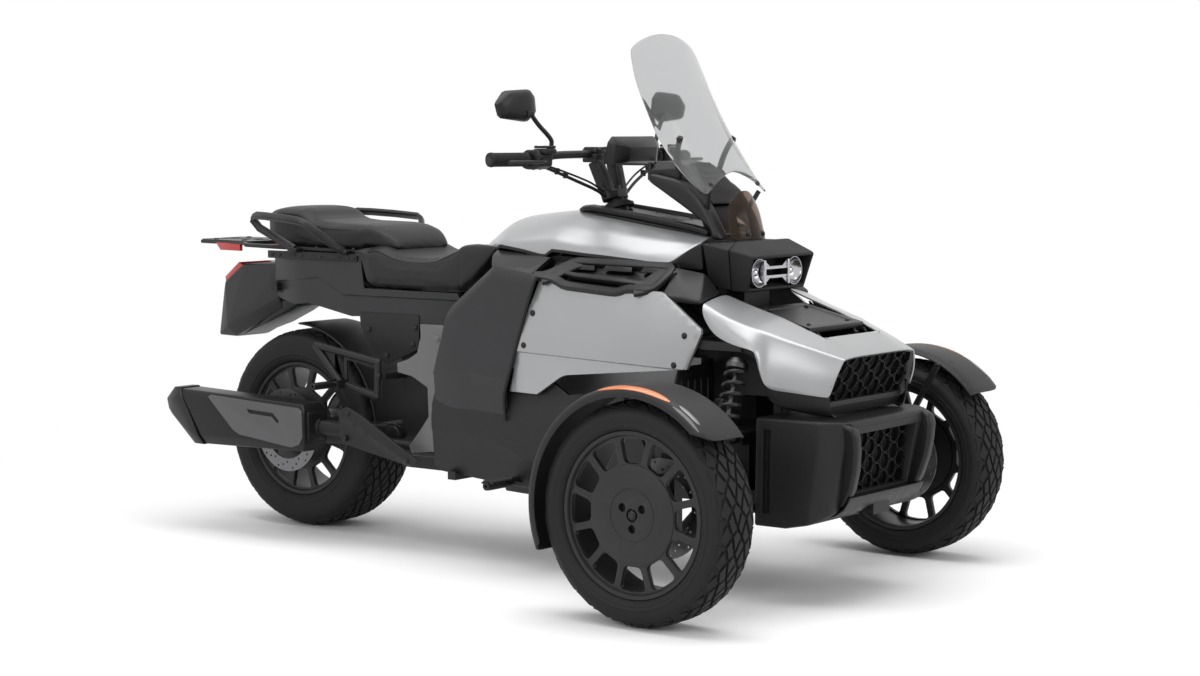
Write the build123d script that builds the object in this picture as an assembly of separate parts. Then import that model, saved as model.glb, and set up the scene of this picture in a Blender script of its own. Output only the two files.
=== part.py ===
"""Reverse trike: two steered wheels in front and one belt-driven wheel behind.

Millimetres. X points forward, Y to the rider's left and Z up. The origin is on the ground,
under the middle of the overall length. Pieces ahead of the engine are placed from the front
axle, pieces behind it from the rear axle, and what lies between them stretches.
"""

import math
import os

from build123d import *

# Overall sizes
WHEELBASE = 1709
TRACK = 1272
FRONT_OVERHANG = 330
REAR_OVERHANG = 431
OVERALL_LENGTH = FRONT_OVERHANG + WHEELBASE + REAR_OVERHANG

# Wheels and tyres
FRONT_TYRE_RADIUS = 281
FRONT_TYRE_WIDTH = 165
FRONT_RIM_RADIUS = 208
REAR_TYRE_RADIUS = 303
REAR_TYRE_WIDTH = 225
REAR_RIM_RADIUS = 204
RIM_WALL = 12
SPOKES = 12
SPOKE_WIDTH = 20
SPOKE_DEPTH = 16
RIM_DISC_SHARE = 0.60
HUB_RADIUS = 46
BRAKE_DISC_RADIUS = 128
BRAKE_DISC_THICKNESS = 6

# Front suspension and steering
KINGPIN_INSET = 91
UPRIGHT_WIDTH = 34
LOWER_JOINT_DROP = 83
UPPER_JOINT_RISE = 127
JOINT_GAP = 8
BALL_JOINT_RADIUS = 22
BALL_JOINT_HEIGHT = 22
KINGPIN_RADIUS = 9
STUB_AXLE_RADIUS = 17
STEERING_ARM_LENGTH = 95
STEERING_ARM_HEIGHT = 24
TIE_ROD_RADIUS = 8
TIE_ROD_EYE_RADIUS = 17
BOOT_RADIUS = 30
BOOT_WALL = 4
BOOT_LENGTH = 100
BULKHEAD_HALF_WIDTH = 160
SPRING_RADIUS = 30
SHOCK_TOP_Y = 262
SHOCK_TOP_Z = 650
FENDER_GAP = 23
FENDER_RISE = 8
FENDER_THICKNESS = 8
FENDER_BEVEL = 18
FENDER_LIP_DROP = 28
FENDER_INNER_REACH = 10
FENDER_OUTER_REACH = 12
FENDER_STAY_ANGLES = (62, 118)
FENDER_STAY_WIDTH = 18
FENDER_STAY_THICKNESS = 12
FENDER_FRONT_ANGLE = 38
FENDER_REAR_ANGLE = 204

# Handlebar
STEERING_LEAN = 20
BAR_RADIUS = 11
GRIP_RADIUS = 17
GRIP_END_Y = 450
GRIP_LENGTH = 128
BAR_HEIGHT = 1133
MIRROR_HALF_WIDTH = 82
MIRROR_HALF_HEIGHT = 44
CABLE_RADIUS = 5

# Bodywork
PANEL_THICKNESS = 12
SHELL_THICKNESS = 8
SIDE_PANEL_HALF_WIDTH = 302
LOWER_COVER_HALF_WIDTH = 282
TANK_HALF_WIDTH = 205
HOOD_HALF_WIDTH = 290
LID_HALF_WIDTH = 133
LID_THICKNESS = 16
BUMPER_HALF_WIDTH = 255
TUB_HALF_WIDTH = 118
TUB_WALL = 4
WINDSHIELD_THICKNESS = 5
WINDSHIELD_BULGE_RADIUS = 520
WINDSHIELD_SLOPE = 58
HEADLAMP_RADIUS = 36
HEADLAMP_SPACING = 176

# Frame
RAIL_HALF_SPACING = 120
RAIL_WIDTH = 36
RAIL_BOTTOM = 226
RAIL_HEIGHT = 50
UPPER_RAIL_BOTTOM = 610
UPPER_RAIL_HEIGHT = 30

# Rear end
SWINGARM_INSIDE = 160
SWINGARM_WIDTH = 34
SWINGARM_HEIGHT = 60
REAR_AXLE_RADIUS = 14
PULLEY_RADIUS = 98
SPROCKET_RADIUS = 40
BELT_WIDTH = 26
BELT_THICKNESS = 6
SPROCKET_FORWARD = 560
SPROCKET_HEIGHT = 332
HUGGER_GAP = 16
HUGGER_FRONT_ANGLE = 4
HUGGER_REAR_ANGLE = 118
SEAT_HALF_WIDTH = 172
PILLION_HALF_WIDTH = 140
TAIL_HALF_WIDTH = 152
MUFFLER_INSIDE = 240
MUFFLER_OUTSIDE = 345
PIPE_RADIUS = 24
GRAB_TUBE_RADIUS = 13
RACK_THICKNESS = 14
RACK_BOLT_RADIUS = 4.5
RACK_BOLT_LENGTH_SPACING = 120
RACK_BOLT_WIDTH_SPACING = 140

# Clearances
SKIN_GAP = 0.3
PIN_GAP = 0.5
RUNNING_GAP = 6

# A ball at a tube's bend, over the tube's own radius
BEND_SHARE = 1.04

# Places that several pieces share
HEAD_X = -570
HEAD_Z = 1004
STEM_RADIUS = 14
STEM_LENGTH = 150
STEM_HOLE_RADIUS = 44
MIRROR_X = -642
MIRROR_Y = 351
MIRROR_Z = 1277
LAMP_POD_BOTTOM = 789
LAMP_Z = 838
BUMPER_WALL_X = 285
GRILLE_HALF_WIDTH = 150
LOW_GRILLE_HALF_WIDTH = 120
LID_FRONT = 146
LID_FRONT_Z = 706
LID_REAR = -34
LID_REAR_Z = 750
LID_PIN_RADIUS = 4
LID_PIN_X = 142
LID_PIN_Z = 680
COWL_HALF_WIDTH = 113
COWL_ARM_WIDTH = 48
DISPLAY_HALF_WIDTH = 112
WINDSHIELD_FOOT_X = -172
WINDSHIELD_FOOT_Z = 1037
WINDSHIELD_BULGE = 27
SEAT_FRONT = 705
SEAT_NOSE = 850
SEAT_NOSE_Z = 892
SEAT_REAR = 286
SEAT_BASE_Z = 748
SEAT_GAP = 6
PILLION_FRONT = 372
PILLION_REAR = -126
TANK_REAR_Y = 60
TANK_FLARE = 882
RACK_TOP = 869
FOOTREST_X = -715
FOOTREST_Z = 250
FOOTREST_END_Y = 400
LOOP_Y = 218
PEG_X = 290
PEG_Z = 470
PEG_PIN_Y = 246
PEG_END_Y = 340
COVER_INSIDE = SIDE_PANEL_HALF_WIDTH - 2 - PANEL_THICKNESS
PANEL_INSIDE = SIDE_PANEL_HALF_WIDTH - PANEL_THICKNESS
LOWER_INSIDE = LOWER_COVER_HALF_WIDTH - PANEL_THICKNESS
TAIL_INSIDE = TAIL_HALF_WIDTH - PANEL_THICKNESS
TANK_BASE_Z = 862
ENGINE_HALF_WIDTH = 136

FRONT_AXLE_X = OVERALL_LENGTH / 2 - FRONT_OVERHANG
REAR_AXLE_X = FRONT_AXLE_X - WHEELBASE
WHEEL_Y = TRACK / 2
FENDER_RADIUS = FRONT_TYRE_RADIUS + FENDER_GAP + FENDER_THICKNESS
FENDER_CENTRE_Z = FRONT_TYRE_RADIUS + FENDER_RISE
KINGPIN_Y = WHEEL_Y - KINGPIN_INSET


def front(x):
    """X of a point given from the front axle."""
    return FRONT_AXLE_X + x


def rear(x):
    """X of a point given from the rear axle."""
    return REAR_AXLE_X + x


def both(shape):
    """A right-hand shape and its mirror image on the left."""
    return [shape, mirror(shape, about=Plane.XZ)]


def paired(points):
    """Points given for one side, with the same points on the other."""
    return [(x, side * y, z) for x, y, z in points for side in (1, -1)]


def hull(points):
    """The convex solid around points."""
    return Part() + ConvexPolyhedron(points)


def slab(outline, y_from, y_to):
    """An outline in X and Z, as a plate from one Y to another."""
    wire = Polyline([(x, y_from, z) for x, z in outline], close=True)
    return extrude(make_face(wire), amount=y_to - y_from, dir=(0, 1, 0))


def block(x_range, y_range, z_range):
    """A box between pairs of limits."""
    size = [high - low for low, high in (x_range, y_range, z_range)]
    middle = [(high + low) / 2 for low, high in (x_range, y_range, z_range)]
    return Pos(*middle) * Box(*size)


def rod(start, end, radius):
    """A round bar between two points."""
    along = Vector(end) - Vector(start)
    place = Plane(origin=start, z_dir=along)
    return place * Cylinder(radius, along.length, align=(Align.CENTER, Align.CENTER, Align.MIN))


def tube_path(points, radius):
    """Round bars from point to point, with a slightly larger ball at each bend."""
    whole = rod(points[0], points[1], radius)
    for start, end in zip(points[1:-1], points[2:]):
        whole += Pos(*start) * Sphere(radius * BEND_SHARE)
        whole += rod(start, end, radius)
    return whole


def spun(profile, centre):
    """A profile of (radius, offset along Y), turned about a Y axis through centre."""
    wire = Polyline([(radius, offset, 0) for radius, offset in profile], close=True)
    return Pos(*centre) * revolve(make_face(wire), axis=Axis.Y)


def disc(radius, y_from, y_to, centre):
    """A round plate about a Y axis, between two offsets from centre."""
    return spun([(0, y_from), (radius, y_from), (radius, y_to), (0, y_to)], centre)


def save(name, *shapes):
    """Write the solids of some shapes as one named piece."""
    solids = [solid for shape in shapes for solid in shape.solids()]
    whole = Compound(solids)
    whole.label = name
    export_step(whole, f"parts/{name}.step")


# Wheels -----------------------------------------------------------------------------------


def tyre(radius, width, rim_radius, centre):
    """A tyre with rounded shoulders, open at the rim."""
    half = width / 2
    crown = 5
    shoulder = 30
    profile = [
        (rim_radius, -half + 14),
        (rim_radius + 18, -half + 4),
        (radius - shoulder - 12, -half),
        (radius - 14, -half + 12),
        (radius - crown, -half + shoulder),
        (radius, 0),
        (radius - crown, half - shoulder),
        (radius - 14, half - 12),
        (radius - shoulder - 12, half),
        (rim_radius + 18, half - 4),
        (rim_radius, half - 14),
    ]
    return spun(profile, centre)


def rim(rim_radius, width, bore_radius, centre, hub_to):
    """A barrel, a flat centre disc and spokes near the right face, and a bored hub.

    hub_to is the offset that the hub reaches on the left of the wheel's middle.
    """
    half = width / 2 - 14
    inner = rim_radius - RIM_WALL
    face = -half + 14
    whole = spun([(inner, -half), (rim_radius, -half), (rim_radius, half), (inner, half)], centre)
    disc_radius = RIM_DISC_SHARE * rim_radius
    whole += disc(disc_radius, face, face + SPOKE_DEPTH, centre)
    spoke_length = inner - disc_radius + 8
    spoke_middle = disc_radius - 4 + spoke_length / 2
    spoke = Pos(spoke_middle, face + SPOKE_DEPTH / 2, 0) * Box(spoke_length, SPOKE_DEPTH, SPOKE_WIDTH)
    for index in range(SPOKES):
        whole += Pos(*centre) * Rot(0, 360 * index / SPOKES, 0) * spoke
    whole += disc(HUB_RADIUS, face, hub_to, centre)
    return whole - disc(bore_radius, face + SPOKE_DEPTH, hub_to + 1, centre)


def front_wheel_centre():
    return (FRONT_AXLE_X, -WHEEL_Y, FRONT_TYRE_RADIUS)


def rear_wheel_centre():
    return (REAR_AXLE_X, 0, REAR_TYRE_RADIUS)


def make_front_wheels():
    centre = front_wheel_centre()
    rubber = tyre(FRONT_TYRE_RADIUS, FRONT_TYRE_WIDTH, FRONT_RIM_RADIUS, centre)
    hub_end = KINGPIN_INSET - UPRIGHT_WIDTH / 2 - RUNNING_GAP
    metal = rim(FRONT_RIM_RADIUS, FRONT_TYRE_WIDTH, STUB_AXLE_RADIUS + PIN_GAP, centre, hub_end)
    brake = spun(
        [
            (HUB_RADIUS - 2, hub_end - BRAKE_DISC_THICKNESS),
            (BRAKE_DISC_RADIUS, hub_end - BRAKE_DISC_THICKNESS),
            (BRAKE_DISC_RADIUS, hub_end),
            (HUB_RADIUS - 2, hub_end),
        ],
        centre,
    )
    metal += brake
    for name, shape in (("tyre_front", rubber), ("rim_front", metal)):
        right, left = both(shape)
        save(name + "_right", right)
        save(name + "_left", left)


def make_rear_wheel():
    centre = rear_wheel_centre()
    rubber = tyre(REAR_TYRE_RADIUS, REAR_TYRE_WIDTH, REAR_RIM_RADIUS, centre)
    hub_end = SWINGARM_INSIDE - RUNNING_GAP
    metal = rim(REAR_RIM_RADIUS, REAR_TYRE_WIDTH, REAR_AXLE_RADIUS + PIN_GAP, centre, hub_end)
    pulley_from = hub_end - BELT_WIDTH - 4
    metal += disc(PULLEY_RADIUS, pulley_from, hub_end, centre)
    metal += disc(HUB_RADIUS, -hub_end, 0, centre)
    metal += disc(BRAKE_DISC_RADIUS, -hub_end, -hub_end + BRAKE_DISC_THICKNESS, centre)
    metal -= disc(REAR_AXLE_RADIUS + PIN_GAP, -hub_end - 1, hub_end + 1, centre)
    save("tyre_rear", rubber)
    save("rim_rear", metal)
    return pulley_from


# Front suspension -------------------------------------------------------------------------


def make_knuckles():
    """Uprights on their ball joints, with the stub axle, steering arm and fender stays."""
    z = FRONT_TYRE_RADIUS
    y_in = -KINGPIN_Y + UPRIGHT_WIDTH / 2
    y_out = -KINGPIN_Y - UPRIGHT_WIDTH / 2
    bottom = z - LOWER_JOINT_DROP + BALL_JOINT_HEIGHT / 2 + JOINT_GAP
    top = z + UPPER_JOINT_RISE - BALL_JOINT_HEIGHT / 2 - JOINT_GAP
    upright = block((front(-28), front(28)), (y_out, y_in), (bottom, top))
    upright += block((front(-52), front(52)), (y_out, y_in), (top - 26, top))
    stub_end = -WHEEL_Y - FRONT_TYRE_WIDTH / 2 + 60
    upright += rod((front(0), y_out, z), (front(0), stub_end, z), STUB_AXLE_RADIUS)
    pin_ends = (bottom - JOINT_GAP - BALL_JOINT_HEIGHT, top + JOINT_GAP + BALL_JOINT_HEIGHT)
    upright += rod(
        (front(0), -KINGPIN_Y, pin_ends[0]), (front(0), -KINGPIN_Y, pin_ends[1]), KINGPIN_RADIUS
    )
    arm_z = z + STEERING_ARM_HEIGHT
    upright += block(
        (front(-STEERING_ARM_LENGTH - 16), front(-20)),
        (-KINGPIN_Y - 16, -KINGPIN_Y + 14),
        (arm_z - 22, arm_z - 10),
    )
    upright += rod(
        (front(-STEERING_ARM_LENGTH), -KINGPIN_Y, arm_z - 12),
        (front(-STEERING_ARM_LENGTH), -KINGPIN_Y, arm_z + 12),
        KINGPIN_RADIUS,
    )
    stay_y = fender_inner_y()
    for angle in FENDER_STAY_ANGLES:
        along = (math.cos(math.radians(angle)), math.sin(math.radians(angle)))
        reach = FENDER_RADIUS - FENDER_THICKNESS / 2
        foot = (front(math.copysign(41, along[0])), top - 12)
        head = (front(reach * along[0]), FENDER_CENTRE_Z + reach * along[1])
        half = FENDER_STAY_WIDTH / 2
        outline = [
            (foot[0] - half, foot[1]),
            (foot[0] + half, foot[1]),
            (head[0] + half, head[1]),
            (head[0] - half, head[1]),
        ]
        upright += slab(outline, stay_y, stay_y + FENDER_STAY_THICKNESS)
    right, left = both(upright)
    save("knuckle_right", right)
    save("knuckle_left", left)


def fender_inner_y():
    """Y of the fender's inner edge on the right."""
    return -WHEEL_Y + FRONT_TYRE_WIDTH / 2 + FENDER_INNER_REACH


def make_fenders():
    """Arched mudguards over the front tyres, with a lip on the outer side."""
    inner = fender_inner_y() - (-WHEEL_Y)
    outer = -FRONT_TYRE_WIDTH / 2 - FENDER_OUTER_REACH
    low = FENDER_RADIUS - FENDER_THICKNESS
    lip = FENDER_RADIUS - FENDER_LIP_DROP
    profile = [
        (low, inner),
        (FENDER_RADIUS, inner),
        (FENDER_RADIUS, outer + FENDER_BEVEL),
        (FENDER_RADIUS - FENDER_BEVEL, outer),
        (lip, outer),
        (lip, outer + FENDER_THICKNESS),
        (low - FENDER_BEVEL, outer + FENDER_THICKNESS),
        (low, outer + FENDER_BEVEL + FENDER_THICKNESS / 2),
    ]
    wire = Polyline([(radius, offset, 0) for radius, offset in profile], close=True)
    sweep_angle = FENDER_REAR_ANGLE - FENDER_FRONT_ANGLE
    arch = revolve(make_face(wire), axis=Axis.Y, revolution_arc=sweep_angle)
    arch = Rot(0, -FENDER_REAR_ANGLE, 0) * arch
    arch = Pos(FRONT_AXLE_X, -WHEEL_Y, FENDER_CENTRE_Z) * arch
    right, left = both(arch)
    save("fender_right", right)
    save("fender_left", left)


def make_wishbones():
    """Lower and upper arms from the bulkhead to the ball joints."""
    z_low = FRONT_TYRE_RADIUS - LOWER_JOINT_DROP
    z_high = FRONT_TYRE_RADIUS + UPPER_JOINT_RISE
    inner_y = -BULKHEAD_HALF_WIDTH
    arms = []
    for z, feet, foot_z in ((z_low, (30, -140), 243), (z_high, (-42, -142), 412)):
        arm = rod(
            (front(0), -KINGPIN_Y, z - BALL_JOINT_HEIGHT / 2),
            (front(0), -KINGPIN_Y, z + BALL_JOINT_HEIGHT / 2),
            BALL_JOINT_RADIUS,
        )
        for foot in feet:
            arm += rod((front(foot), inner_y - 14, foot_z), (front(0), -KINGPIN_Y + 16, z), 12)
            foot_x = (front(foot - 20), front(foot + 20))
            arm += block(foot_x, (inner_y - 30, inner_y), (foot_z - 16, foot_z + 16))
        if z == z_low:
            seat_y = -KINGPIN_Y + 115
            arm += block((front(-10), front(62)), (seat_y - 18, seat_y + 18), (z_low, z_low + 32))
        arm -= rod(
            (front(0), -KINGPIN_Y, z - BALL_JOINT_HEIGHT),
            (front(0), -KINGPIN_Y, z + BALL_JOINT_HEIGHT),
            KINGPIN_RADIUS + PIN_GAP,
        )
        arms += both(arm)
    save("front_wishbones", *arms)


def shock_ends():
    """Lower and upper ends of the right shock."""
    z_low = FRONT_TYRE_RADIUS - LOWER_JOINT_DROP
    low = (front(36), -KINGPIN_Y + 115, z_low + 32)
    high = (front(18), -SHOCK_TOP_Y, SHOCK_TOP_Z)
    return low, high


def make_shocks():
    """Coil-over shocks that lean in from the lower arms to the frame towers."""
    low, high = shock_ends()
    axis = Vector(high) - Vector(low)

    def at(share):
        return tuple(Vector(low) + axis * share)

    shock = rod(at(0.04), at(0.95), 14)
    shock += rod(at(0.06), at(0.34), 22)
    shock += rod(at(0.34), at(0.92), SPRING_RADIUS)
    shock += block((low[0] - 14, low[0] + 14), (low[1] - 16, low[1] + 16), (low[2], low[2] + 30))
    shock += block((high[0] - 18, high[0] + 18), (high[1] - 18, high[1] + 18), (high[2] - 24, high[2]))
    save("front_shocks", *both(shock))


def make_tie_rods():
    """Rods from the steering arms into the rack's rubber boots."""
    z = FRONT_TYRE_RADIUS + STEERING_ARM_HEIGHT
    x = front(-STEERING_ARM_LENGTH)
    inner_end = -BULKHEAD_HALF_WIDTH - BOOT_LENGTH + 20
    eye = rod((x, -KINGPIN_Y, z - 9), (x, -KINGPIN_Y, z + 9), TIE_ROD_EYE_RADIUS)
    eye += rod((x, -KINGPIN_Y, z), (x, inner_end, z), TIE_ROD_RADIUS)
    eye -= rod((x, -KINGPIN_Y, z - 20), (x, -KINGPIN_Y, z + 20), KINGPIN_RADIUS + PIN_GAP)
    right, left = both(eye)
    save("tie_rod_right", right)
    save("tie_rod_left", left)


# Frame and engine -------------------------------------------------------------------------


def pod_bottom(x):
    """Height of the lamp pod's sloping underside, x from the front axle."""
    return LAMP_POD_BOTTOM + (-44 - x) * (800 - LAMP_POD_BOTTOM) / (165 - 44)


def make_frame():
    """Bulkhead with the rack's boots, shock towers, lamp pod post and steering column."""
    rail_top = RAIL_BOTTOM + RAIL_HEIGHT
    w = BULKHEAD_HALF_WIDTH
    high = shock_ends()[1]
    tower_top = high[2] + 22
    tower_y = (-high[1] - 20, -high[1] + 20)
    whole = block((front(-165), front(135)), (-w, w), (RAIL_BOTTOM, rail_top))
    whole += block((front(-165), front(-20)), (-w, w), (rail_top, 430))
    whole += block((front(135), front(BUMPER_WALL_X)), (-40, 40), (RAIL_BOTTOM, rail_top))
    whole += block((front(-160), front(-104)), (-tower_y[1], tower_y[1]), (high[2], tower_top))
    pod_post = [
        (front(-160), high[2]),
        (front(-104), high[2]),
        (front(-104), pod_bottom(-104)),
        (front(-160), pod_bottom(-160)),
    ]
    whole += slab(pod_post, -60, 60)
    for side in (1, -1):
        whole += block((front(-160), front(-104)), rail_span(side), (400, high[2]))
        tower_span = sorted(side * y for y in tower_y)
        whole += block((front(-110), front(36)), tower_span, (high[2], tower_top))
        whole += rod((front(-125), side * 102, 645), steering_point(-90), 16)
    whole += rod(steering_point(-120), steering_point(-8), 30)
    whole -= rod(steering_point(-80), steering_point(0), STEM_RADIUS + PIN_GAP)
    boot_x = front(-STEERING_ARM_LENGTH)
    boot_z = FRONT_TYRE_RADIUS + STEERING_ARM_HEIGHT
    for side in (1, -1):
        end = (boot_x, side * (w + BOOT_LENGTH), boot_z)
        whole += rod((boot_x, side * (w - 2), boot_z), end, BOOT_RADIUS)
        bore_end = (boot_x, side * (w + BOOT_LENGTH + 2), boot_z)
        whole -= rod((boot_x, side * w, boot_z), bore_end, BOOT_RADIUS - BOOT_WALL)
    save("frame", whole)


def rail_span(side):
    """Inner and outer Y of the rails on one side."""
    return sorted((side * (RAIL_HALF_SPACING - RAIL_WIDTH), side * RAIL_HALF_SPACING))


def make_rails():
    """The cradle's two sides, from the bulkhead to the tail, and the bars that join them."""
    rail_top = RAIL_BOTTOM + RAIL_HEIGHT
    upper_top = UPPER_RAIL_BOTTOM + UPPER_RAIL_HEIGHT
    seat_rail_top = SEAT_BASE_Z - SKIN_GAP
    inner = RAIL_HALF_SPACING - RAIL_WIDTH
    seat_rail = [
        (rear(-78), seat_rail_top - 30),
        (rear(-78), seat_rail_top),
        (rear(440), seat_rail_top),
        (rear(545), upper_top),
        (rear(500), upper_top),
        (rear(422), seat_rail_top - 30),
    ]
    pieces = []
    for side in (1, -1):
        span = rail_span(side)
        rail = block((rear(440), front(-165)), span, (RAIL_BOTTOM, rail_top))
        rail += block((rear(440), front(-160)), span, (UPPER_RAIL_BOTTOM, upper_top))
        rail += block((rear(440), rear(545)), span, (RAIL_BOTTOM, upper_top))
        pieces.append(rail + slab(seat_rail, *span))
    cross_z = (seat_rail_top - 24, seat_rail_top)
    for x in (-60, 330):
        limits = (rear(x - 12), rear(x + 12))
        pieces.append(block(limits, (-inner, inner), cross_z))
        for side in (1, -1):
            ends = sorted((side * RAIL_HALF_SPACING, side * TAIL_INSIDE))
            pieces.append(block(limits, ends, cross_z))
    pieces.append(rod((rear(470), -inner, 330), (rear(470), inner, 330), 26))
    save("frame_rails", *pieces)


def make_brackets():
    """Stays from the rails to the side covers, side panels, lower covers and tank cover."""
    upper_top = UPPER_RAIL_BOTTOM + UPPER_RAIL_HEIGHT
    stay_z = (UPPER_RAIL_BOTTOM + 4, UPPER_RAIL_BOTTOM + 26)
    stays = [
        (rear(874), COVER_INSIDE, 12, stay_z),
        (front(-675), COVER_INSIDE, 12, stay_z),
        (front(-435), PANEL_INSIDE, 12, stay_z),
        (front(-235), PANEL_INSIDE, 12, stay_z),
        (rear(760), LOWER_INSIDE, 14, (232, 256)),
        (front(-640), LOWER_INSIDE, 14, (232, 256)),
        (rear(900), TANK_HALF_WIDTH - 14, 12, (TANK_BASE_Z - 22, TANK_BASE_Z)),
        (front(-300), TANK_HALF_WIDTH - 14, 12, (TANK_BASE_Z - 22, TANK_BASE_Z)),
    ]
    pieces = []
    for x, reach, half, z_range in stays:
        pieces += both(block((x - half, x + half), (-reach, -RAIL_HALF_SPACING), z_range))
    for x in (rear(900), front(-300)):
        pieces += both(block((x - 12, x + 12), rail_span(-1), (upper_top, TANK_BASE_Z)))
    save("cover_brackets", *pieces)


def make_engine():
    """One plain block for the engine and gearbox, with its output shaft and sprocket."""
    rail_top = RAIL_BOTTOM + RAIL_HEIGHT
    half = ENGINE_HALF_WIDTH
    sprocket_x = rear(SPROCKET_FORWARD)
    back = rear(SPROCKET_FORWARD + SPROCKET_RADIUS + 14)
    whole = block((back, front(-190)), (-half, half), (rail_top, UPPER_RAIL_BOTTOM))
    gearbox_side = RAIL_HALF_SPACING - RAIL_WIDTH - 4
    gearbox_z = (SPROCKET_HEIGHT - 36, SPROCKET_HEIGHT + 36)
    whole += block((sprocket_x - 12, back), (-60, gearbox_side), gearbox_z)
    belt_y = SWINGARM_INSIDE - RUNNING_GAP - 2 - BELT_WIDTH / 2
    shaft_centre = (sprocket_x, 0, SPROCKET_HEIGHT)
    whole += disc(13, gearbox_side - 4, belt_y - 14, shaft_centre)
    whole += disc(SPROCKET_RADIUS, belt_y - 15, belt_y + 15, shaft_centre)
    save("engine_block", whole)


# Steering ---------------------------------------------------------------------------------


def steering_point(along):
    """A point on the steering axis, a distance above the head of the column."""
    lean = math.radians(STEERING_LEAN)
    return (front(HEAD_X) - along * math.sin(lean), 0, HEAD_Z + along * math.cos(lean))


def bar_path():
    """The right half of the handlebar, from the clamp to the end."""
    clamp = steering_point(STEM_LENGTH)
    return [
        (clamp[0], 0, clamp[2]),
        (clamp[0], -90, clamp[2]),
        (clamp[0] + 6, -230, BAR_HEIGHT + 8),
        (clamp[0] + 2, -(GRIP_END_Y - GRIP_LENGTH), BAR_HEIGHT),
        (clamp[0] - 36, -GRIP_END_Y, BAR_HEIGHT),
    ]


def make_handlebar():
    """The stem, the clamp and the bar."""
    path = bar_path()
    bar = tube_path(path, BAR_RADIUS)
    whole = bar + mirror(bar, about=Plane.XZ)
    whole += rod(steering_point(-76), steering_point(4), STEM_RADIUS)
    whole += rod(steering_point(0), steering_point(STEM_LENGTH - 14), STEM_RADIUS + 10)
    clamp = path[0]
    whole += block((clamp[0] - 26, clamp[0] + 26), (-62, 62), (clamp[2] - 24, clamp[2] + 20))
    save("handlebar", whole)


def cable(points):
    """A control cable on one smooth line through points."""
    line = Spline(*points)
    section = Plane(origin=line @ 0, z_dir=line % 0) * Circle(CABLE_RADIUS)
    return sweep(section, path=line)


def make_hand_controls():
    """Grips, switch housings, levers and their cables around the bar."""
    path = bar_path()
    inner, outer = Vector(path[3]), Vector(path[4])
    along = (outer - inner).normalized()
    grip = rod(inner + along * 8, outer, GRIP_RADIUS)
    switches = block(
        (inner.X - 26, inner.X + 30), (inner.Y - 4, inner.Y + 46), (inner.Z - 26, inner.Z + 24)
    )
    reservoir = block(
        (inner.X + 2, inner.X + 42), (inner.Y + 46, inner.Y + 70), (inner.Z - 4, inner.Z + 34)
    )
    lever_path = [
        (inner.X + 24, inner.Y + 10, inner.Z - 4),
        (inner.X + 52, inner.Y - 10, inner.Z - 6),
        (outer.X + 58, outer.Y + 6, inner.Z - 6),
    ]
    lever = tube_path(lever_path, 6)
    column = steering_point(16)
    cable_route = [
        (inner.X - 6, inner.Y + 36, inner.Z - 14),
        (inner.X - 2, inner.Y + 84, inner.Z - 26),
        (inner.X + 14, inner.Y + 180, inner.Z - 60),
        (column[0] - 4, -STEM_RADIUS - 46, column[2] + 22),
        (column[0], -STEM_RADIUS - 16, column[2]),
    ]
    controls = grip + switches + reservoir + lever + cable(cable_route)
    save("hand_controls", *both(controls - tube_path(path, BAR_RADIUS)))


def make_mirrors():
    """Mirror heads on their stalks."""
    path = bar_path()
    foot = (path[2][0], path[2][1] - 10, path[2][2] + BAR_RADIUS - 1)
    head = (front(MIRROR_X), -MIRROR_Y, MIRROR_Z)
    stalk_path = [
        foot,
        (foot[0] + 4, foot[1] + 2, foot[2] + 30),
        (head[0] + 14, head[1] + 52, head[2] - 30),
        (head[0] + 12, head[1] + 10, head[2] - 6),
    ]
    stalk = tube_path(stalk_path, 7)
    outline = [
        (-1, 0.1),
        (-0.72, -0.62),
        (-0.2, -1),
        (0.5, -0.9),
        (0.95, -0.4),
        (1, 0.5),
        (0.6, 1),
        (-0.5, 0.95),
    ]

    def layer(offset, share):
        """The head's outline at an offset ahead of its middle, drawn in by a share."""
        return [
            (
                head[0] + offset,
                head[1] + u * share * MIRROR_HALF_WIDTH,
                head[2] + v * share * MIRROR_HALF_HEIGHT,
            )
            for u, v in outline
        ]

    mirror_head = hull(layer(14, 0.6) + layer(-2, 1) + layer(-12, 1))
    whole = mirror_head + stalk - tube_path(path, BAR_RADIUS)
    save("mirrors", *both(whole.solids().sort_by(SortBy.VOLUME)[-1]))


# Front bodywork ---------------------------------------------------------------------------


def shrunk(points, wall):
    """Points of a hull moved in from its box by a wall on every side."""
    axes = list(zip(*points))
    middle = [(max(axis) + min(axis)) / 2 for axis in axes]
    share = [1 - 2 * wall / (max(axis) - min(axis)) for axis in axes]
    return [tuple(m + (p - m) * s for p, m, s in zip(point, middle, share)) for point in points]


def make_headlamp_housing():
    """The lamp pod with its recessed face, and the two lamps joined by a bar."""
    points = paired(
        [
            (front(-18), 151, 884),
            (front(-44), 138, LAMP_POD_BOTTOM),
            (front(-180), 153, 918),
            (front(-80), 120, 921),
            (front(-165), 140, 800),
        ]
    )
    recess = block((front(-70), front(20)), (-134, 134), (803, 872))
    save("headlamp_housing", hull(points) - recess)
    lamps = []
    for side in (1, -1):
        y = side * HEADLAMP_SPACING / 2
        lamps.append(rod((front(-70), y, LAMP_Z), (front(-38), y, LAMP_Z), HEADLAMP_RADIUS - 2))
    lamps.append(block((front(-70), front(-44)), (-44, 44), (LAMP_Z - 9, LAMP_Z + 9)))
    save("headlamps", *lamps)


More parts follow.
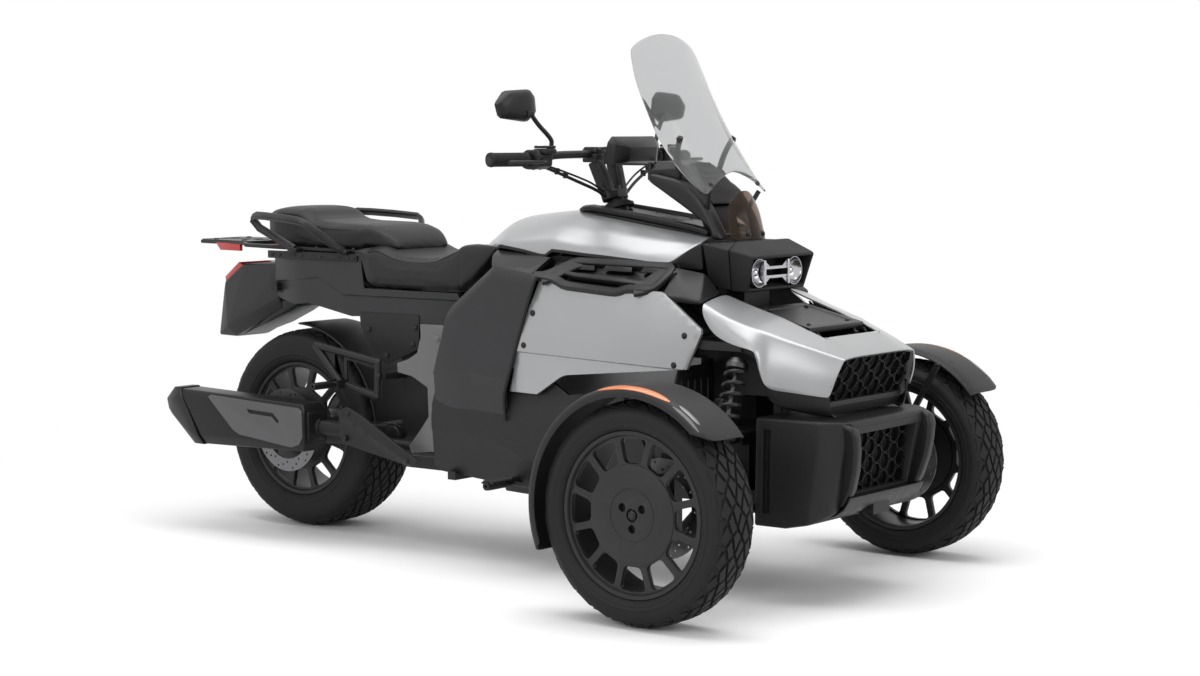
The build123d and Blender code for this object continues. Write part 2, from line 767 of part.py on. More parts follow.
def make_nose():
    """The hood with its wheel arches, and the lid opening, air scoop and grille window."""
    points = paired(
        [
            (front(-102), 262, 764),
            (front(-102), 262, 690),
            (front(-102), 150, 784),
            (front(36), HOOD_HALF_WIDTH, 673),
            (front(45), HOOD_HALF_WIDTH - 2, 600),
            (front(150), 135, 700),
            (front(278), 176, 636),
            (front(267), 205, 573),
            (front(235), 192, 509),
        ]
    )
    shell = hull(points) - hull(shrunk(points, SHELL_THICKNESS))
    arch = [
        (front(-260), 400),
        (front(62), 400),
        (front(62), 596),
        (front(40), 673 + SKIN_GAP),
        (front(-46), 702),
        (front(-140), 748),
        (front(-260), 748),
    ]
    shell -= slab(arch, -HOOD_HALF_WIDTH - 20, HOOD_HALF_WIDTH + 20)
    shell -= block((front(60), front(222)), (-160, 160), (480, 610))
    shell -= block((front(-110), front(-90)), (-240, 240), (700, 770))
    lid_cut = LID_HALF_WIDTH + 2
    shell -= block((front(LID_REAR - 3), front(LID_FRONT + 3)), (-lid_cut, lid_cut), (640, 800))
    shell -= hull(
        paired(
            [
                (front(LID_FRONT - 10), LID_HALF_WIDTH + 4, 650),
                (front(LID_FRONT - 10), LID_HALF_WIDTH + 4, 730),
                (front(LID_FRONT + 40), LID_HALF_WIDTH + 4, 664),
                (front(LID_FRONT + 40), LID_HALF_WIDTH + 4, 730),
                (front(LID_FRONT + 90), 96, 730),
                (front(LID_FRONT + 90), 96, 674),
            ]
        )
    )
    for side in (1, -1):
        shell += block((front(196), front(224)), sorted((side * 197, side * 209)), (482, 560))
    window = [(front(200), 524), (front(240), 616), (front(320), 616), (front(280), 524)]
    shell -= slab(window, -GRILLE_HALF_WIDTH, GRILLE_HALF_WIDTH)
    save("nose_cowl", shell)


def make_grilles():
    """The nose grille and the bumper grille, each a flat plate in its window."""
    nose = [(front(224), 524), (front(257), 616), (front(265), 616), (front(232), 524)]
    low = [(front(296), 288), (front(306), 470), (front(314), 470), (front(304), 288)]
    save(
        "front_grilles",
        slab(nose, -GRILLE_HALF_WIDTH, GRILLE_HALF_WIDTH),
        slab(low, -LOW_GRILLE_HALF_WIDTH, LOW_GRILLE_HALF_WIDTH),
    )


def make_bumper():
    """The lower bumper with its cheeks, open behind and windowed for the grille."""
    half = BUMPER_HALF_WIDTH
    points = paired(
        [
            (front(58), half, 482),
            (front(58), half, 203),
            (front(205), half - 5, 215),
            (front(300), half - 40, 255),
            (front(FRONT_OVERHANG), 198, 451),
            (front(320), 214, 480),
            (front(258), half - 6, 482),
        ]
    )
    whole = hull(points)
    whole -= block((front(40), front(BUMPER_WALL_X)), (-half + 60, half - 60), (RAIL_BOTTOM, 500))
    opening = [(front(270), 288), (front(340), 288), (front(340), 470), (front(270), 470)]
    whole -= slab(opening, -LOW_GRILLE_HALF_WIDTH, LOW_GRILLE_HALF_WIDTH)
    save("bumper", whole)


def tub_outline(wall):
    """Side outline of the storage tub, moved in by a wall."""
    return [
        (front(-104 + wall), 520 + wall),
        (front(138 - wall), 520 + wall),
        (front(138 - wall), 664 if not wall else 700),
        (front(-36), 722 if not wall else 760),
        (front(-104 + wall), 728 if not wall else 760),
    ]


def make_storage():
    """The storage tub, and its lid on two hinge knuckles at the front edge."""
    half = TUB_HALF_WIDTH
    tub = slab(tub_outline(0), -half, half)
    tub -= slab(tub_outline(TUB_WALL), -half + TUB_WALL, half - TUB_WALL)
    pin_x, pin_z = front(LID_PIN_X), LID_PIN_Z
    lid = hull(
        paired(
            [
                (front(LID_FRONT), LID_HALF_WIDTH, LID_FRONT_Z),
                (front(LID_FRONT), LID_HALF_WIDTH - 4, LID_FRONT_Z - LID_THICKNESS),
                (front(LID_REAR), LID_HALF_WIDTH - 8, LID_REAR_Z),
                (front(LID_REAR), LID_HALF_WIDTH - 12, LID_REAR_Z - LID_THICKNESS),
            ]
        )
    )
    for side in (1, -1):
        lug_y = sorted((side * 84, side * 96))
        lug = block((pin_x - 9, pin_x + 2), lug_y, (pin_z - 8, pin_z + 24))
        lid += lug & slab(
            [
                (front(LID_FRONT), pin_z - 8),
                (front(LID_FRONT), LID_FRONT_Z - 2),
                (front(LID_REAR), LID_REAR_Z - 2),
                (front(LID_REAR), pin_z - 8),
            ],
            -LID_HALF_WIDTH,
            LID_HALF_WIDTH,
        )
        tub += rod((pin_x, side * 83, pin_z), (pin_x, side * 110, pin_z), LID_PIN_RADIUS)
        stay_y = sorted((side * 99, side * 110))
        tub += block((front(134), pin_x + 5), stay_y, (pin_z - 24, pin_z + 5))
    for side in (1, -1):
        lid -= rod((pin_x, side * 82, pin_z), (pin_x, side * 111, pin_z), LID_PIN_RADIUS + PIN_GAP)
    save("storage_tub", tub)
    save("storage_lid", lid)


# Cockpit ----------------------------------------------------------------------------------


def arc_points(centre_x, radius, z):
    """Points of an arc in plan, bowed forward, at a height."""
    angles = [math.radians(angle) for angle in range(-45, 46, 9)]
    return [
        (front(centre_x) + radius * math.cos(angle), radius * math.sin(angle), z)
        for angle in angles
    ]


def make_cockpit():
    """The cowl arms on the lamp pod, the smoked deflector, and the instrument screen."""
    arm = [
        (front(-385), 1099),
        (front(-385), 1072),
        (front(-200), 962),
        (front(-178), 953),
        (front(-178), 918.3),
        (front(-142), 919.4),
        (front(-192), 1014),
        (front(-253), 1079),
    ]
    foot_y = -COWL_HALF_WIDTH + COWL_ARM_WIDTH / 2
    strut_path = [
        (front(-300), foot_y, 1078),
        (front(-280), -112, 1150),
        (front(-240), -128, 1215),
    ]
    shield_back = WINDSHIELD_BULGE_RADIUS - WINDSHIELD_THICKNESS - SKIN_GAP
    strut = tube_path(strut_path, 9) & windshield_cylinder(shield_back)
    arm_slab = slab(arm, -COWL_HALF_WIDTH, -COWL_HALF_WIDTH + COWL_ARM_WIDTH)
    save("cockpit_cowl", *both(arm_slab + strut))
    foot_z = 921 + SKIN_GAP
    glass = hull(
        arc_points(-220, 120, foot_z) + arc_points(-222, 104, 1000) + arc_points(-226, 80, 1052)
    )
    glass -= hull(
        arc_points(-221, 116, foot_z - 2) + arc_points(-223, 100, 1000) + arc_points(-227, 76, 1056)
    )
    save("wind_deflector", glass.solids().sort_by(SortBy.VOLUME)[-1])
    screen = slab(
        [(front(-540), 1116), (front(-518), 1196), (front(-500), 1190), (front(-520), 1110)],
        -DISPLAY_HALF_WIDTH,
        DISPLAY_HALF_WIDTH,
    )
    for side in (1, -1):
        arm_y = sorted((side * 78, side * 98))
        screen += block((front(-520), front(-385)), arm_y, (1112, 1124))
        screen += block((front(-397), front(-385)), arm_y, (1076, 1124))
    save("instrument_display", screen)


def windshield_plane():
    """The shield's own plane: X across, Y up its slope, Z out of its face."""
    slope = math.radians(WINDSHIELD_SLOPE)
    return Plane(
        origin=(front(WINDSHIELD_FOOT_X), 0, WINDSHIELD_FOOT_Z),
        x_dir=(0, 1, 0),
        z_dir=(math.sin(slope), 0, math.cos(slope)),
    )


def windshield_cylinder(radius):
    """A long cylinder whose axis runs up the slope behind the shield."""
    plane = windshield_plane()
    depth = WINDSHIELD_BULGE_RADIUS - WINDSHIELD_BULGE
    axis_plane = Plane(
        origin=plane.from_local_coords((0, -100, -depth)), x_dir=(0, 1, 0), z_dir=plane.y_dir
    )
    return axis_plane * Cylinder(radius, 900, align=(Align.CENTER, Align.CENTER, Align.MIN))


def make_windshield():
    """The clear shield, bulged forward."""
    plane = windshield_plane()
    right = [(-124, 0), (-150, 185), (-169, 340), (-160, 410), (-138, 462)]
    left = [(-u, v) for u, v in reversed(right)]
    crown = [(-70, 488), (0, 496), (70, 488)]
    outline = make_face(Polyline(right + crown + left + [(0, 60)], close=True))
    prism = extrude(plane * outline, amount=90, dir=plane.z_dir, both=True)
    outer = windshield_cylinder(WINDSHIELD_BULGE_RADIUS)
    inner = windshield_cylinder(WINDSHIELD_BULGE_RADIUS - WINDSHIELD_THICKNESS)
    save("windshield", (outer - inner) & prism)


# Middle bodywork --------------------------------------------------------------------------


def make_tank():
    """The tank cover, open below, and the dark trim along its top."""
    half = TANK_HALF_WIDTH
    top_rear = (front(-630), 95, 995)
    top_front = (front(-186), 118, 937)
    points = paired(
        [
            (rear(SEAT_FRONT + SEAT_GAP), TANK_REAR_Y, 884),
            (rear(SEAT_FRONT + SEAT_GAP), TANK_REAR_Y, 862),
            (rear(846), 90, 968),
            top_rear,
            top_front,
            (front(-186), 170, 915),
            (front(-186), half - 20, 862),
            (front(-247), half, 862),
            (front(-666), half, 870),
            (rear(TANK_FLARE), half - 4, 893),
            (rear(TANK_FLARE), half - 6, 862),
        ]
    )
    shell = hull(points) - hull(shrunk(points, SHELL_THICKNESS))
    half_inside = half - 26
    shell -= block((rear(SEAT_FRONT + 60), front(-200)), (-half_inside, half_inside), (840, 880))
    stem_hole = rod(steering_point(-160), steering_point(60), STEM_HOLE_RADIUS)
    save("tank_cover", shell - stem_hole)
    trim_height = 12
    trim = hull(
        paired(
            [
                top_rear,
                top_front,
                (top_rear[0] + 4, 80, top_rear[2] + trim_height),
                (top_front[0] - 4, 100, top_front[2] + trim_height),
            ]
        )
    )
    save("tank_trim", trim - stem_hole)


def make_side_bodywork():
    """Side panels, side covers, the dark upper cowl with its rail, and the lower covers."""
    outside = SIDE_PANEL_HALF_WIDTH
    panel = [
        (front(-620), 814),
        (front(-728), 498),
        (front(-632), 496),
        (front(-544), 548),
        (front(-122), 596),
        (front(-77), 697),
        (front(-206), 791),
        (front(-320), 794),
        (front(-536), 809),
    ]
    save("side_panels", *both(slab(panel, -outside, -outside + PANEL_THICKNESS)))
    cover = [
        (front(-626), 814),
        (front(-734), 498),
        (front(-738), 414),
        (rear(716), 430),
        (rear(745), 500),
        (rear(850), 750),
        (rear(852), 814),
    ]
    lower = slab(cover, -outside + 2, -outside + 2 + PANEL_THICKNESS)
    upper_points = [
        (front(-626), -outside + 2, 814),
        (front(-626), -outside + 2 + PANEL_THICKNESS, 814),
        (rear(852), -outside + 2, 814),
        (rear(852), -outside + 2 + PANEL_THICKNESS, 814),
        (front(-626), -TANK_HALF_WIDTH - 16, 858),
        (front(-626), -TANK_HALF_WIDTH - 4, 858),
        (rear(846), -TANK_HALF_WIDTH - 16, 866),
        (rear(846), -TANK_HALF_WIDTH - 4, 866),
    ]
    save("side_covers", *both(lower + hull(upper_points)))
    band = [
        (front(-618), -PANEL_INSIDE, 790),
        (front(-618), -PANEL_INSIDE, 812),
        (front(-618), -PANEL_INSIDE + 12, 790),
        (front(-618), -TANK_HALF_WIDTH - 10, 860),
        (front(-618), -TANK_HALF_WIDTH - 1, 852),
        (front(-206), -PANEL_INSIDE, 770),
        (front(-206), -PANEL_INSIDE, 790),
        (front(-206), -PANEL_INSIDE + 12, 770),
        (front(-206), -TANK_HALF_WIDTH - 10, 858),
        (front(-206), -TANK_HALF_WIDTH - 1, 850),
    ]
    cowl = hull(band)
    slot = [(-272, 816), (-232, 842), (-300, 860), (-260, 886), (-244, 760), (-204, 786)]
    for x in (-580, -450, -320):
        cowl -= hull([(front(x + step), y, z) for step in (0, 96) for y, z in slot])
    cheek = hull(
        [
            (front(-216), -PANEL_INSIDE + 2, 786),
            (front(-216), -PANEL_INSIDE + 12, 772),
            (front(-216), -TANK_HALF_WIDTH - 10, 856),
            (front(-216), -TANK_HALF_WIDTH - 1, 848),
            (front(-150), -PANEL_INSIDE + 10, 780),
            (front(-150), -PANEL_INSIDE + 18, 764),
            (front(-150), -176, 840),
            (front(-150), -160, 820),
            (front(-106), -262, 772),
            (front(-106), -262, 760),
            (front(-106), -164, 786),
        ]
    )
    save("upper_cowl", *both(cowl + cheek))
    lower_cover = [
        (rear(590), 514),
        (rear(640), 420),
        (rear(706), 242),
        (front(-634), 214),
        (front(-470), 300),
        (front(-200), 330),
        (front(-200), 540),
        (front(-540), 500),
        (front(-640), 560),
        (rear(720), 560),
    ]
    out = LOWER_COVER_HALF_WIDTH
    skirt = slab(lower_cover, -out, -out + PANEL_THICKNESS)
    peg_x = front(FOOTREST_X)
    skirt -= rod((peg_x, -out - 5, FOOTREST_Z), (peg_x, -out + 60, FOOTREST_Z), 18)
    splash_plate = block((front(-177), front(-165)), (-285, -100), (290, 600))
    save("lower_covers", *both(skirt), *both(splash_plate))


def make_footrests():
    """Rider's footrests on the cradle, with the brake pedal on the right."""
    x = front(FOOTREST_X)
    peg = rod((x, -RAIL_HALF_SPACING, FOOTREST_Z), (x, -FOOTREST_END_Y, FOOTREST_Z), 14)
    tread_y = (-FOOTREST_END_Y + 4, -FOOTREST_END_Y + 100)
    tread = block((x - 22, x + 22), tread_y, (FOOTREST_Z + 6, FOOTREST_Z + 18))
    right, left = both(peg + tread)
    pedal_path = [
        (x, -296, FOOTREST_Z),
        (x + 60, -300, FOOTREST_Z - 8),
        (x + 150, -330, FOOTREST_Z + 20),
    ]
    pedal = tube_path(pedal_path, 7)
    pedal += block((x + 138, x + 166), (-366, -318), (FOOTREST_Z + 14, FOOTREST_Z + 28))
    save("rider_footrests", right + pedal, left)


# Rear end ---------------------------------------------------------------------------------


def make_swingarm():
    """Two arms from the pivot to the axle, the cross tube, the axle and brake caliper."""
    z = REAR_TYRE_RADIUS
    pivot = (rear(470), 330)
    half = SWINGARM_HEIGHT / 2
    whole = Part()
    for side in (1, -1):
        span = sorted((side * SWINGARM_INSIDE, side * (SWINGARM_INSIDE + SWINGARM_WIDTH)))
        outline = [
            (rear(-50), z - half),
            (rear(60), z - half - 6),
            (pivot[0] + 30, pivot[1] - half),
            (pivot[0] + 30, pivot[1] + half),
            (rear(60), z + half + 6),
            (rear(-50), z + half),
        ]
        whole += slab(outline, *span)
    inside = SWINGARM_INSIDE
    whole += rod((rear(385), -inside, 326), (rear(385), inside, 326), 30)
    whole += rod((REAR_AXLE_X, -inside, z), (REAR_AXLE_X, inside, z), REAR_AXLE_RADIUS)
    whole -= rod((pivot[0], -400, pivot[1]), (pivot[0], 400, pivot[1]), 13)
    whole += rod((pivot[0], -inside - 40, pivot[1]), (pivot[0], -RAIL_HALF_SPACING, pivot[1]), 13)
    whole += rod((pivot[0], inside + 40, pivot[1]), (pivot[0], RAIL_HALF_SPACING, pivot[1]), 13)
    save("swingarm", whole)


def make_hugger():
    """A short guard over the front of the rear tyre, on stays from the swingarm."""
    low = REAR_TYRE_RADIUS + HUGGER_GAP
    high = low + 6
    half = REAR_TYRE_WIDTH / 2 - 6
    wire = Polyline([(low, -half, 0), (high, -half, 0), (high, half, 0), (low, half, 0)], close=True)
    sweep_angle = HUGGER_REAR_ANGLE - HUGGER_FRONT_ANGLE
    arch = revolve(make_face(wire), axis=Axis.Y, revolution_arc=sweep_angle)
    arch = Rot(0, -HUGGER_REAR_ANGLE, 0) * arch
    arch = Pos(REAR_AXLE_X, 0, REAR_TYRE_RADIUS) * arch
    arch += block((rear(314), rear(330)), (-SWINGARM_INSIDE, -half + 4), (338, 350))
    save("rear_hugger", arch)


def make_belt(pulley_from):
    """The drive belt, one closed band around the pulley and the sprocket."""
    gap = PIN_GAP
    big = PULLEY_RADIUS + gap
    small = SPROCKET_RADIUS + gap
    start = Vector(REAR_AXLE_X, 0, REAR_TYRE_RADIUS)
    end = Vector(rear(SPROCKET_FORWARD), 0, SPROCKET_HEIGHT)
    tilt = math.degrees(math.atan2(end.Z - start.Z, end.X - start.X))
    length = (end - start).length
    lean = math.asin((big - small) / length)

    def band(extra):
        a, b = big + extra, small + extra
        s, c = math.sin(lean), math.cos(lean)
        far = length + b * s
        outline = [(a * s, a * c), (far, b * c), (far, -b * c), (a * s, -a * c)]
        wire = Polyline([(x, 0, z) for x, z in outline], close=True)
        straight = extrude(make_face(wire), amount=BELT_WIDTH, dir=(0, 1, 0))
        ends = disc(a, 0, BELT_WIDTH, (0, 0, 0)) + disc(b, 0, BELT_WIDTH, (length, 0, 0))
        return straight + ends

    belt = band(BELT_THICKNESS) - band(0)
    save("drive_belt", Pos(start.X, pulley_from + 2, start.Z) * Rot(0, -tilt, 0) * belt)


def make_seats():
    """The rider's seat, wrapped around the back of the tank, and the pillion seat on it."""
    rider = [
        (rear(SEAT_NOSE), SEAT_NOSE_Z),
        (rear(SEAT_NOSE - 4), SEAT_NOSE_Z - 16),
        (rear(752), 790),
        (rear(690), SEAT_BASE_Z),
        (rear(SEAT_REAR + 28), SEAT_BASE_Z),
        (rear(SEAT_REAR), 846),
        (rear(SEAT_REAR), 862),
        (rear(353), 864),
        (rear(PILLION_FRONT), 874),
        (rear(430), 850),
        (rear(500), 843),
        (rear(600), 846),
        (rear(655), 868),
        (rear(720), 888),
    ]
    base_half = SEAT_HALF_WIDTH
    rider_seat = slab(rider, -base_half, base_half)
    flare_y = TANK_HALF_WIDTH - 4
    clear = SEAT_GAP / math.sin(math.atan2(flare_y - TANK_REAR_Y, TANK_FLARE - SEAT_FRONT - SEAT_GAP))
    notch = [
        (SEAT_FRONT, TANK_REAR_Y),
        (TANK_FLARE - clear, flare_y),
        (TANK_FLARE + 20, flare_y),
    ]
    corners = [(rear(x), side * y) for x, y in notch for side in (1, -1)]
    rider_seat -= hull([(x, y, z) for x, y in corners for z in (700, 950)])
    save("rider_seat", rider_seat)
    pillion = [
        (rear(SEAT_REAR), 846),
        (rear(-40), 846),
        (rear(-105), 880),
        (rear(PILLION_REAR), 905),
        (rear(-118), 950),
        (rear(-80), 974),
        (rear(-16), 980),
        (rear(68), 976),
        (rear(118), 951),
        (rear(190), 944),
        (rear(310), 930),
        (rear(350), 905),
        (rear(PILLION_FRONT), 874),
        (rear(353), 864),
        (rear(SEAT_REAR), 862),
    ]
    half = PILLION_HALF_WIDTH
    plan = [(PILLION_REAR - 1, half - 55), (-60, half), (PILLION_FRONT + 1, half)]
    corners = [(rear(x), side * y) for x, y in plan for side in (1, -1)]
    trim = hull([(x, y, z) for x, y in corners for z in (800, 1000)])
    save("pillion_seat", slab(pillion, -half, half) & trim)


def make_tail():
    """Tail cover sides and deck, rear rack, grab handles, tail fin and lamps."""
    half = TAIL_HALF_WIDTH
    outline = [
        (rear(-92), 826),
        (rear(SEAT_REAR - 6), 826),
        (rear(SEAT_REAR + 18), SEAT_BASE_Z - 6),
        (rear(680), SEAT_BASE_Z - 6),
        (rear(715), 700),
        (rear(685), 655),
        (rear(531), 648),
        (rear(521), 577),
        (rear(397), 527),
        (rear(349), 546),
        (rear(311), 601),
        (rear(297), 636),
        (rear(262), 661),
        (rear(84), 690),
        (rear(22), 684),
        (rear(-92), 702),
    ]
    side = slab(outline, -half, -half + PANEL_THICKNESS)
    deck = block((rear(-92), rear(SEAT_REAR - 9)), (-half, half), (826, 846 - SKIN_GAP))
    right, left = both(side)
    shell = right + left + deck
    shell += block((rear(-92), rear(-80)), (-half, half), (750, 830))
    save("tail_cover", shell)
    fin = hull(
        paired(
            [
                (rear(-92), 96, 800),
                (rear(-92), 96, 702),
                (rear(-198), 94, 569),
                (rear(-366), 78, 566),
                (rear(-331), 84, 735),
                (rear(-240), 92, 790),
            ]
        )
    )
    lamp = hull(
        paired(
            [
                (rear(-331), 84, 735 + SKIN_GAP),
                (rear(-240), 92, 790 + SKIN_GAP),
                (rear(-334), 84, 756),
                (rear(-262), 92, 804),
            ]
        )
    )
    save("tail_fin", fin)
    save("tail_lamps", lamp)
    rack_top = RACK_TOP
    rack_bottom = rack_top - RACK_THICKNESS
    plan = [(-180, 118), (-REAR_OVERHANG, 94)]
    rack = hull(
        [(rear(x), side * y, z) for x, y in plan for side in (1, -1) for z in (rack_bottom, rack_top)]
    )
    for x in (-390, -340, -290, -240):
        rack -= block((rear(x - 12), rear(x + 12)), (-40, 40), (rack_bottom - 1, rack_top + 1))
    for side_sign in (1, -1):
        inner = side_sign * (half - 6)
        span = sorted((inner + side_sign * 14, inner))
        rack += hull(
            [(rear(SEAT_REAR - 12), y, z) for y in span for z in (846, 858)]
            + [(rear(-180), y, z) for y in span for z in (846, rack_top)]
        )
        rack += hull(
            [(rear(-180), y, z) for y in span for z in (846, rack_top)]
            + [(rear(-205), side_sign * y, z) for y in (100, 116) for z in (rack_bottom, rack_top)]
        )
        for x in (-250, -250 - RACK_BOLT_LENGTH_SPACING):
            y = side_sign * RACK_BOLT_WIDTH_SPACING / 2
            rack -= Pos(rear(x), y, rack_top) * Cylinder(RACK_BOLT_RADIUS, 60)
    save("rear_rack", rack)
    grab = tube_path(
        [
            (rear(262), -half - 2, 852),
            (rear(208), -258, 934),
            (rear(-44), -218, 950),
            (rear(-128), -half - 2, 856),
        ],
        GRAB_TUBE_RADIUS,
    )
    grab -= block((rear(-200), rear(300)), (-half - 8, -half + 60), (800, 900))
    save("grab_handles", *both(grab.solids().sort_by(SortBy.VOLUME)[-1]))


def make_muffler():
    """The silencer, its outlet and the pipe from the engine, on the right."""
    y_in, y_out = -MUFFLER_INSIDE, -MUFFLER_OUTSIDE
    mid = 14
    can = hull(
        [
            (rear(x), y, z)
            for x, z in ((-296, 432), (-172, 262), (252, 272), (246, 418))
            for y in (y_in - 10, y_out + 10)
        ]
        + [
            (rear(x), y, z)
            for x, z in ((-280, 400), (-190, 290), (262, 296), (262, 396))
            for y in (y_in, y_out)
        ]
    )
    tip = hull(
        [
            (rear(x), y, z)
            for x, z in ((-280, 428), (-214, 338), (-345, 390), (-318, 352))
            for y in (y_in - mid, y_out + mid)
        ]
    )
    pipe_path = [
        (rear(255), -280, 345),
        (rear(360), -262, 340),
        (rear(470), -225, 300),
        (rear(660), -200, 300),
        (rear(660), -ENGINE_HALF_WIDTH, 300),
    ]
    pipe = tube_path(pipe_path, PIPE_RADIUS)
    whole = can + (tip - can) + pipe
    save("muffler", whole)


def make_peg_brackets():
    """Passenger footrest loops on the frame, and the pegs that fold up on them."""
    points = [(rear(187), 577), (rear(438), 540), (rear(433), 440), (rear(290), 470)]
    loop = [(x, -LOOP_Y, z) for x, z in points]
    bracket = tube_path(loop + [loop[0]], 11)
    bracket += rod((rear(452), -RAIL_HALF_SPACING, 500), (rear(452), -LOOP_Y, 500), 12)
    bracket += rod((rear(452), -LOOP_Y, 500), (rear(436), -LOOP_Y, 500), 12)
    lug_x = rear(PEG_X)
    bracket += block((lug_x - 22, lug_x - 12), (-PEG_PIN_Y - 8, -LOOP_Y), (PEG_Z - 12, PEG_Z + 12))
    bracket += block((lug_x + 12, lug_x + 22), (-PEG_PIN_Y - 8, -LOOP_Y), (PEG_Z - 12, PEG_Z + 12))
    bracket += rod((lug_x - 20, -PEG_PIN_Y, PEG_Z), (lug_x + 20, -PEG_PIN_Y, PEG_Z), 4)
    save("passenger_peg_brackets", *both(bracket))
    peg = rod((lug_x, -PEG_PIN_Y - 6, PEG_Z), (lug_x, -PEG_END_Y, PEG_Z), 11)
    peg += rod((lug_x - 11, -PEG_PIN_Y, PEG_Z), (lug_x + 11, -PEG_PIN_Y, PEG_Z), 9)
    peg -= rod((lug_x - 20, -PEG_PIN_Y, PEG_Z), (lug_x + 20, -PEG_PIN_Y, PEG_Z), 4 + PIN_GAP)
    right, left = both(peg)
    save("passenger_peg_right", right)
    save("passenger_peg_left", left)


os.makedirs("parts", exist_ok=True)
pulley_from = make_rear_wheel()
make_front_wheels()
make_knuckles()
make_fenders()
make_wishbones()
make_shocks()
make_tie_rods()
make_frame()
make_rails()
make_brackets()
make_engine()
make_handlebar()
make_hand_controls()
make_mirrors()
make_headlamp_housing()
make_nose()
make_grilles()
make_bumper()
make_storage()
make_cockpit()
make_windshield()
make_tank()
make_side_bodywork()
make_footrests()
make_swingarm()
make_hugger()
make_belt(pulley_from)
make_seats()
make_tail()
make_muffler()
make_peg_brackets()
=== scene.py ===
"""Looks of a reverse trike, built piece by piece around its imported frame."""

import math

import bmesh
import bpy
from mathutils import Matrix, Vector


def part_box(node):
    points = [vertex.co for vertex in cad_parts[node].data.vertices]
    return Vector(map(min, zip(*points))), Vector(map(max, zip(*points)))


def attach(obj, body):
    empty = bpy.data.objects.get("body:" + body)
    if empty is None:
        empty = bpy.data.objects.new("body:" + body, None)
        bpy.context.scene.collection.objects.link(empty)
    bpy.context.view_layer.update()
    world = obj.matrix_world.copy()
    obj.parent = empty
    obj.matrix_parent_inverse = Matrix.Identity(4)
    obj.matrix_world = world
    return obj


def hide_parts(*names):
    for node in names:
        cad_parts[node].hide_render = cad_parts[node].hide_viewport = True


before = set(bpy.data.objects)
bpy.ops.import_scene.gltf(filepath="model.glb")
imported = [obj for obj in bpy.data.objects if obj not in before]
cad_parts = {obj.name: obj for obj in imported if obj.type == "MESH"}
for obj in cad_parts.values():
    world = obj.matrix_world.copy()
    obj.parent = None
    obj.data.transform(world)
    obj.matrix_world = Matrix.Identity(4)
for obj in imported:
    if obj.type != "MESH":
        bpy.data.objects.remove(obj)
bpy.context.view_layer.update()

# Camera ---
# A standing person's view from ahead and to the right of the machine, a little above its seat,
# through a long lens.

scene = bpy.context.scene
scene.view_settings.view_transform = "Standard"

CAMERA_PLACE = (4.3225, -5.3172, 1.223)
CAMERA_YAW = 127.28
CAMERA_PITCH = -5.07
camera_data = bpy.data.cameras.new("camera")
camera_data.sensor_width = 36
camera_data.lens = 71.78
camera = bpy.data.objects.new("camera", camera_data)
camera.location = CAMERA_PLACE
camera.rotation_euler = (math.radians(90 + CAMERA_PITCH), 0, math.radians(CAMERA_YAW - 90))
scene.collection.objects.link(camera)
scene.camera = camera

# Studio ---
# A pale floor in a white room, lit by a broad overhead panel and two tall soft panels. The
# floor fades to white away from the machine and still takes its shadow.

FLOOR_SIZE = 60
FLOOR_COLOUR = (0.93, 0.93, 0.935, 1)
FADE_FROM = 1.1
FADE_TO = 2.6
ROOM_LIGHT = 0.56


def light_panel(name, place, aim, size, power):
    """A soft rectangular lamp, turned towards a point."""
    data = bpy.data.lights.new(name, "AREA")
    data.shape = "RECTANGLE"
    data.size, data.size_y = size
    data.energy = power
    panel = bpy.data.objects.new(name, data)
    panel.location = place
    away = Vector(aim) - Vector(place)
    panel.rotation_euler = away.to_track_quat("-Z", "Y").to_euler()
    scene.collection.objects.link(panel)


def seen_directly(nodes, links):
    """1 for a camera, glossy or transmission ray, and 0 for any other."""
    path = nodes.new("ShaderNodeLightPath")
    seen = path.outputs["Is Camera Ray"]
    for kind in ("Is Glossy Ray", "Is Transmission Ray"):
        either = nodes.new("ShaderNodeMath")
        either.operation = "MAXIMUM"
        links.new(seen, either.inputs[0])
        links.new(path.outputs[kind], either.inputs[1])
        seen = either.outputs[0]
    return seen


light_panel("overhead_panel", (0.3, -0.4, 4.6), (0, 0, 0.4), (5.5, 3.4), 190)
light_panel("side_panel", (0.6, -5.6, 2.9), (0, 0, 0.5), (5.0, 2.2), 105)
light_panel("front_panel", (5.6, 1.4, 2.6), (0.4, 0, 0.5), (3.0, 2.2), 60)

floor_mesh = bpy.data.meshes.new("floor")
floor_bm = bmesh.new()
bmesh.ops.create_grid(floor_bm, x_segments=1, y_segments=1, size=FLOOR_SIZE / 2)
floor_bm.to_mesh(floor_mesh)
floor_bm.free()
floor = bpy.data.objects.new("floor", floor_mesh)
scene.collection.objects.link(floor)

floor_paint = bpy.data.materials.new("floor_paint")
floor_paint.use_nodes = True
nodes, links = floor_paint.node_tree.nodes, floor_paint.node_tree.links
matt_floor = nodes["Principled BSDF"]
matt_floor.inputs["Roughness"].default_value = 0.9
matt_floor.inputs["Specular IOR Level"].default_value = 0.1
matt_floor.inputs["Base Color"].default_value = FLOOR_COLOUR
distance = nodes.new("ShaderNodeVectorMath")
distance.operation = "LENGTH"
links.new(nodes.new("ShaderNodeTexCoord").outputs["Object"], distance.inputs[0])
fade = nodes.new("ShaderNodeMapRange")
fade.interpolation_type = "SMOOTHSTEP"
fade.inputs["From Min"].default_value = FADE_FROM
fade.inputs["From Max"].default_value = FADE_TO
links.new(distance.outputs["Value"], fade.inputs["Value"])
share = nodes.new("ShaderNodeMath")
share.operation = "MULTIPLY"
links.new(fade.outputs["Result"], share.inputs[0])
links.new(seen_directly(nodes, links), share.inputs[1])
blend = nodes.new("ShaderNodeMixShader")
links.new(share.outputs[0], blend.inputs[0])
links.new(matt_floor.outputs[0], blend.inputs[1])
links.new(nodes.new("ShaderNodeEmission").outputs[0], blend.inputs[2])
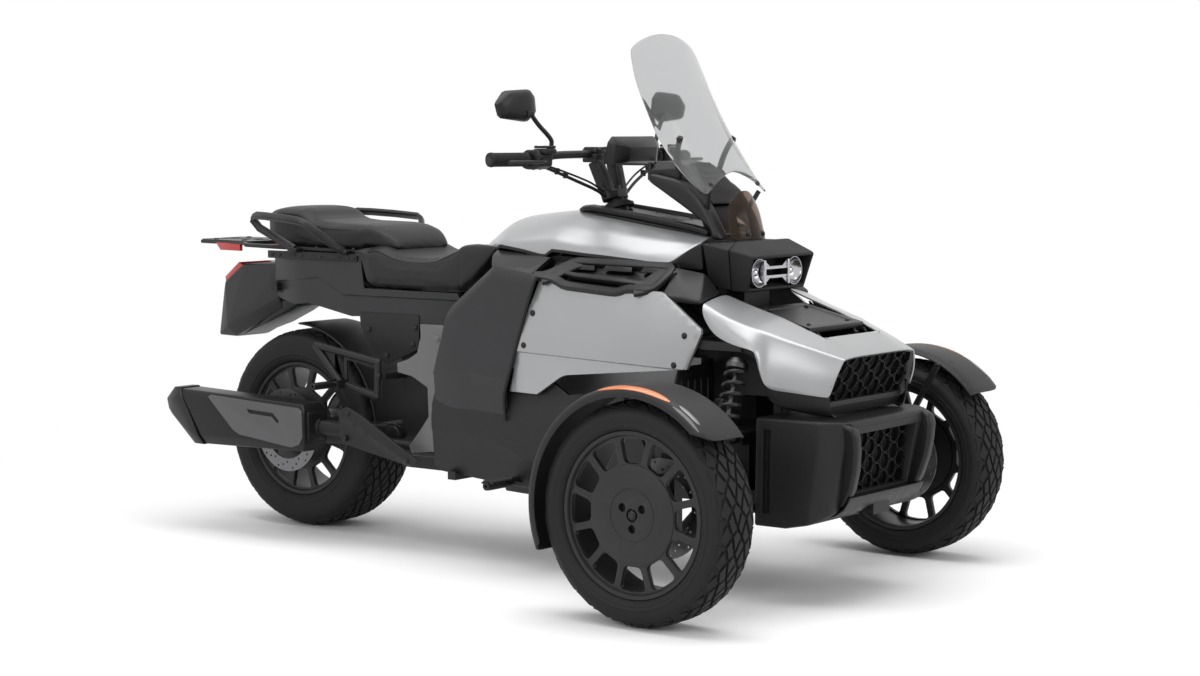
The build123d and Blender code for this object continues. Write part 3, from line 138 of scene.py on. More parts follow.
links.new(blend.outputs[0], nodes["Material Output"].inputs["Surface"])
floor_mesh.materials.append(floor_paint)

room = bpy.data.worlds.new("room")
scene.world = room
room.use_nodes = True
nodes, links = room.node_tree.nodes, room.node_tree.links
walls = nodes["Background"]
walls.inputs["Color"].default_value = (1, 1, 1, 1)
brightness = nodes.new("ShaderNodeMapRange")
brightness.inputs["To Min"].default_value = ROOM_LIGHT
brightness.inputs["To Max"].default_value = 1.0
links.new(seen_directly(nodes, links), brightness.inputs["Value"])
links.new(brightness.outputs["Result"], walls.inputs["Strength"])

# Frame, rails and stays ---
# Welded steel box sections and tubes, shot-blasted and powder coated in satin black. The
# tubes' own shapes are right as they are, so they only take their coat here.


def painted(name, colour, roughness, grain=90, depth=0.0004, metallic=0.0, coat=0.0, drift=0.12):
    """A finish on Object coordinates: a fine grain, uneven gloss and a slight drift of colour."""
    made = bpy.data.materials.new(name)
    made.use_nodes = True
    nodes, links = made.node_tree.nodes, made.node_tree.links
    shader = nodes["Principled BSDF"]
    place = nodes.new("ShaderNodeTexCoord")
    broad, fine = nodes.new("ShaderNodeTexNoise"), nodes.new("ShaderNodeTexNoise")
    tint, gloss = nodes.new("ShaderNodeMix"), nodes.new("ShaderNodeMapRange")
    tint.data_type = "RGBA"
    relief = nodes.new("ShaderNodeBump")
    for node, socket, value in (
        (shader, "Metallic", metallic), (shader, "Coat Weight", coat), (shader, "Coat Roughness", 0.12),
        (shader, "Specular IOR Level", 0.28 if max(colour) < 0.05 else 0.5),
        (broad, "Scale", 5), (broad, "Detail", 4), (fine, "Scale", grain), (fine, "Detail", 6),
        (tint, "A", [channel * (1 - drift) for channel in colour] + [1]),
        (tint, "B", [min(1, channel * (1 + drift)) for channel in colour] + [1]),
        (gloss, "To Min", max(0.02, roughness - 0.06)), (gloss, "To Max", roughness + 0.06),
        (relief, "Strength", 1), (relief, "Distance", depth),
    ):
        node.inputs[socket].default_value = value
    for source, output, target, socket in (
        (place, "Object", broad, "Vector"), (place, "Object", fine, "Vector"),
        (broad, "Fac", tint, "Factor"), (tint, "Result", shader, "Base Color"),
        (broad, "Fac", gloss, "Value"), (gloss, "Result", shader, "Roughness"),
        (fine, "Fac", relief, "Height"), (relief, "Normal", shader, "Normal"),
    ):
        links.new(source.outputs[output], target.inputs[socket])
    return made


def coat_node(name, finish):
    """A frame node keeps its own shape and takes a finish."""
    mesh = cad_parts[name].data
    mesh.materials.clear()
    mesh.materials.append(finish)


frame_black = painted("frame_black", (0.012, 0.012, 0.013), 0.42, grain=260, depth=0.0003)
for name in (
    "frame", "frame_rails", "cover_brackets", "front_wishbones", "passenger_peg_brackets",
    "knuckle_right", "knuckle_left",
):
    coat_node(name, frame_black)

cast_aluminium = painted("cast_aluminium", (0.34, 0.34, 0.35), 0.45, grain=420, depth=0.0006, metallic=0.85)
coat_node("engine_block", cast_aluminium)

# Tyres ---
# Black road tyres with a net of crossing grooves. Each is moulded in one: a smooth carcass
# with ribs round its walls, and rubber blocks that stand up between the grooves.

TREAD_DEPTH = 0.006
GROOVE_HALF = 0.0031


def rubber_finish(name, colour, roughness):
    """Dull rubber with mould marks and a dusting of grey."""
    made = painted(name, colour, roughness, grain=520, depth=0.0004, drift=0.3)
    made.node_tree.nodes["Principled BSDF"].inputs["Specular IOR Level"].default_value = 0.22
    return made


tyre_rubber = rubber_finish("tyre_rubber", (0.0105, 0.0105, 0.011), 0.62)


def to_piece(name, bm, finish, slot="black_plastic", node=None, body="chassis", sharp=32):
    """A bmesh becomes a smooth-shaded piece that rides on a body and may stand for a frame node."""
    mesh = bpy.data.meshes.new(name)
    bm.to_mesh(mesh)
    bm.free()
    mesh.shade_smooth()
    mesh.set_sharp_from_angle(angle=math.radians(sharp))
    mesh.materials.append(finish)
    piece = bpy.data.objects.new(name, mesh)
    scene.collection.objects.link(piece)
    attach(piece, body)
    if node:
        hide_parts(node)
    return piece


def closed_line(bm, points):
    """A ring of corners joined by edges."""
    ring = [bm.verts.new(point) for point in points]
    return ring + [bm.edges.new((ring[i - 1], ring[i])) for i in range(len(ring))]


def turned(bm, profile, steps=96, angle=math.tau):
    """A closed profile of (radius, offset along Y), spun about the Y axis, by a full turn if not told."""
    bmesh.ops.spin(
        bm, geom=closed_line(bm, [(radius, offset, 0) for radius, offset in profile]), cent=(0, 0, 0),
        axis=(0, 1, 0), dvec=(0, 0, 0), angle=angle, steps=steps, use_merge=angle == math.tau,
        use_duplicate=False,
    )


def shift(bm, step):
    bmesh.ops.translate(bm, verts=bm.verts, vec=step)


def inset(bm, faces, width, depth=0.0):
    bmesh.ops.inset_individual(bm, faces=faces, thickness=width, depth=depth, use_even_offset=True)


def outward(bm):
    """Joins doubled corners and turns every face outwards."""
    bmesh.ops.remove_doubles(bm, verts=bm.verts, dist=0.00002)
    bmesh.ops.recalc_face_normals(bm, faces=bm.faces)


def look_away(bm, middle=Vector()):
    """Turns a sheet over if most of it looks towards a point."""
    if sum(face.normal.dot(face.calc_center_median() - middle) for face in bm.faces) < 0:
        bmesh.ops.reverse_faces(bm, faces=bm.faces[:])


def join(bm, other):
    """Adds one bmesh to another and frees it."""
    carrier = bpy.data.meshes.new("carrier")
    other.to_mesh(carrier)
    other.free()
    bm.from_mesh(carrier)
    bpy.data.meshes.remove(carrier)


def box_middle(node):
    low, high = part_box(node)
    return Vector([(a + b) / 2 for a, b in zip(low, high)])


def box_size(node):
    low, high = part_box(node)
    return Vector([b - a for a, b in zip(low, high)])


WALL_LINE = [
    (1, 18), (4, 11.5), (10, 6.5), (12, 5.2), (15, 4), (16.5, 4.5), (22, 3), (23.5, 1.8), (26.5, 1.8),
    (28, 3),
]
SHOULDER_LINE = [(36, 2), (30, 4.2), (22, 8.5), (16.5, 15), (13, 26)]


def tyre_section(radius, half, bead_radius):
    """Radius and offset of a tyre's outer surface, from the bead to the middle of the tread."""
    wall = [(bead_radius + up / 1000, half - inward / 1000) for up, inward in WALL_LINE]
    shoulder = [(radius - down / 1000, half - inward / 1000) for down, inward in SHOULDER_LINE]
    return wall + shoulder + [(radius - 0.0095, half * 0.5), (radius - 0.0085, 0.008)]


def make_tyre(name, node, body, bead_radius, cells_across, cells_round):
    size, centre = box_size(node), box_middle(node)
    radius, half = size.z / 2, size.y / 2
    bm = bmesh.new()
    right = tyre_section(radius, half, bead_radius)
    left = [(r, -y) for r, y in reversed(right)]
    turned(bm, right + left, steps=112)
    outward(bm)
    tread = bmesh.new()
    bmesh.ops.create_grid(tread, x_segments=cells_across, y_segments=cells_round, size=0.5)
    inner_edges = [edge for edge in tread.edges if not edge.is_boundary]
    bmesh.ops.poke(tread, faces=tread.faces[:])
    bmesh.ops.dissolve_edges(tread, edges=inner_edges, use_verts=False)
    reach = half - 0.011
    for vert in tread.verts:
        across, around = vert.co.x * 2, vert.co.y
        turn = math.tau * (around + 0.006 * math.sin(across * 7))
        fall = 0.0045 * across**2 + 0.0125 * max(0, abs(across) - 0.72) / 0.28
        height = radius - TREAD_DEPTH - 0.0012 - fall
        vert.co = (height * math.cos(turn), across * reach, height * math.sin(turn))
    outward(tread)
    look_away(tread)
    blocks = tread.faces[:]
    inset(tread, blocks, GROOVE_HALF)
    inset(tread, blocks, 0.0011, TREAD_DEPTH)
    join(bm, tread)
    shift(bm, centre)
    return to_piece(name, bm, tyre_rubber, "rubber", node, body=body, sharp=28)


FRONT_BEAD = 0.2065
REAR_BEAD = 0.2025
for side in ("right", "left"):
    make_tyre(f"tyre_{side}", f"tyre_front_{side}", f"wheel_front_{side}", FRONT_BEAD, 4, 27)
make_tyre("tyre_driven", "tyre_rear", "wheel_rear", REAR_BEAD, 6, 30)

# Front wheels ---
# Cast aluminium wheels in satin black: a barrel with rolled lips, twelve thin spokes and a
# broad flat centre with three wells for the wheel bolts around the hub nut.

SPOKES = 12
rim_black = painted("rim_black", (0.024, 0.024, 0.0255), 0.38, grain=300, depth=0.00025, metallic=0.25)
disc_steel = painted("disc_steel", (0.17, 0.17, 0.175), 0.34, grain=900, depth=0.0002, metallic=1.0)


def softened(bm, width, segments=2, angle=30):
    """Bevels every edge that turns by more than an angle."""
    limit = math.radians(angle)
    edges = [e for e in bm.edges if len(e.link_faces) == 2 and e.calc_face_angle(0) > limit]
    bmesh.ops.bevel(
        bm, geom=edges, offset=width, offset_type="OFFSET", segments=segments, profile=0.5,
        affect="EDGES", clamp_overlap=True, material=-1,
    )


def on_circle(radius, angle):
    return radius * math.cos(angle), radius * math.sin(angle)


def round_corners(bm, corners, width, segments):
    """Rounds the corners of a flat face, and leaves its outline only."""
    bmesh.ops.bevel(
        bm, geom=corners, offset=width, offset_type="OFFSET", segments=segments, profile=0.5,
        affect="VERTICES", clamp_overlap=True, material=-1,
    )
    bmesh.ops.delete(bm, geom=bm.faces[:], context="FACES_ONLY")


def window(bm, inner, outer, spoke):
    """The outline of one opening between two spokes, in the XZ plane, with round corners."""
    corners = []
    for radius, shares in ((inner, (-1, 1)), (outer, (1, 0.5, 0, -0.5, -1))):
        reach = math.pi / SPOKES - math.asin(spoke / 2 / radius)
        for share in shares:
            x, z = on_circle(radius, reach * share)
            corners.append(bm.verts.new((x, 0, z)))
    bm.faces.new(corners)
    round_corners(bm, corners[:3] + corners[-1:], 0.010, 4)


def ring_edges(bm, radius, segments, centre=(0, 0)):
    """A circle of edges in the XZ plane."""
    place = Matrix.Translation((centre[0], 0, centre[1])) @ Matrix.Rotation(math.pi / 2, 4, "X")
    bmesh.ops.create_circle(bm, cap_ends=False, segments=segments, radius=radius, matrix=place)


def new_verts(made):
    return [item for item in made["geom"] if isinstance(item, bmesh.types.BMVert)]


def thicken(bm, faces, step):
    """Extrudes faces by a step into a closed slab."""
    made = bmesh.ops.extrude_face_region(bm, geom=faces, use_keep_orig=True)
    bmesh.ops.translate(bm, verts=new_verts(made), vec=step)
    outward(bm)


def thick_plate(bm, depth):
    """Fills a flat drawing of loops in the XZ plane and gives it depth towards +Y."""
    filled = bmesh.ops.triangle_fill(bm, use_beauty=True, use_dissolve=True, edges=bm.edges[:])
    faces = [item for item in filled["geom"] if isinstance(item, bmesh.types.BMFace)]
    thicken(bm, faces, (0, depth, 0))


def swap_sides(bm):
    """Turns a right-hand part into a left-hand one."""
    bmesh.ops.scale(bm, verts=bm.verts, vec=(1, -1, 1))
    outward(bm)


def wheel_face(inner, outer, spoke, depth):
    """Spokes between two radii, with their front at Y 0."""
    bm = bmesh.new()
    window(bm, inner + 0.008, outer - 0.007, spoke)
    first = bm.verts[:] + bm.edges[:]
    for index in range(1, SPOKES):
        turn = Matrix.Rotation(math.tau * index / SPOKES, 4, "Y")
        bmesh.ops.transform(bm, matrix=turn, verts=new_verts(bmesh.ops.duplicate(bm, geom=first)))
    ring_edges(bm, inner, 96)
    ring_edges(bm, outer, 96)
    thick_plate(bm, depth)
    softened(bm, 0.0016)
    return bm


def wheel_centre(radius):
    """The flat middle of a wheel with bolt wells, its front at Y 0 and a ring round the wells."""
    bm = bmesh.new()
    ring_edges(bm, radius, 96)
    for well in (30, 150, 270):
        ring_edges(bm, 0.0105, 24, on_circle(0.034, math.radians(well)))
    ring_edges(bm, 0.0165, 32)
    thick_plate(bm, 0.014)
    softened(bm, 0.0015)
    hoop = bmesh.new()
    turned(hoop, [(0.063, 0.002), (0.0645, -0.0012), (0.066, -0.0012), (0.0675, 0.002)], steps=72)
    outward(hoop)
    join(bm, hoop)
    return bm


def hub_nut():
    """A flanged hexagon nut with a round cap, facing -Y."""
    bm = bmesh.new()
    turned(bm, [(0.0005, 0.010), (0.0155, 0.010), (0.0155, 0.006), (0.0005, 0.006)], steps=32)
    hexagon = bmesh.new()
    ring_edges(hexagon, 0.0125, 6)
    thick_plate(hexagon, 0.011)
    softened(hexagon, 0.001)
    shift(hexagon, (0, -0.003, 0))
    join(bm, hexagon)
    cap = bmesh.new()
    turned(cap, [(0.0005, -0.007), (0.006, -0.0065), (0.0085, -0.004), (0.0085, 0), (0.0005, 0)], steps=32)
    join(bm, cap)
    outward(bm)
    return bm


HALF_TRACK = 0.636
LIP_LINE = [(13, 4), (11, 0.6), (2, 0.4), (0.3, 3), (0.6, 12), (4, 16), (5, 34)]


def make_wheel(name, node, body, lip, hub_to, left):
    """A wheel about the CAD rim's place. hub_to is how far the hub reaches behind the middle."""
    centre = box_middle(node)
    centre.y = math.copysign(HALF_TRACK, centre.y) if "front" in node else 0
    half = 0.0685 if "front" in node else 0.0985
    bm = bmesh.new()
    right = [(lip - down / 1000, half - inward / 1000) for down, inward in LIP_LINE]
    outer_side = right + [(radius, -offset) for radius, offset in reversed(right)]
    inner_side = [(lip - 0.015, -half + 0.012), (lip - 0.015, half - 0.012)]
    turned(bm, outer_side + inner_side, steps=112)
    disc_radius = 0.6 * lip
    front = -half + 0.009
    spokes = wheel_face(disc_radius - 0.004, lip - 0.012, 0.019, 0.015)
    for vert in spokes.verts:
        share = (vert.co.xz.length - disc_radius) / (lip - disc_radius)
        vert.co.y += front - 0.004 * (1 - min(1, max(0, share)))
    join(bm, spokes)
    middle = wheel_centre(disc_radius)
    shift(middle, (0, front - 0.006, 0))
    join(bm, middle)
    hub = bmesh.new()
    turned(hub, [
        (0.018, front + 0.009), (disc_radius - 0.01, front + 0.009), (disc_radius - 0.012, front + 0.014),
        (0.060, front + 0.022), (0.046, front + 0.050), (0.044, hub_to), (0.018, hub_to),
    ], steps=64)
    join(bm, hub)
    nut = hub_nut()
    shift(nut, (0, front - 0.003, 0))
    join(bm, nut)
    outward(bm)
    if left:
        swap_sides(bm)
    shift(bm, centre)
    return to_piece(name, bm, rim_black, "rim_black", node, body=body)


def make_brake(name, centre, face_offset, body, outer=0.126, left=False):
    """A drilled steel brake disc, its outer face at an offset from centre."""
    bm = bmesh.new()
    ring_edges(bm, outer, 72)
    ring_edges(bm, 0.088, 48)
    count = 12
    for row, (radius, step) in enumerate(((0.098, 0), (0.108, 0.5), (0.117, 0))):
        for index in range(count):
            ring_edges(bm, 0.0032, 8, on_circle(radius, math.tau * (index + step) / count + row * 0.1))
    thick_plate(bm, 0.005)
    if left:
        swap_sides(bm)
    shift(bm, Vector(centre) + Vector((0, face_offset, 0)))
    return to_piece(name, bm, disc_steel, "metal", body=body)


FRONT_RIM = 0.208
FRONT_HUB_END = 0.068
for side, left in (("right", False), ("left", True)):
    node = f"rim_front_{side}"
    make_wheel(f"wheel_{side}", node, f"wheel_front_{side}", FRONT_RIM, FRONT_HUB_END, left)
    middle = box_middle(f"tyre_front_{side}")
    offset = -(FRONT_HUB_END - 0.0055) if left else FRONT_HUB_END - 0.0055
    make_brake(f"brake_disc_{side}", middle, offset, f"wheel_front_{side}", left=left)

# Rear wheel ---
# The same casting on a wider barrel, with the toothed belt pulley bolted to the left of its
# hub and the brake disc to the right.

REAR_RIM = 0.204
REAR_HUB_END = 0.154
make_wheel("wheel_driven", "rim_rear", "wheel_rear", REAR_RIM, REAR_HUB_END, False)

PULLEY_RADIUS = 0.0975
PULLEY_TEETH = 60
rear_middle = box_middle("tyre_rear")
pulley = bmesh.new()
tooth_line = []
for index in range(PULLEY_TEETH * 4):
    x, z = on_circle(
        PULLEY_RADIUS - (0.003 if index % 4 in (0, 1) else 0), math.tau * index / (PULLEY_TEETH * 4),
    )
    tooth_line.append((x, 0, z))
closed_line(pulley, tooth_line)
ring_edges(pulley, 0.070, 48)
for index in range(6):
    ring_edges(pulley, 0.010, 16, on_circle(0.084, math.tau * index / 6))
thick_plate(pulley, 0.028)
carrier_disc = bmesh.new()
turned(carrier_disc, [(0.044, 0.010), (0.072, 0.010), (0.072, 0.018), (0.044, 0.018)], steps=48)
join(pulley, carrier_disc)
shift(pulley, rear_middle + Vector((0, 0.125, 0)))
to_piece("belt_pulley", pulley, cast_aluminium, "rim_black", body="wheel_rear")

brake_hub = bmesh.new()
turned(brake_hub, [
    (0.018, -0.152), (0.044, -0.152), (0.046, -0.100), (0.060, -0.080), (0.018, -0.080),
], steps=48)
shift(brake_hub, rear_middle)
outward(brake_hub)
to_piece("driven_hub", brake_hub, rim_black, "rim_black", body="wheel_rear")
make_brake("brake_disc_driven", rear_middle, -0.153, "wheel_rear")

# Front brake calipers ---
# Small cast calipers, black anodised, that straddle the discs. Each is bolted to the back of
# its steering upright, so it steers with the wheel but doesn't turn with it.

anodised_black = painted(
    "anodised_black", (0.018, 0.018, 0.019), 0.3, grain=500, depth=0.0002, metallic=0.6,
)


def bolt_head(bm, place, facing, radius=0.006, height=0.004):
    """Adds a domed socket bolt, its axis along facing, to a bmesh."""
    bolt = bmesh.new()
    profile = [
        (0.0004, height), (radius * 0.62, height * 0.94), (radius * 0.92, height * 0.6),
        (radius, height * 0.2), (radius * 1.25, height * 0.15), (radius * 1.25, -height), (0.0004, -height),
    ]
    turned(bolt, profile, steps=16)
    outward(bolt)
    turn = Vector((0, 1, 0)).rotation_difference(Vector(facing)).to_matrix().to_4x4()
    bmesh.ops.transform(bolt, matrix=Matrix.Translation(place) @ turn, verts=bolt.verts)
    join(bm, bolt)


def close_holes(bm):
    bmesh.ops.holes_fill(bm, edges=[edge for edge in bm.edges if edge.is_boundary], sides=0)
    outward(bm)


def swivel(bm, angle, axis):
    bmesh.ops.rotate(bm, verts=bm.verts, cent=(0, 0, 0), matrix=Matrix.Rotation(angle, 3, axis))


CALIPER_ANGLE = 155


def make_caliper(name, centre, offset, body, left):
    """A U of metal over the disc's rim. offset is the disc's middle, inboard of the wheel's."""
    bm = bmesh.new()
    section = [
        (0.092, -0.012), (0.136, -0.012), (0.136, 0.016), (0.092, 0.016), (0.092, 0.0045),
        (0.130, 0.0045), (0.130, -0.0045), (0.092, -0.0045),
    ]
    turned(bm, section, 12, math.radians(48))
    close_holes(bm)
    softened(bm, 0.0022)
    swivel(bm, math.radians(-CALIPER_ANGLE - 24), "Y")
    for step in (-15, 15):
        x, z = on_circle(0.114, math.radians(CALIPER_ANGLE + step))
        bolt_head(bm, Vector((x, -0.0125, z)), (0, -1, 0), 0.008, 0.004)
    if left:
        swap_sides(bm)
    shift(bm, Vector(centre) + Vector((0, offset, 0)))
    return to_piece(name, bm, anodised_black, "metal", body=body)


for side, left in (("right", False), ("left", True)):
    middle = box_middle(f"tyre_front_{side}")
    offset = FRONT_HUB_END - 0.003
    make_caliper(f"caliper_{side}", middle, -offset if left else offset, f"knuckle_{side}_body", left)

# Tie rods ---
# Forged steel rods with ball ends, zinc plated, that run from the rack to each upright's arm.
# The frame's shapes are right for them.

zinc_plate = painted("zinc_plate", (0.30, 0.30, 0.31), 0.4, grain=600, depth=0.0002, metallic=0.9)
for side in ("right", "left"):
    coat_node(f"tie_rod_{side}", zinc_plate)

# Front suspension units ---
# Hydraulic dampers inside black coil springs, each between its lower wishbone and the towers
# of the frame, with an eye at the foot and a cupped spring seat at the top.

SHOCK_FOOT = Vector((0.941, -0.430, 0.230))
SHOCK_HEAD = Vector((0.923, -0.262, 0.650))
COIL_RADIUS = 0.0255
COIL_WIRE = 0.0056
COIL_TURNS = 11
spring_black = painted("spring_black", (0.016, 0.016, 0.017), 0.33, grain=300, depth=0.0002)
damper_steel = painted("damper_steel", (0.07, 0.07, 0.072), 0.34, grain=700, depth=0.0002, metallic=0.9)


def aim_up(bm, foot, head):
    """Stands a shape built up Z from the origin between two points."""
    turn = Vector((0, 0, 1)).rotation_difference(head - foot).to_matrix().to_4x4()
    bmesh.ops.transform(bm, matrix=Matrix.Translation(foot) @ turn, verts=bm.verts)


def lathe_z(bm, profile, steps=32):
    """A closed profile of (radius, height), spun about the Z axis."""
    part = bmesh.new()
    turned(part, profile, steps)
    outward(part)
    swivel(part, math.pi / 2, "X")
    join(bm, part)


shock_length = (SHOCK_HEAD - SHOCK_FOOT).length
coil_foot, coil_head = 0.075, shock_length - 0.055
spring = bmesh.new()
bmesh.ops.create_circle(
    spring, cap_ends=True, segments=10, radius=COIL_WIRE,
    matrix=Matrix.Translation((COIL_RADIUS, 0, coil_foot)) @ Matrix.Rotation(math.pi / 2, 4, "X"),
)
coil_steps = COIL_TURNS * 24
bmesh.ops.spin(
    spring, geom=spring.verts[:] + spring.edges[:] + spring.faces[:], cent=(0, 0, 0), axis=(0, 0, 1),
    dvec=(0, 0, (coil_head - coil_foot) / coil_steps), angle=math.tau * COIL_TURNS,
    steps=coil_steps, use_merge=False, use_duplicate=False,
)
outward(spring)
aim_up(spring, SHOCK_FOOT, SHOCK_HEAD)


def mirrored(bm):
    """Adds the other side's half across the machine's middle plane."""
    bmesh.ops.mirror(bm, geom=bm.verts[:] + bm.edges[:] + bm.faces[:], axis="Y", merge_dist=0)


def to_pair(name, bm, *rest, **more):
    """A right-hand half becomes one piece on both sides."""
    mirrored(bm)
    outward(bm)
    return to_piece(name, bm, *rest, **more)


to_pair("coil_springs", spring, spring_black, "frame_black", "front_shocks")

damper = bmesh.new()
lathe_z(damper, [
    (0.0004, 0.028), (0.0175, 0.028), (0.0185, 0.034), (0.0185, 0.19), (0.017, 0.196), (0.0004, 0.196),
])
lathe_z(damper, [
    (0.0004, 0.19), (0.0065, 0.19), (0.0065, shock_length - 0.03), (0.0004, shock_length - 0.03),
])
lathe_z(damper, [(0.019, 0.058), (0.0292, 0.060), (0.0292, 0.068), (0.022, 0.073), (0.019, 0.073)])
lathe_z(damper, [(radius, shock_length - down) for radius, down in (
    (0.0004, 0.052), (0.022, 0.052), (0.029, 0.048), (0.029, 0.036), (0.02, 0.022), (0.0004, 0.018),
)])
lathe_z(damper, [(0.009, -0.001), (0.0125, 0.002), (0.0125, 0.034), (0.0004, 0.034), (0.0004, -0.001)])
aim_up(damper, SHOCK_FOOT, SHOCK_HEAD)
to_pair("dampers", damper, damper_steel, "metal")

# Front mudguards ---
# Moulded plastic arches with a rounded shoulder and a rolled lip, each bolted to stays on
# its steering upright. An amber marker lies along the crown and a clear lamp strip ahead.

moulded_black = painted("moulded_black", (0.0125, 0.0125, 0.013), 0.46, grain=330, depth=0.0007)
amber_lens = painted("amber_lens", (0.62, 0.15, 0.02), 0.2, grain=160, depth=0.0005, coat=0.6)
clear_lens = painted("clear_lens", (0.15, 0.15, 0.155), 0.16, grain=160, depth=0.0006, coat=0.5)


def skin(bm, rows):
    """A sheet of quads through rows of points."""
    across, along = len(rows[0]) - 1, len(rows) - 1
    grid = bmesh.ops.create_grid(bm, x_segments=across, y_segments=along, size=0.5)
    for vert in grid["verts"]:
        column, row = round((vert.co.x + 0.5) * across), round((vert.co.y + 0.5) * along)
        vert.co = rows[row][column]


def face_out(bm, axis):
    """Turns a sheet over if its furthest face along an axis looks the other way."""
    furthest = max(bm.faces, key=lambda face: getattr(face.calc_center_median(), axis))
    if getattr(furthest.normal, axis) < 0:
        bmesh.ops.reverse_faces(bm, faces=bm.faces[:])


FRONT_AXLE_X = box_middle("tyre_front_right").x
GUARD_HEIGHT = 0.289
GUARD_RADIUS = 0.312
GUARD_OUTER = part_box("fender_right")[0][1]
GUARD_FRONT, GUARD_REAR = 38.5, 203.5
GUARD_SECTION = [
    (0.00, 29.0, 1.0), (0.06, 20.0, 0.4), (0.12, 12.0, 2.2), (0.18, 6.0, 8.0), (0.24, 2.8, 18.0),
    (0.32, 1.0, 33.0), (0.45, 0.2, 62.0), (0.62, 0.0, 96.0), (0.80, 1.0, 130.0), (0.90, 2.4, 148.0),
    (0.96, 6.0, 159.0), (1.00, 12.0, 166.0),
]


def along_table(table, value):
    """A value read from a table of pairs."""
    for (x0, y0), (x1, y1) in zip(table, table[1:]):
        if value <= x1:
            return y0 + (y1 - y0) * (value - x0) / (x1 - x0)
    return table[-1][1]


def guard_point(angle, share, lift=0.0):
    """A point on the mudguard: degrees up from ahead, and share from outer lip 0 to inner 1."""
    drop = along_table([(at, down) for at, down, out in GUARD_SECTION], share) / 1000
    offset = along_table([(at, out) for at, down, out in GUARD_SECTION], share) / 1000
    x, z = on_circle(GUARD_RADIUS - 0.0006 - drop + lift, math.radians(angle))
    return Vector((FRONT_AXLE_X + x, GUARD_OUTER + 0.0006 + offset, GUARD_HEIGHT + z))


for side, left in (("right", False), ("left", True)):
    guard = bmesh.new()
    rows = []
    for step in range(57):
        row = []
        for share, down, out in GUARD_SECTION:
            start = GUARD_FRONT + 9 * max(0, 1 - share / 0.42) ** 2.2
            end = GUARD_REAR - 3.5 * max(0, 1 - share / 0.3) ** 2
            row.append(guard_point(start + (end - start) * step / 56, share))
        rows.append(row)
    skin(guard, rows)
    bmesh.ops.recalc_face_normals(guard, faces=guard.faces)
    face_out(guard, "z")
    bmesh.ops.solidify(guard, geom=guard.faces[:], thickness=0.005)
    outward(guard)
    softened(guard, 0.0015, angle=60)
    for bolt_angle in (62, 118):
        x, z = on_circle(1, math.radians(bolt_angle))
        bolt_head(guard, guard_point(bolt_angle, 0.72), (x, 0, z), 0.0062, 0.0005)
    strips = {"amber": bmesh.new(), "clear": bmesh.new()}
    for kind, first, last, near, far in (
        ("amber", 66, 107, 0.14, 0.26), ("clear", 45, 63, 0.13, 0.185), ("clear", 48, 61.5, 0.215, 0.28),
    ):
        strip = bmesh.new()
        rows = []
        for step in range(19):
            angle = first + (last - first) * step / 18
            half = (far - near) / 2 * (1 - 0.7 * abs(step / 9 - 1) ** 4)
            rows.append([
                guard_point(angle, (near + far) / 2 + half * k, -0.0004 * abs(k) ** 3)
                for k in (-1, -0.5, 0, 0.5, 1)
            ])
        skin(strip, rows)
        bmesh.ops.recalc_face_normals(strip, faces=strip.faces)
        face_out(strip, "z")
        bmesh.ops.inset_region(
            strip, faces=strip.faces[:], thickness=0.0012, depth=0.0012, use_boundary=True,
            use_even_offset=True
        )
        join(strips[kind], strip)
    for bm in (guard, *strips.values()):
        if left:
            bmesh.ops.scale(bm, verts=bm.verts, vec=(1, -1, 1))
            bmesh.ops.recalc_face_normals(bm, faces=bm.faces)
    body = f"knuckle_{side}_body"
    to_piece(f"mudguard_{side}", guard, moulded_black, node=f"fender_{side}", body=body)
    to_piece(f"marker_{side}", strips["amber"], amber_lens, "lamp_red", body=body)
    to_piece(f"lamp_strip_{side}", strips["clear"], clear_lens, "lamp_white", body=body)

# Hood ---
# One moulding in satin silver with a long shoulder crease on each side, drawn in to the grille
# at the front. It is screwed to the frame's stays, and its rear tucks under the lamp pod.

satin_silver = painted(
    "satin_silver", (0.335, 0.34, 0.345), 0.30, grain=1400, depth=0.0001, metallic=0.5, coat=0.2,
    drift=0.04,
)


def ahead(x, y, z):
    """A point given in millimetres, its x from the front axle."""
    return Vector((FRONT_AXLE_X + x / 1000, y / 1000, z / 1000))


def crease(bm, points, weight):
    """Creases the edges that run between neighbouring points of a line."""
    layer = bm.edges.layers.float.get("crease_edge") or bm.edges.layers.float.new("crease_edge")
    for edge in bm.edges:
        if all(any((vert.co - point).length < 0.0001 for point in points) for vert in edge.verts):
            edge[layer] = weight


def rounded(piece, levels=2, thickness=0.0):
    """Subdivides a piece's cage, and gives a sheet its wall afterwards."""
    if levels:
        surface = piece.modifiers.new("surface", "SUBSURF")
        surface.levels = surface.render_levels = levels
    if thickness:
        wall = piece.modifiers.new("wall", "SOLIDIFY")
        wall.thickness = thickness
        wall.offset = -1
        wall.use_even_offset = True
        edge = piece.modifiers.new("edge", "BEVEL")
        edge.width = min(0.0012, thickness * 0.3)
        edge.segments = 2
        edge.limit_method = "ANGLE"
        edge.angle_limit = math.radians(60)


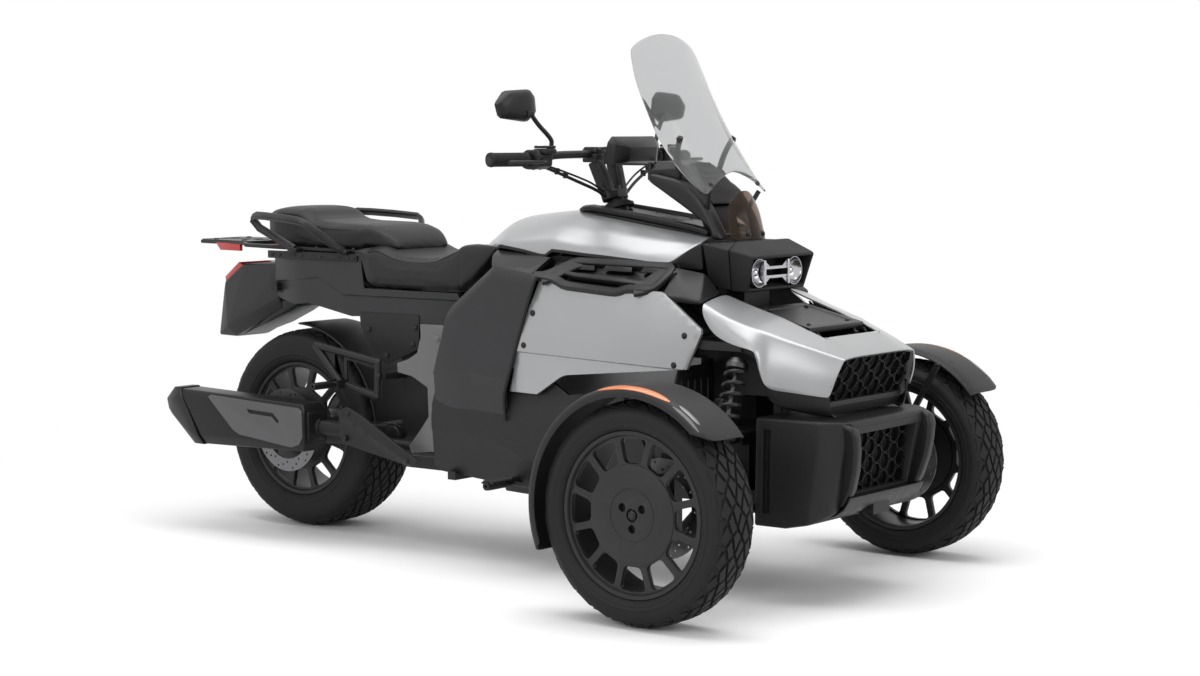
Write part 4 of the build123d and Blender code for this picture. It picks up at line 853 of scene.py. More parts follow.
HOOD_ROWS = [
    ((-102, 150, 784), (-102, 205, 777), (-102, 252, 765), (-100, 262, 754), (-94, 267, 734)),
    ((-84, 149, 778), (-84, 206, 771), (-84, 256, 757), (-80, 269, 738), (-66, 275, 700)),
    ((-45, 146, 764), (-45, 208, 754), (-45, 261, 739), (-43, 275, 714), (-34, 281, 681)),
    ((0, 143, 750), (0, 206, 739), (0, 262, 724), (2, 279, 698), (8, 286, 668)),
    ((36, 140, 739), (36, 202, 728), (36, 258, 713), (38, 281, 687), (50, 288.5, 660)),
    ((60, 138.5, 732), (60, 198, 722), (60, 254, 707), (64, 281, 679), (80, 288.5, 656)),
    ((78, 138, 726), (78, 195, 716), (78, 249, 702), (82, 276, 662), (89, 285, 634)),
    ((94, 138, 720), (94, 192, 710), (94, 244, 696), (94, 270, 644), (94, 278, 580)),
    ((110, 138, 714), (110, 188, 704), (110, 239, 690), (110, 263, 636), (108, 268, 557)),
    ((150, 138.5, 700), (150, 182, 690), (150, 228, 677), (150, 249, 628), (150, 252, 553)),
    ((205, 133, 678), (205, 168, 669), (205, 207, 660), (205, 228, 610), (205, 230, 546)),
    ((250, 114, 657), (250, 151, 650), (250, 186, 645), (249, 209, 600), (244, 211, 541)),
    ((277, 104, 641), (277, 142, 640), (277, 175, 636), (266, 202, 586), (250, 200, 540)),
]
hood = bmesh.new()
skin(hood, [[ahead(x, -y, z) for x, y, z in row] for row in HOOD_ROWS])
crease(hood, [ahead(x, -y, z) for x, y, z in (row[2] for row in HOOD_ROWS)], 0.62)
deck = bmesh.new()
skin(deck, [
    [ahead(x, y, z) for y in (-y_edge, -y_edge / 2, 0)] for x, y_edge, z in
    ((190, 134.5, 684), (205, 133, 678), (250, 114, 657), (277, 104, 641))
])
join(hood, deck)
mirrored(hood)
outward(hood)
face_out(hood, "z")
rounded(to_piece("hood", hood, satin_silver, "silver_paint", "nose_cowl", sharp=180), 3, 0.004)

# Grilles ---
# The nose grille is a moulded net of six-sided cells in a silver rim, and a second net fills
# the bumper's mouth. Both nets clip in from behind.

GRILLE_CELL = 0.0265
GRILLE_WALL = 0.0022
matt_black = painted("matt_black", (0.006, 0.006, 0.0063), 0.6, grain=300, depth=0.0006)


def cut(bm, place, normal, clear=True, dist=0.00001):
    """Cuts a mesh along a plane, and clears the side that its normal points to."""
    bmesh.ops.bisect_plane(
        bm, geom=bm.verts[:] + bm.edges[:] + bm.faces[:], dist=dist,
        plane_co=place, plane_no=normal, clear_outer=clear,
    )


def hex_net(centre, half_width, low, high, depth):
    """A net of cells in the YZ plane, cut to a window and given depth backwards."""
    bm = bmesh.new()
    step_y, step_z = GRILLE_CELL * 1.5, GRILLE_CELL * math.sqrt(3)
    columns, rows = int(half_width / step_y) + 2, int((high - low) / step_z) + 2
    for column in range(-columns, columns + 1):
        for row in range(-1, rows + 1):
            y = column * step_y
            z = low + row * step_z + (step_z / 2 if column % 2 else 0)
            place = Matrix.Translation((0, y, z)) @ Matrix.Rotation(math.pi / 2, 4, "Y")
            place = place @ Matrix.Rotation(math.pi / 2, 4, "Z")
            bmesh.ops.create_circle(bm, cap_ends=True, segments=6, radius=GRILLE_CELL, matrix=place)
    bmesh.ops.remove_doubles(bm, verts=bm.verts, dist=0.0005)
    cells = bm.faces[:]
    inset(bm, cells, GRILLE_WALL)
    bmesh.ops.delete(bm, geom=cells, context="FACES")
    for y, z in ((half_width, 0), (-half_width, 0), (0, high), (0, -low)):
        cut(bm, (0, y, abs(z)), Vector((0, y, z)).normalized())
    thicken(bm, bm.faces[:], (-depth, 0, 0))
    shift(bm, (centre, 0, 0))
    return bm


def lean(bm, foot_z, slope):
    """Leans a shape forward by a slope as it rises above a height."""
    for vert in bm.verts:
        vert.co.x += (vert.co.z - foot_z) * slope


def loop_plate(points, thickness, depth):
    """A rim along a closed outline: an inset ring, given depth backwards."""
    bm = bmesh.new()
    face = bm.faces.new([bm.verts.new(point) for point in points])
    inset(bm, [face], thickness)
    bmesh.ops.delete(bm, geom=[face], context="FACES")
    thicken(bm, bm.faces[:], (-depth, 0, 0))
    return bm


net = hex_net(FRONT_AXLE_X + 0.226, 0.192, 0.524, 0.634, 0.012)
lean(net, 0.524, 0.36)
for side in (1, -1):
    cut(net, ahead(0, side * 184, 618), (0, side, 0.44))
    cut(net, ahead(0, side * 193, 545), (0, side, -0.28))
low_net = hex_net(FRONT_AXLE_X + 0.262, 0.150, 0.286, 0.466, 0.012)
lean(low_net, 0.286, 0.10)
join(net, low_net)
to_piece("grille_nets", net, matt_black, node="front_grilles")


def all_ahead(points):
    return [ahead(*point) for point in points]


# Painted shade: near-black matt plates behind both nets stand for the shade inside the nose.
painted_shade_black = painted("painted_shade_black", (0.006, 0.006, 0.006), 0.6, grain=200, depth=0.0003)
shade_sheets = bmesh.new()
for foot, head, half, z_low, z_high in ((190, 228, 186, 516, 632), (230, 246, 158, 280, 470)):
    corners = all_ahead((
        (foot, -half, z_low), (foot, half, z_low), (head, half, z_high), (head, -half, z_high),
    ))
    face = shade_sheets.faces.new([shade_sheets.verts.new(corner) for corner in corners])
    bmesh.ops.solidify(shade_sheets, geom=[face], thickness=0.004)
outward(shade_sheets)
to_piece("grille_shade_plates", shade_sheets, painted_shade_black)

RIM_LINE = [
    (278, -150, 636), (277, -168, 634), (274, -178, 627), (258, -203, 578), (256, -204, 568),
    (236, -196, 520), (232, -188, 513),
]
rim = loop_plate(all_ahead(RIM_LINE + [(x, -y, z) for x, y, z in reversed(RIM_LINE)]), 0.0075, 0.022)
softened(rim, 0.0022, 3, 40)
to_piece("grille_rim", rim, satin_silver, "silver_paint")

# Arch liners ---
# Black plastic edging that hangs below the hood over each wheel, and the chin that closes the
# gap between the nose grille and the bumper. Push rivets hold it to the hood's flange.


def right_ahead(points):
    """Points on the right, given with their distance out from the middle plane."""
    return [ahead(x, -y, z) for x, y, z in points]


liner_rows = []
for x, y, z, fall in (
    (-102, 256, 744, 22), (-72, 264, 708, 26), (-38, 270, 688, 30), (4, 275, 675, 32),
    (46, 278, 667, 34), (74, 277, 661, 44), (86, 274, 636, 56), (92, 268, 588, 52), (110, 259, 564, 52),
    (150, 244, 560, 56), (205, 222, 553, 58), (238, 204, 548, 58), (246, 194, 547, 58),
):
    liner_rows.append(right_ahead((
        (x, y - 2, z + 6), (x, y + 3, z - 4), (x, y - 7, z - fall), (x, y - 40, z - fall - 6),
    )))
liner = bmesh.new()
skin(liner, liner_rows)
mirrored(liner)
bmesh.ops.recalc_face_normals(liner, faces=liner.faces)
for face in liner.faces:
    if face.normal.y * face.calc_center_median().y < 0:
        face.normal_flip()
rounded(to_piece("arch_liners", liner, moulded_black, sharp=180), 2, 0.004)


def hull_of(points, width, segments=3, angle=12):
    """A closed convex shell around points, its edges rounded over."""
    bm = bmesh.new()
    for point in points:
        bm.verts.new(point)
    made = bmesh.ops.convex_hull(bm, input=bm.verts[:], use_existing_faces=False)
    spare = {
        item for item in made["geom_interior"] + made["geom_unused"]
        if isinstance(item, bmesh.types.BMVert)
    }
    bmesh.ops.delete(bm, geom=list(spare), context="VERTS")
    bmesh.ops.dissolve_limit(
        bm, angle_limit=math.radians(1.5), use_dissolve_boundaries=False, verts=bm.verts[:],
        edges=bm.edges[:],
    )
    bmesh.ops.recalc_face_normals(bm, faces=bm.faces)
    if width:
        softened(bm, width, segments, angle)
    return bm


def both_sides(points):
    return [point for x, y, z in points for point in (Vector((x, y, z)), Vector((x, -y, z)))]


def both_ahead(points):
    return both_sides(all_ahead(points))


chin = hull_of(both_ahead((
    (228, 190, 512), (222, 186, 488), (140, 190, 500), (140, 200, 540), (226, 196, 524), (110, 190, 560),
)), 0.004)
to_piece("chin_panel", chin, moulded_black)

# Storage lid ---
# A textured black lid over the front locker, hinged at its front edge on two lugs. It stands
# above the hood's deck, so that its leading edge is the lip of the air scoop.

satin_black = painted("satin_black", (0.0095, 0.0095, 0.010), 0.36, grain=420, depth=0.0003)


def add_hull(bm, points, *rest):
    """Adds a closed shell around points to a bmesh."""
    join(bm, hull_of(points, *rest))


def broadest(bm, axis, least):
    """The largest of the faces that look along an axis."""
    faces = [face for face in bm.faces if getattr(face.normal, axis) > least]
    return max(faces, key=lambda face: face.calc_area())


lid = hull_of(both_ahead((
    (146, 133, 706), (146, 129, 692), (40, 131, 730), (-34, 125, 750), (-34, 121, 736),
)), 0)
lid_top = broadest(lid, "z", 0.5)
inset(lid, [lid_top], 0.020)
inset(lid, [lid_top], 0.004, -0.003)
softened(lid, 0.0026, 3, 20)
for x, y, z in ((120, 95, 712.5), (120, -95, 712.5), (-5, 90, 743), (-5, -90, 743)):
    bolt_head(lid, ahead(x, y, z), (0.3, 0, 1), 0.005, 0.003)
for side in (1, -1):
    lug = bmesh.new()
    lathe_z(lug, [(0.0048, -0.006), (0.009, -0.006), (0.009, 0.006), (0.0048, 0.006)], 20)
    swivel(lug, math.pi / 2, "X")
    shift(lug, ahead(142, side * 90, 680))
    join(lid, lug)
    web_line = ((133, 682), (146, 686), (145.5, 694), (128, 700))
    add_hull(lid, [ahead(x, side * 90 + y, z) for y in (-5, 5) for x, z in web_line], 0.0008, 1)
to_piece("locker_lid", lid, satin_black, node="storage_lid", body="lid")
coat_node("storage_tub", moulded_black)

# Scoop ---
# The dark throat under the lid's lip: a black lining with a narrow rim round a
# sunken top. It is screwed to the storage tub.

scoop = hull_of(both_ahead((
    (157, 131, 656), (157, 131, 668), (190, 129, 676), (190, 129, 662), (232, 114, 659), (232, 114, 651),
)), 0)
roof = broadest(scoop, "z", 0.5)
inset(scoop, [roof], 0.006)
inset(scoop, [roof], 0.002, -0.008)
softened(scoop, 0.0012, 2, 30)
to_piece("scoop_lining", scoop, matt_black)

# Bumper ---
# A textured black moulding with a pod at each side, slotted down its flank, a deep mouth for
# the lower grille, and a ribbed skid plate beneath. Two curved guards stand in front of it.

BUMPER_CAGE = [
    (58, 250, 482), (58, 255, 203), (150, 253, 203), (215, 246, 216), (268, 222, 246), (304, 198, 452),
    (298, 208, 480), (250, 246, 482),
]
bumper = hull_of(both_sides(all_ahead(BUMPER_CAGE)), 0.013, 4)
face_ahead = broadest(bumper, "x", 0.8)
inset(bumper, [face_ahead], 0.03)
for vert in face_ahead.verts:
    upper = vert.co.z > 0.36
    side = math.copysign(1, vert.co.y)
    vert.co.y = side * (0.152 if upper else 0.146)
    target = 0.464 if upper else 0.292
    vert.co.x += (target - vert.co.z) * 0.13
    vert.co.z = target
made = bmesh.ops.extrude_discrete_faces(bumper, faces=[face_ahead])
mouth = made["faces"][0]
bmesh.ops.translate(bumper, verts=mouth.verts, vec=(-0.05, 0, 0))
bmesh.ops.scale(
    bumper, verts=mouth.verts, vec=(1, 0.97, 0.97),
    space=Matrix.Translation(-mouth.calc_center_median()),
)
bmesh.ops.delete(bumper, geom=[mouth], context="FACES")
for seam in (76, 108):
    cut(bumper, ahead(seam, 0, 0), (1, 0, 0), clear=False)
bumper.faces.ensure_lookup_table()
flanks = [
    face for face in bumper.faces
    if abs(face.normal.y) > 0.9 and face.calc_area() > 0.004
    and 0.076 < face.calc_center_median().x - FRONT_AXLE_X < 0.108
]
inset(bumper, flanks, 0.004)
for face in flanks:
    for vert in face.verts:
        vert.co.z = 0.235 if vert.co.z < 0.34 else 0.452
inset(bumper, flanks, 0.0015, -0.016)
outward(bumper)
softened(bumper, 0.003, 2, 34)
to_piece("bumper_moulding", bumper, moulded_black, node="bumper")

GUARD_LINE = [
    (258, 477), (302, 476), (322, 466), (329.5, 444), (329, 404), (322, 356), (308, 308), (286, 264),
    (258, 248), (262, 300), (272, 356), (276, 402), (272, 440),
]
guards = bmesh.new()
for side in (1, -1):
    blade = bmesh.new()
    ring = [blade.verts.new(ahead(x, side * (148 + (z - 256) * 0.13), z)) for x, z in GUARD_LINE]
    face = blade.faces.new(ring)
    thicken(blade, [face], (0, side * 0.034, 0))
    softened(blade, 0.010, 4, 35)
    join(guards, blade)
to_piece("bumper_guards", guards, satin_black)

skid_rows = []
SKID_PROFILE = [
    (302, 286), (296, 272), (284, 254), (262, 238), (225, 226), (180, 217), (120, 209), (62, 204),
]
columns = 40
for index, (x, z) in enumerate(SKID_PROFILE):
    row = []
    for column in range(columns + 1):
        share = column / columns * 2 - 1
        ridge = 2.4 * (abs((column % 5) - 2) < 1.5) if 1 < index < 7 and abs(share) < 0.9 else 0
        row.append(ahead(x + 1, share * (186 + (302 - x) * 0.06), z - 1 - ridge * 0.5 + 1.2))
    skid_rows.append(row)
skid = bmesh.new()
skin(skid, skid_rows)
bmesh.ops.recalc_face_normals(skid, faces=skid.faces)
if sum(face.normal.z for face in skid.faces) > 0:
    bmesh.ops.reverse_faces(skid, faces=skid.faces[:])
rounded(to_piece("skid_plate", skid, satin_black, sharp=40), 0, 0.004)

# Lamp pod ---
# A satin black housing in two mouldings, front shell and rear shell, with a shadow gap between
# them. Its open face is a deep pocket for the lamps, and it is bolted to the frame's post.

pod_front = hull_of(both_ahead((
    (-18.5, 150.5, 884), (-44, 137.5, 789.5), (-80, 119, 920.5), (-93, 119, 920.5), (-93, 152, 899.5),
    (-93, 139, 791.5),
)), 0)
mouth = broadest(pod_front, "x", 0.7)
inset(pod_front, [mouth], 0.0085)
inset(pod_front, [mouth], 0.003, -0.050)
softened(pod_front, 0.0045, 4, 20)
add_hull(pod_front, both_ahead((
    (-96, 117, 917.5), (-96, 149, 898.5), (-96, 136, 794), (-179, 150, 914), (-179, 118, 917.5),
    (-164, 138, 803),
)), 0.005, 4)
add_hull(pod_front, both_ahead((
    (-90, 116, 914), (-90, 144, 896), (-90, 132, 797), (-100, 116, 914), (-100, 144, 896), (-100, 132, 797),
)), 0.001, 1)
to_piece("lamp_pod", pod_front, matt_black, node="headlamp_housing")

# Headlamps ---
# Two bowls of bright reflector, cut flat on their inner sides, with a small lens in each. Two
# light bars and their end strips join the bowls across the pod.

bright_reflector = painted(
    "bright_reflector", (0.50, 0.50, 0.52), 0.2, grain=70, depth=0.0006, metallic=1.0, drift=0.05,
)
LAMP_Z = 838
bowls = bmesh.new()
for side in (1, -1):
    bowl = bmesh.new()
    turned(bowl, [
        (0.0375, 0.012), (0.0385, 0.010), (0.0385, -0.020), (0.0004, -0.020), (0.0004, -0.012),
        (0.010, -0.0115), (0.020, -0.007), (0.029, 0.001), (0.035, 0.009), (0.0357, 0.012),
    ], 48)
    outward(bowl)
    lens = bmesh.new()
    turned(lens, [
        (0.0004, 0.004), (0.006, 0.003), (0.0105, -0.001), (0.0125, -0.007), (0.0125, -0.012),
        (0.0004, -0.012),
    ], 32)
    outward(lens)
    join(bowl, lens)
    swivel(bowl, -math.pi / 2, "Z")
    cut(bowl, (0, -side * 0.020, 0), (0, -side, 0))
    close_holes(bowl)
    shift(bowl, ahead(-52, side * 84, LAMP_Z))
    join(bowls, bowl)


def add_brick(bm, place, xs, ys, zs, width, segments=3):
    """A closed shell through every corner of a box, each corner placed by a function."""
    add_hull(bm, [place(x, y, z) for x in xs for y in ys for z in zs], width, segments)


for x, ys, zs in (
    (-42, (-54, 54), (846, 854)), (-42, (-54, 54), (822, 830)), (-40, (-62, -52), (805, 871)),
    (-40, (52, 62), (805, 871)),
):
    add_brick(bowls, ahead, (x - 14, x), ys, zs, 0.0012, 2)
for side in (1, -1):
    for fold in (1, -1):
        add_hull(bowls, [
            ahead(x, side * y, LAMP_Z + fold * z) for x in (-44, -60)
            for y, z in ((55, 33), (55, 12), (26, 14))
        ], 0.001, 1)
to_piece("lamp_bowls", bowls, bright_reflector, "lamp_white", "headlamps")

# Smoked deflector ---
# A thin curved screen of smoked polycarbonate on the pod's top. It is formed hot over a mould
# and held by two screws.


def clear_sheet(name, colour, roughness, transmission, tint_noise=0.05):
    """A see-through plastic with faint smears in its gloss."""
    made = painted(name, colour, roughness, grain=40, depth=0.00003, drift=tint_noise)
    shader = made.node_tree.nodes["Principled BSDF"]
    shader.inputs["Transmission Weight"].default_value = transmission
    shader.inputs["IOR"].default_value = 1.18
    return made


smoked_sheet = clear_sheet("smoked_sheet", (0.20, 0.145, 0.11), 0.06, 0.9)
deflector = bmesh.new()
rows = []
for share in (0, 0.2, 0.4, 0.6, 0.8, 1.0):
    row = []
    for step in range(13):
        turn = (step / 6 - 1) * 44.5
        top = 1051 - 40 * abs(turn / 44.5) ** 2.4
        z = 922 + (top - 922) * share
        mix = (z - 921.3) / (1052 - 921.3)
        radius = 120 - 16 * min(1, mix / 0.6) - 24 * max(0, (mix - 0.6) / 0.4)
        middle = -220 - 2 * min(1, mix / 0.6) - 4 * max(0, (mix - 0.6) / 0.4)
        angle = math.radians(turn)
        row.append(ahead(middle + (radius - 0.5) * math.cos(angle), (radius - 0.5) * math.sin(angle), z))
    rows.append(row)
skin(deflector, rows)
outward(deflector)
face_out(deflector, "x")
rounded(to_piece(
    "smoked_deflector", deflector, smoked_sheet, "smoked_shield", "wind_deflector", sharp=180,
), 2, 0.003)
screws = bmesh.new()
for turn in (-17, 17):
    angle = math.radians(turn)
    face = Vector((math.cos(angle), math.sin(angle), 0.1))
    bolt_head(screws, ahead(-220 + 118 * math.cos(angle), 118 * math.sin(angle), 936), face, 0.0062, 0.0035)
to_piece("deflector_screws", screws, satin_black)

# Cowl arms ---
# Two round-shouldered black arms rise from behind the pod and carry the shield on thin struts.
# Each is a blow-moulded shell over a steel core, split by a fine seam down its flank.

ARM_SECTIONS = [
    ((-384, 1097), (-384, 1074)), ((-372, 1097.5), (-374, 1066)), ((-340, 1092), (-348, 1051)),
    ((-300, 1085), (-312, 1029)), ((-262, 1077), (-276, 1008)), ((-230, 1056), (-243, 988)),
    ((-203, 1024), (-214, 971)), ((-183, 990), (-192, 958)), ((-166, 957), (-179, 946)),
    ((-154, 938), (-177.5, 932)), ((-144, 921.5), (-177.5, 920)),
]


def ring_loft(bm, rings):
    """A closed skin through rings of points, capped at both ends."""
    part = bmesh.new()
    skin(part, [ring + [ring[0]] for ring in rings])
    bmesh.ops.remove_doubles(part, verts=part.verts, dist=0.00002)
    close_holes(part)
    join(bm, part)


def soft_ring(middle, up, across, squareness=0.6, count=16):
    """Points of a round-cornered ring from its half height and half width vectors."""
    ring = []
    for index in range(count):
        turn = math.tau * (index + 0.5) / count
        c, s = math.cos(turn), math.sin(turn)
        rise = math.copysign(abs(c) ** squareness, c)
        reach = math.copysign(abs(s) ** squareness, s)
        ring.append(middle + up * rise + across * reach)
    return ring


def add_tube(bm, points, radius, segments=6):
    """A round tube along a smooth line, its ends closed, added to a bmesh."""
    curve = bpy.data.curves.new("tube", "CURVE")
    curve.dimensions = "3D"
    curve.bevel_depth = radius
    curve.bevel_resolution = segments
    curve.use_fill_caps = True
    spline = curve.splines.new("NURBS")
    spline.points.add(len(points) - 1)
    for target, point in zip(spline.points, points):
        target.co = (*point, 1)
    spline.order_u = 3
    spline.use_endpoint_u = True
    spline.resolution_u = 8
    holder = bpy.data.objects.new("tube", curve)
    scene.collection.objects.link(holder)
    bpy.context.view_layer.update()
    mesh = bpy.data.meshes.new_from_object(holder)
    part = bmesh.new()
    part.from_mesh(mesh)
    bpy.data.objects.remove(holder)
    bpy.data.curves.remove(curve)
    bpy.data.meshes.remove(mesh)
    outward(part)
    join(bm, part)


arms = bmesh.new()
rings = []
for (top_x, top_z), (low_x, low_z) in ARM_SECTIONS:
    top, low = ahead(top_x, -89, top_z), ahead(low_x, -89, low_z)
    rings.append(soft_ring((top + low) / 2, (top - low) / 2, Vector((0, -0.0260, 0)), 0.62))
ring_loft(arms, rings)
arm_struts = bmesh.new()
add_tube(arm_struts, [
    ahead(-300, -89, 1072), ahead(-292, -100, 1118), ahead(-286, -116, 1158), ahead(-266, -126, 1193),
], 0.0078)
add_tube(arm_struts, [ahead(-196, -100, 1004), ahead(-186, -112, 1030), ahead(-178, -118, 1047)], 0.0065)
mirrored(arms)
mirrored(arm_struts)
outward(arms)
outward(arm_struts)
rounded(to_piece("cowl_arms", arms, satin_black, node="cockpit_cowl", sharp=60), 1)
to_piece("shield_struts", arm_struts, frame_black, "frame_black")

# Dash body ---
# The black moulding between the arms, behind the shield, that hides the looms. Its upper shell
# is hooded over the instrument brackets and its foot fairs into the arms.

dash = hull_of(both_ahead((
    (-384, 100, 1104), (-384, 100, 1092), (-384, 70, 1128), (-350, 70, 1128), (-300, 92, 1110),
    (-290, 60, 1118), (-252, 84, 1076), (-220, 78, 1050), (-200, 66, 1016), (-262, 66, 1000),
    (-330, 80, 1050),
)), 0.006, 3, 8)
for z, x, half in ((1118, -292, 44), (1103, -274, 50), (1088, -258, 54)):
    add_hull(dash, both_sides([
        ahead(x + dx, half + dy, z + dz) for dx, dz in ((-8, 4), (10, -4), (6, 6)) for dy in (0, -3)
    ]), 0.0015, 2)
add_hull(dash, both_ahead((
    (-262, 54, 1004), (-214, 52, 1010), (-196, 46, 960), (-240, 50, 952), (-188, 40, 926), (-236, 44, 926),
)), 0.004, 3)
to_piece("dash_body", dash, moulded_black, sharp=30)

# Windshield ---
# A tall shield of clear polycarbonate with a polished edge, bulged forward across its width
# and cut to two rounded tips at its foot. Four screws on rubber washers hold it.

SHIELD_SLOPE = math.radians(58)
SHIELD_BULGE = 0.520
SHIELD_WIDTHS = [(0, 146), (0.12, 161), (0.3, 168), (0.7, 168.5), (0.86, 164), (1, 147)]
SHIELD_WRAP = [(0, 0), (0.2, 0.022), (0.45, 0.034), (0.75, 0.020), (1, 0.004)]


def shield_point(across, along, proud=0.0):
    """A point on the shield's face in millimetres across and up its slope."""
    u, v = across / 1000, along / 1000
    depth = math.sqrt(SHIELD_BULGE**2 - u**2) - (SHIELD_BULGE - 0.027) - 0.0006 + proud
    foot = ahead(-172, 0, 1037)
    normal = Vector((math.sin(SHIELD_SLOPE), 0, math.cos(SHIELD_SLOPE)))
    upward = Vector((-math.cos(SHIELD_SLOPE), 0, math.sin(SHIELD_SLOPE)))
    return foot + Vector((0, u, 0)) + upward * v + normal * depth


def shield_wrap(side, share):
    """How far the shield's flanks sweep back from its bulge."""
    return along_table(SHIELD_WRAP, share) * max(0, abs(side) - 0.3) ** 2 / 0.49


clear_polycarbonate = clear_sheet("clear_polycarbonate", (0.56, 0.565, 0.57), 0.03, 0.92, 0.02)
shield = bmesh.new()
rows = []
for step in range(13):
    share = step / 12
    row = []
    for column in range(17):
        side = column / 8 - 1
        low = 60 * (1 - abs(side) ** 1.5)
        high = 462 + 33.5 * (1 - abs(side) ** 2.3)
        width = along_table(SHIELD_WIDTHS, share)
        row.append(shield_point(side * width, low + (high - low) * share, -shield_wrap(side, share)))
    rows.append(row)
skin(shield, rows)
bmesh.ops.recalc_face_normals(shield, faces=shield.faces)
face_out(shield, "x")
rounded(to_piece(
    "clear_shield", shield, clear_polycarbonate, "clear_shield", "windshield", sharp=180,
), 1, 0.004)
fixings = bmesh.new()
face = Vector((math.sin(SHIELD_SLOPE), 0, math.cos(SHIELD_SLOPE)))
for across in (-128, 128):
    bolt_head(fixings, shield_point(across, 178, -shield_wrap(0.76, 0.36)), face, 0.0068, 0.0035)
    bolt_head(fixings, shield_point(across * 0.86, 30, -shield_wrap(0.72, 0.05)), face, 0.0062, 0.0035)
to_piece("shield_screws", fixings, satin_black)

# Instrument screen ---
# A hooded black case with a dark glass face, turned up to the rider. The case is moulded, and
# it is bolted to two thin steel brackets.

glass_black = painted("glass_black", (0.008, 0.008, 0.01), 0.08, grain=60, depth=0.00005, coat=0.7)
case = hull_of(both_ahead((
    (-539, 108, 1119), (-518, 96, 1194.5), (-523, 108, 1178), (-510, 92, 1191), (-500, 100, 1172),
    (-508, 100, 1116), (-478, 62, 1164), (-484, 62, 1126),
)), 0)
dial_side = min((face for face in case.faces), key=lambda face: face.normal.x)
inset(case, [dial_side], 0.006)
inset(case, [dial_side], 0.0008, -0.003)
glass_corners = [vert.co.copy() for vert in dial_side.verts]
softened(case, 0.003, 3, 25)
to_piece("screen_case", case, satin_black, node="instrument_display")
dial = bmesh.new()
ring = [dial.verts.new(corner) for corner in glass_corners]
pane = dial.faces.new(ring)
bmesh.ops.recalc_face_normals(dial, faces=dial.faces)
if pane.normal.x > 0:
    pane.normal_flip()
inset(dial, [pane], 0.003, 0.0012)
to_piece("screen_glass", dial, glass_black)
brackets = bmesh.new()
for side in (1, -1):
    for span in (
        ((-522, 1116), (-388, 1116), (-388, 1122), (-522, 1122)),
        ((-396, 1077), (-386, 1077), (-386, 1121), (-396, 1121)),
    ):
        corners = [ahead(x, side * y, z) for x, z in span for y in (80, 96)]
        add_hull(brackets, corners, 0.0015, 2)
    bolt_head(brackets, ahead(-392, side * 88, 1122), (0, 0, 1), 0.006, 0.004)
to_piece("screen_brackets", brackets, frame_black, "frame_black")

# Handlebar ---
# A bent steel tube, powder coated, in a two-part clamp on cast risers. The risers stand on a
# yoke at the head of the steering column.

COLUMN_LEAN = math.radians(20)


def up_column(along, across=0.0, forward=0.0):
    """A point in millimetres: up the steering axis, out to the side, and ahead of the axis."""
    x = -570 - along * math.sin(COLUMN_LEAN) + forward * math.cos(COLUMN_LEAN)
    z = 1004 + along * math.cos(COLUMN_LEAN) + forward * math.sin(COLUMN_LEAN)
    return ahead(x, across, z)


def clamp_point(x, y, z):
    """A point in millimetres from the middle of the bar's clamp."""
    return up_column(150) + Vector((x, y, z)) / 1000


bars = bmesh.new()
half_line = [
    (-617, 0, 1145), (-619, -55, 1145), (-618, -120, 1144.5), (-615, -205, 1144), (-614, -250, 1140),
    (-618, -310, 1134),
]
grip_foot, grip_end = ahead(-619, -322, 1133), ahead(-657, -450, 1133)
right_line = [ahead(x - 4.3, y, z) for x, y, z in half_line] + [
    grip_foot, grip_foot.lerp(grip_end, 0.5), grip_end,
]
left_line = [Vector((p.x, -p.y, p.z)) for p in reversed(right_line)]
add_tube(bars, left_line + right_line[1:], 0.0108)
to_piece("bar_tube", bars, frame_black, "frame_black", "handlebar", body="steering")

risers = bmesh.new()
for side in (1, -1):
    near_far = (side * 22, side * 61)
    add_brick(risers, clamp_point, (-25, 25), near_far, (-23, 2), 0.004)
    add_hull(risers, [
        clamp_point(x, y, z)
        for x, z in ((-25, 4), (25, 4), (-25, 12), (25, 12), (-17, 19.8), (17, 19.8)) for y in near_far
    ], 0.0025, 3)
    for x in (-18, 18):
        for y in (30, 53):
            bolt_head(risers, clamp_point(x, side * y, 15.8), (0, 0, 1), 0.0052, 0.0032)
    add_hull(risers, [
        up_column(height, side * across, forward)
        for height, near, far, reach in ((128, 26, 57, 19), (84, 24, 50, 17), (34, 12, 42, 20))
        for across in (near, far) for forward in (-reach, reach)
    ], 0.006, 4)
    bolt_head(risers, up_column(44, side * 42, 2), (0, side, 0), 0.008, 0.004)
add_hull(risers, [
    up_column(height, side * across, forward)
    for height in (14, 40) for side in (1, -1)
    for across, forward in ((46, 12), (46, -12), (24, 27), (24, -27))
], 0.005, 3)
add_brick(risers, clamp_point, (-14, 14), (24, -24), (-20, -6), 0.003, 2)
column = bmesh.new()
lathe_z(column, [
    (0.0004, -0.076), (0.0135, -0.076), (0.0135, 0.002), (0.0225, 0.002), (0.0235, 0.006),
    (0.0235, 0.05), (0.0004, 0.05),
])
aim_up(column, up_column(0), up_column(100))
join(risers, column)
to_piece("riser_casting", risers, satin_black, "frame_black", body="steering")

# Hand controls ---
# Rubber grips between flanges, switch pods with buttons, brake and parking levers, and fluid
# reservoirs. Each pod is clamped to the bar by two screws.

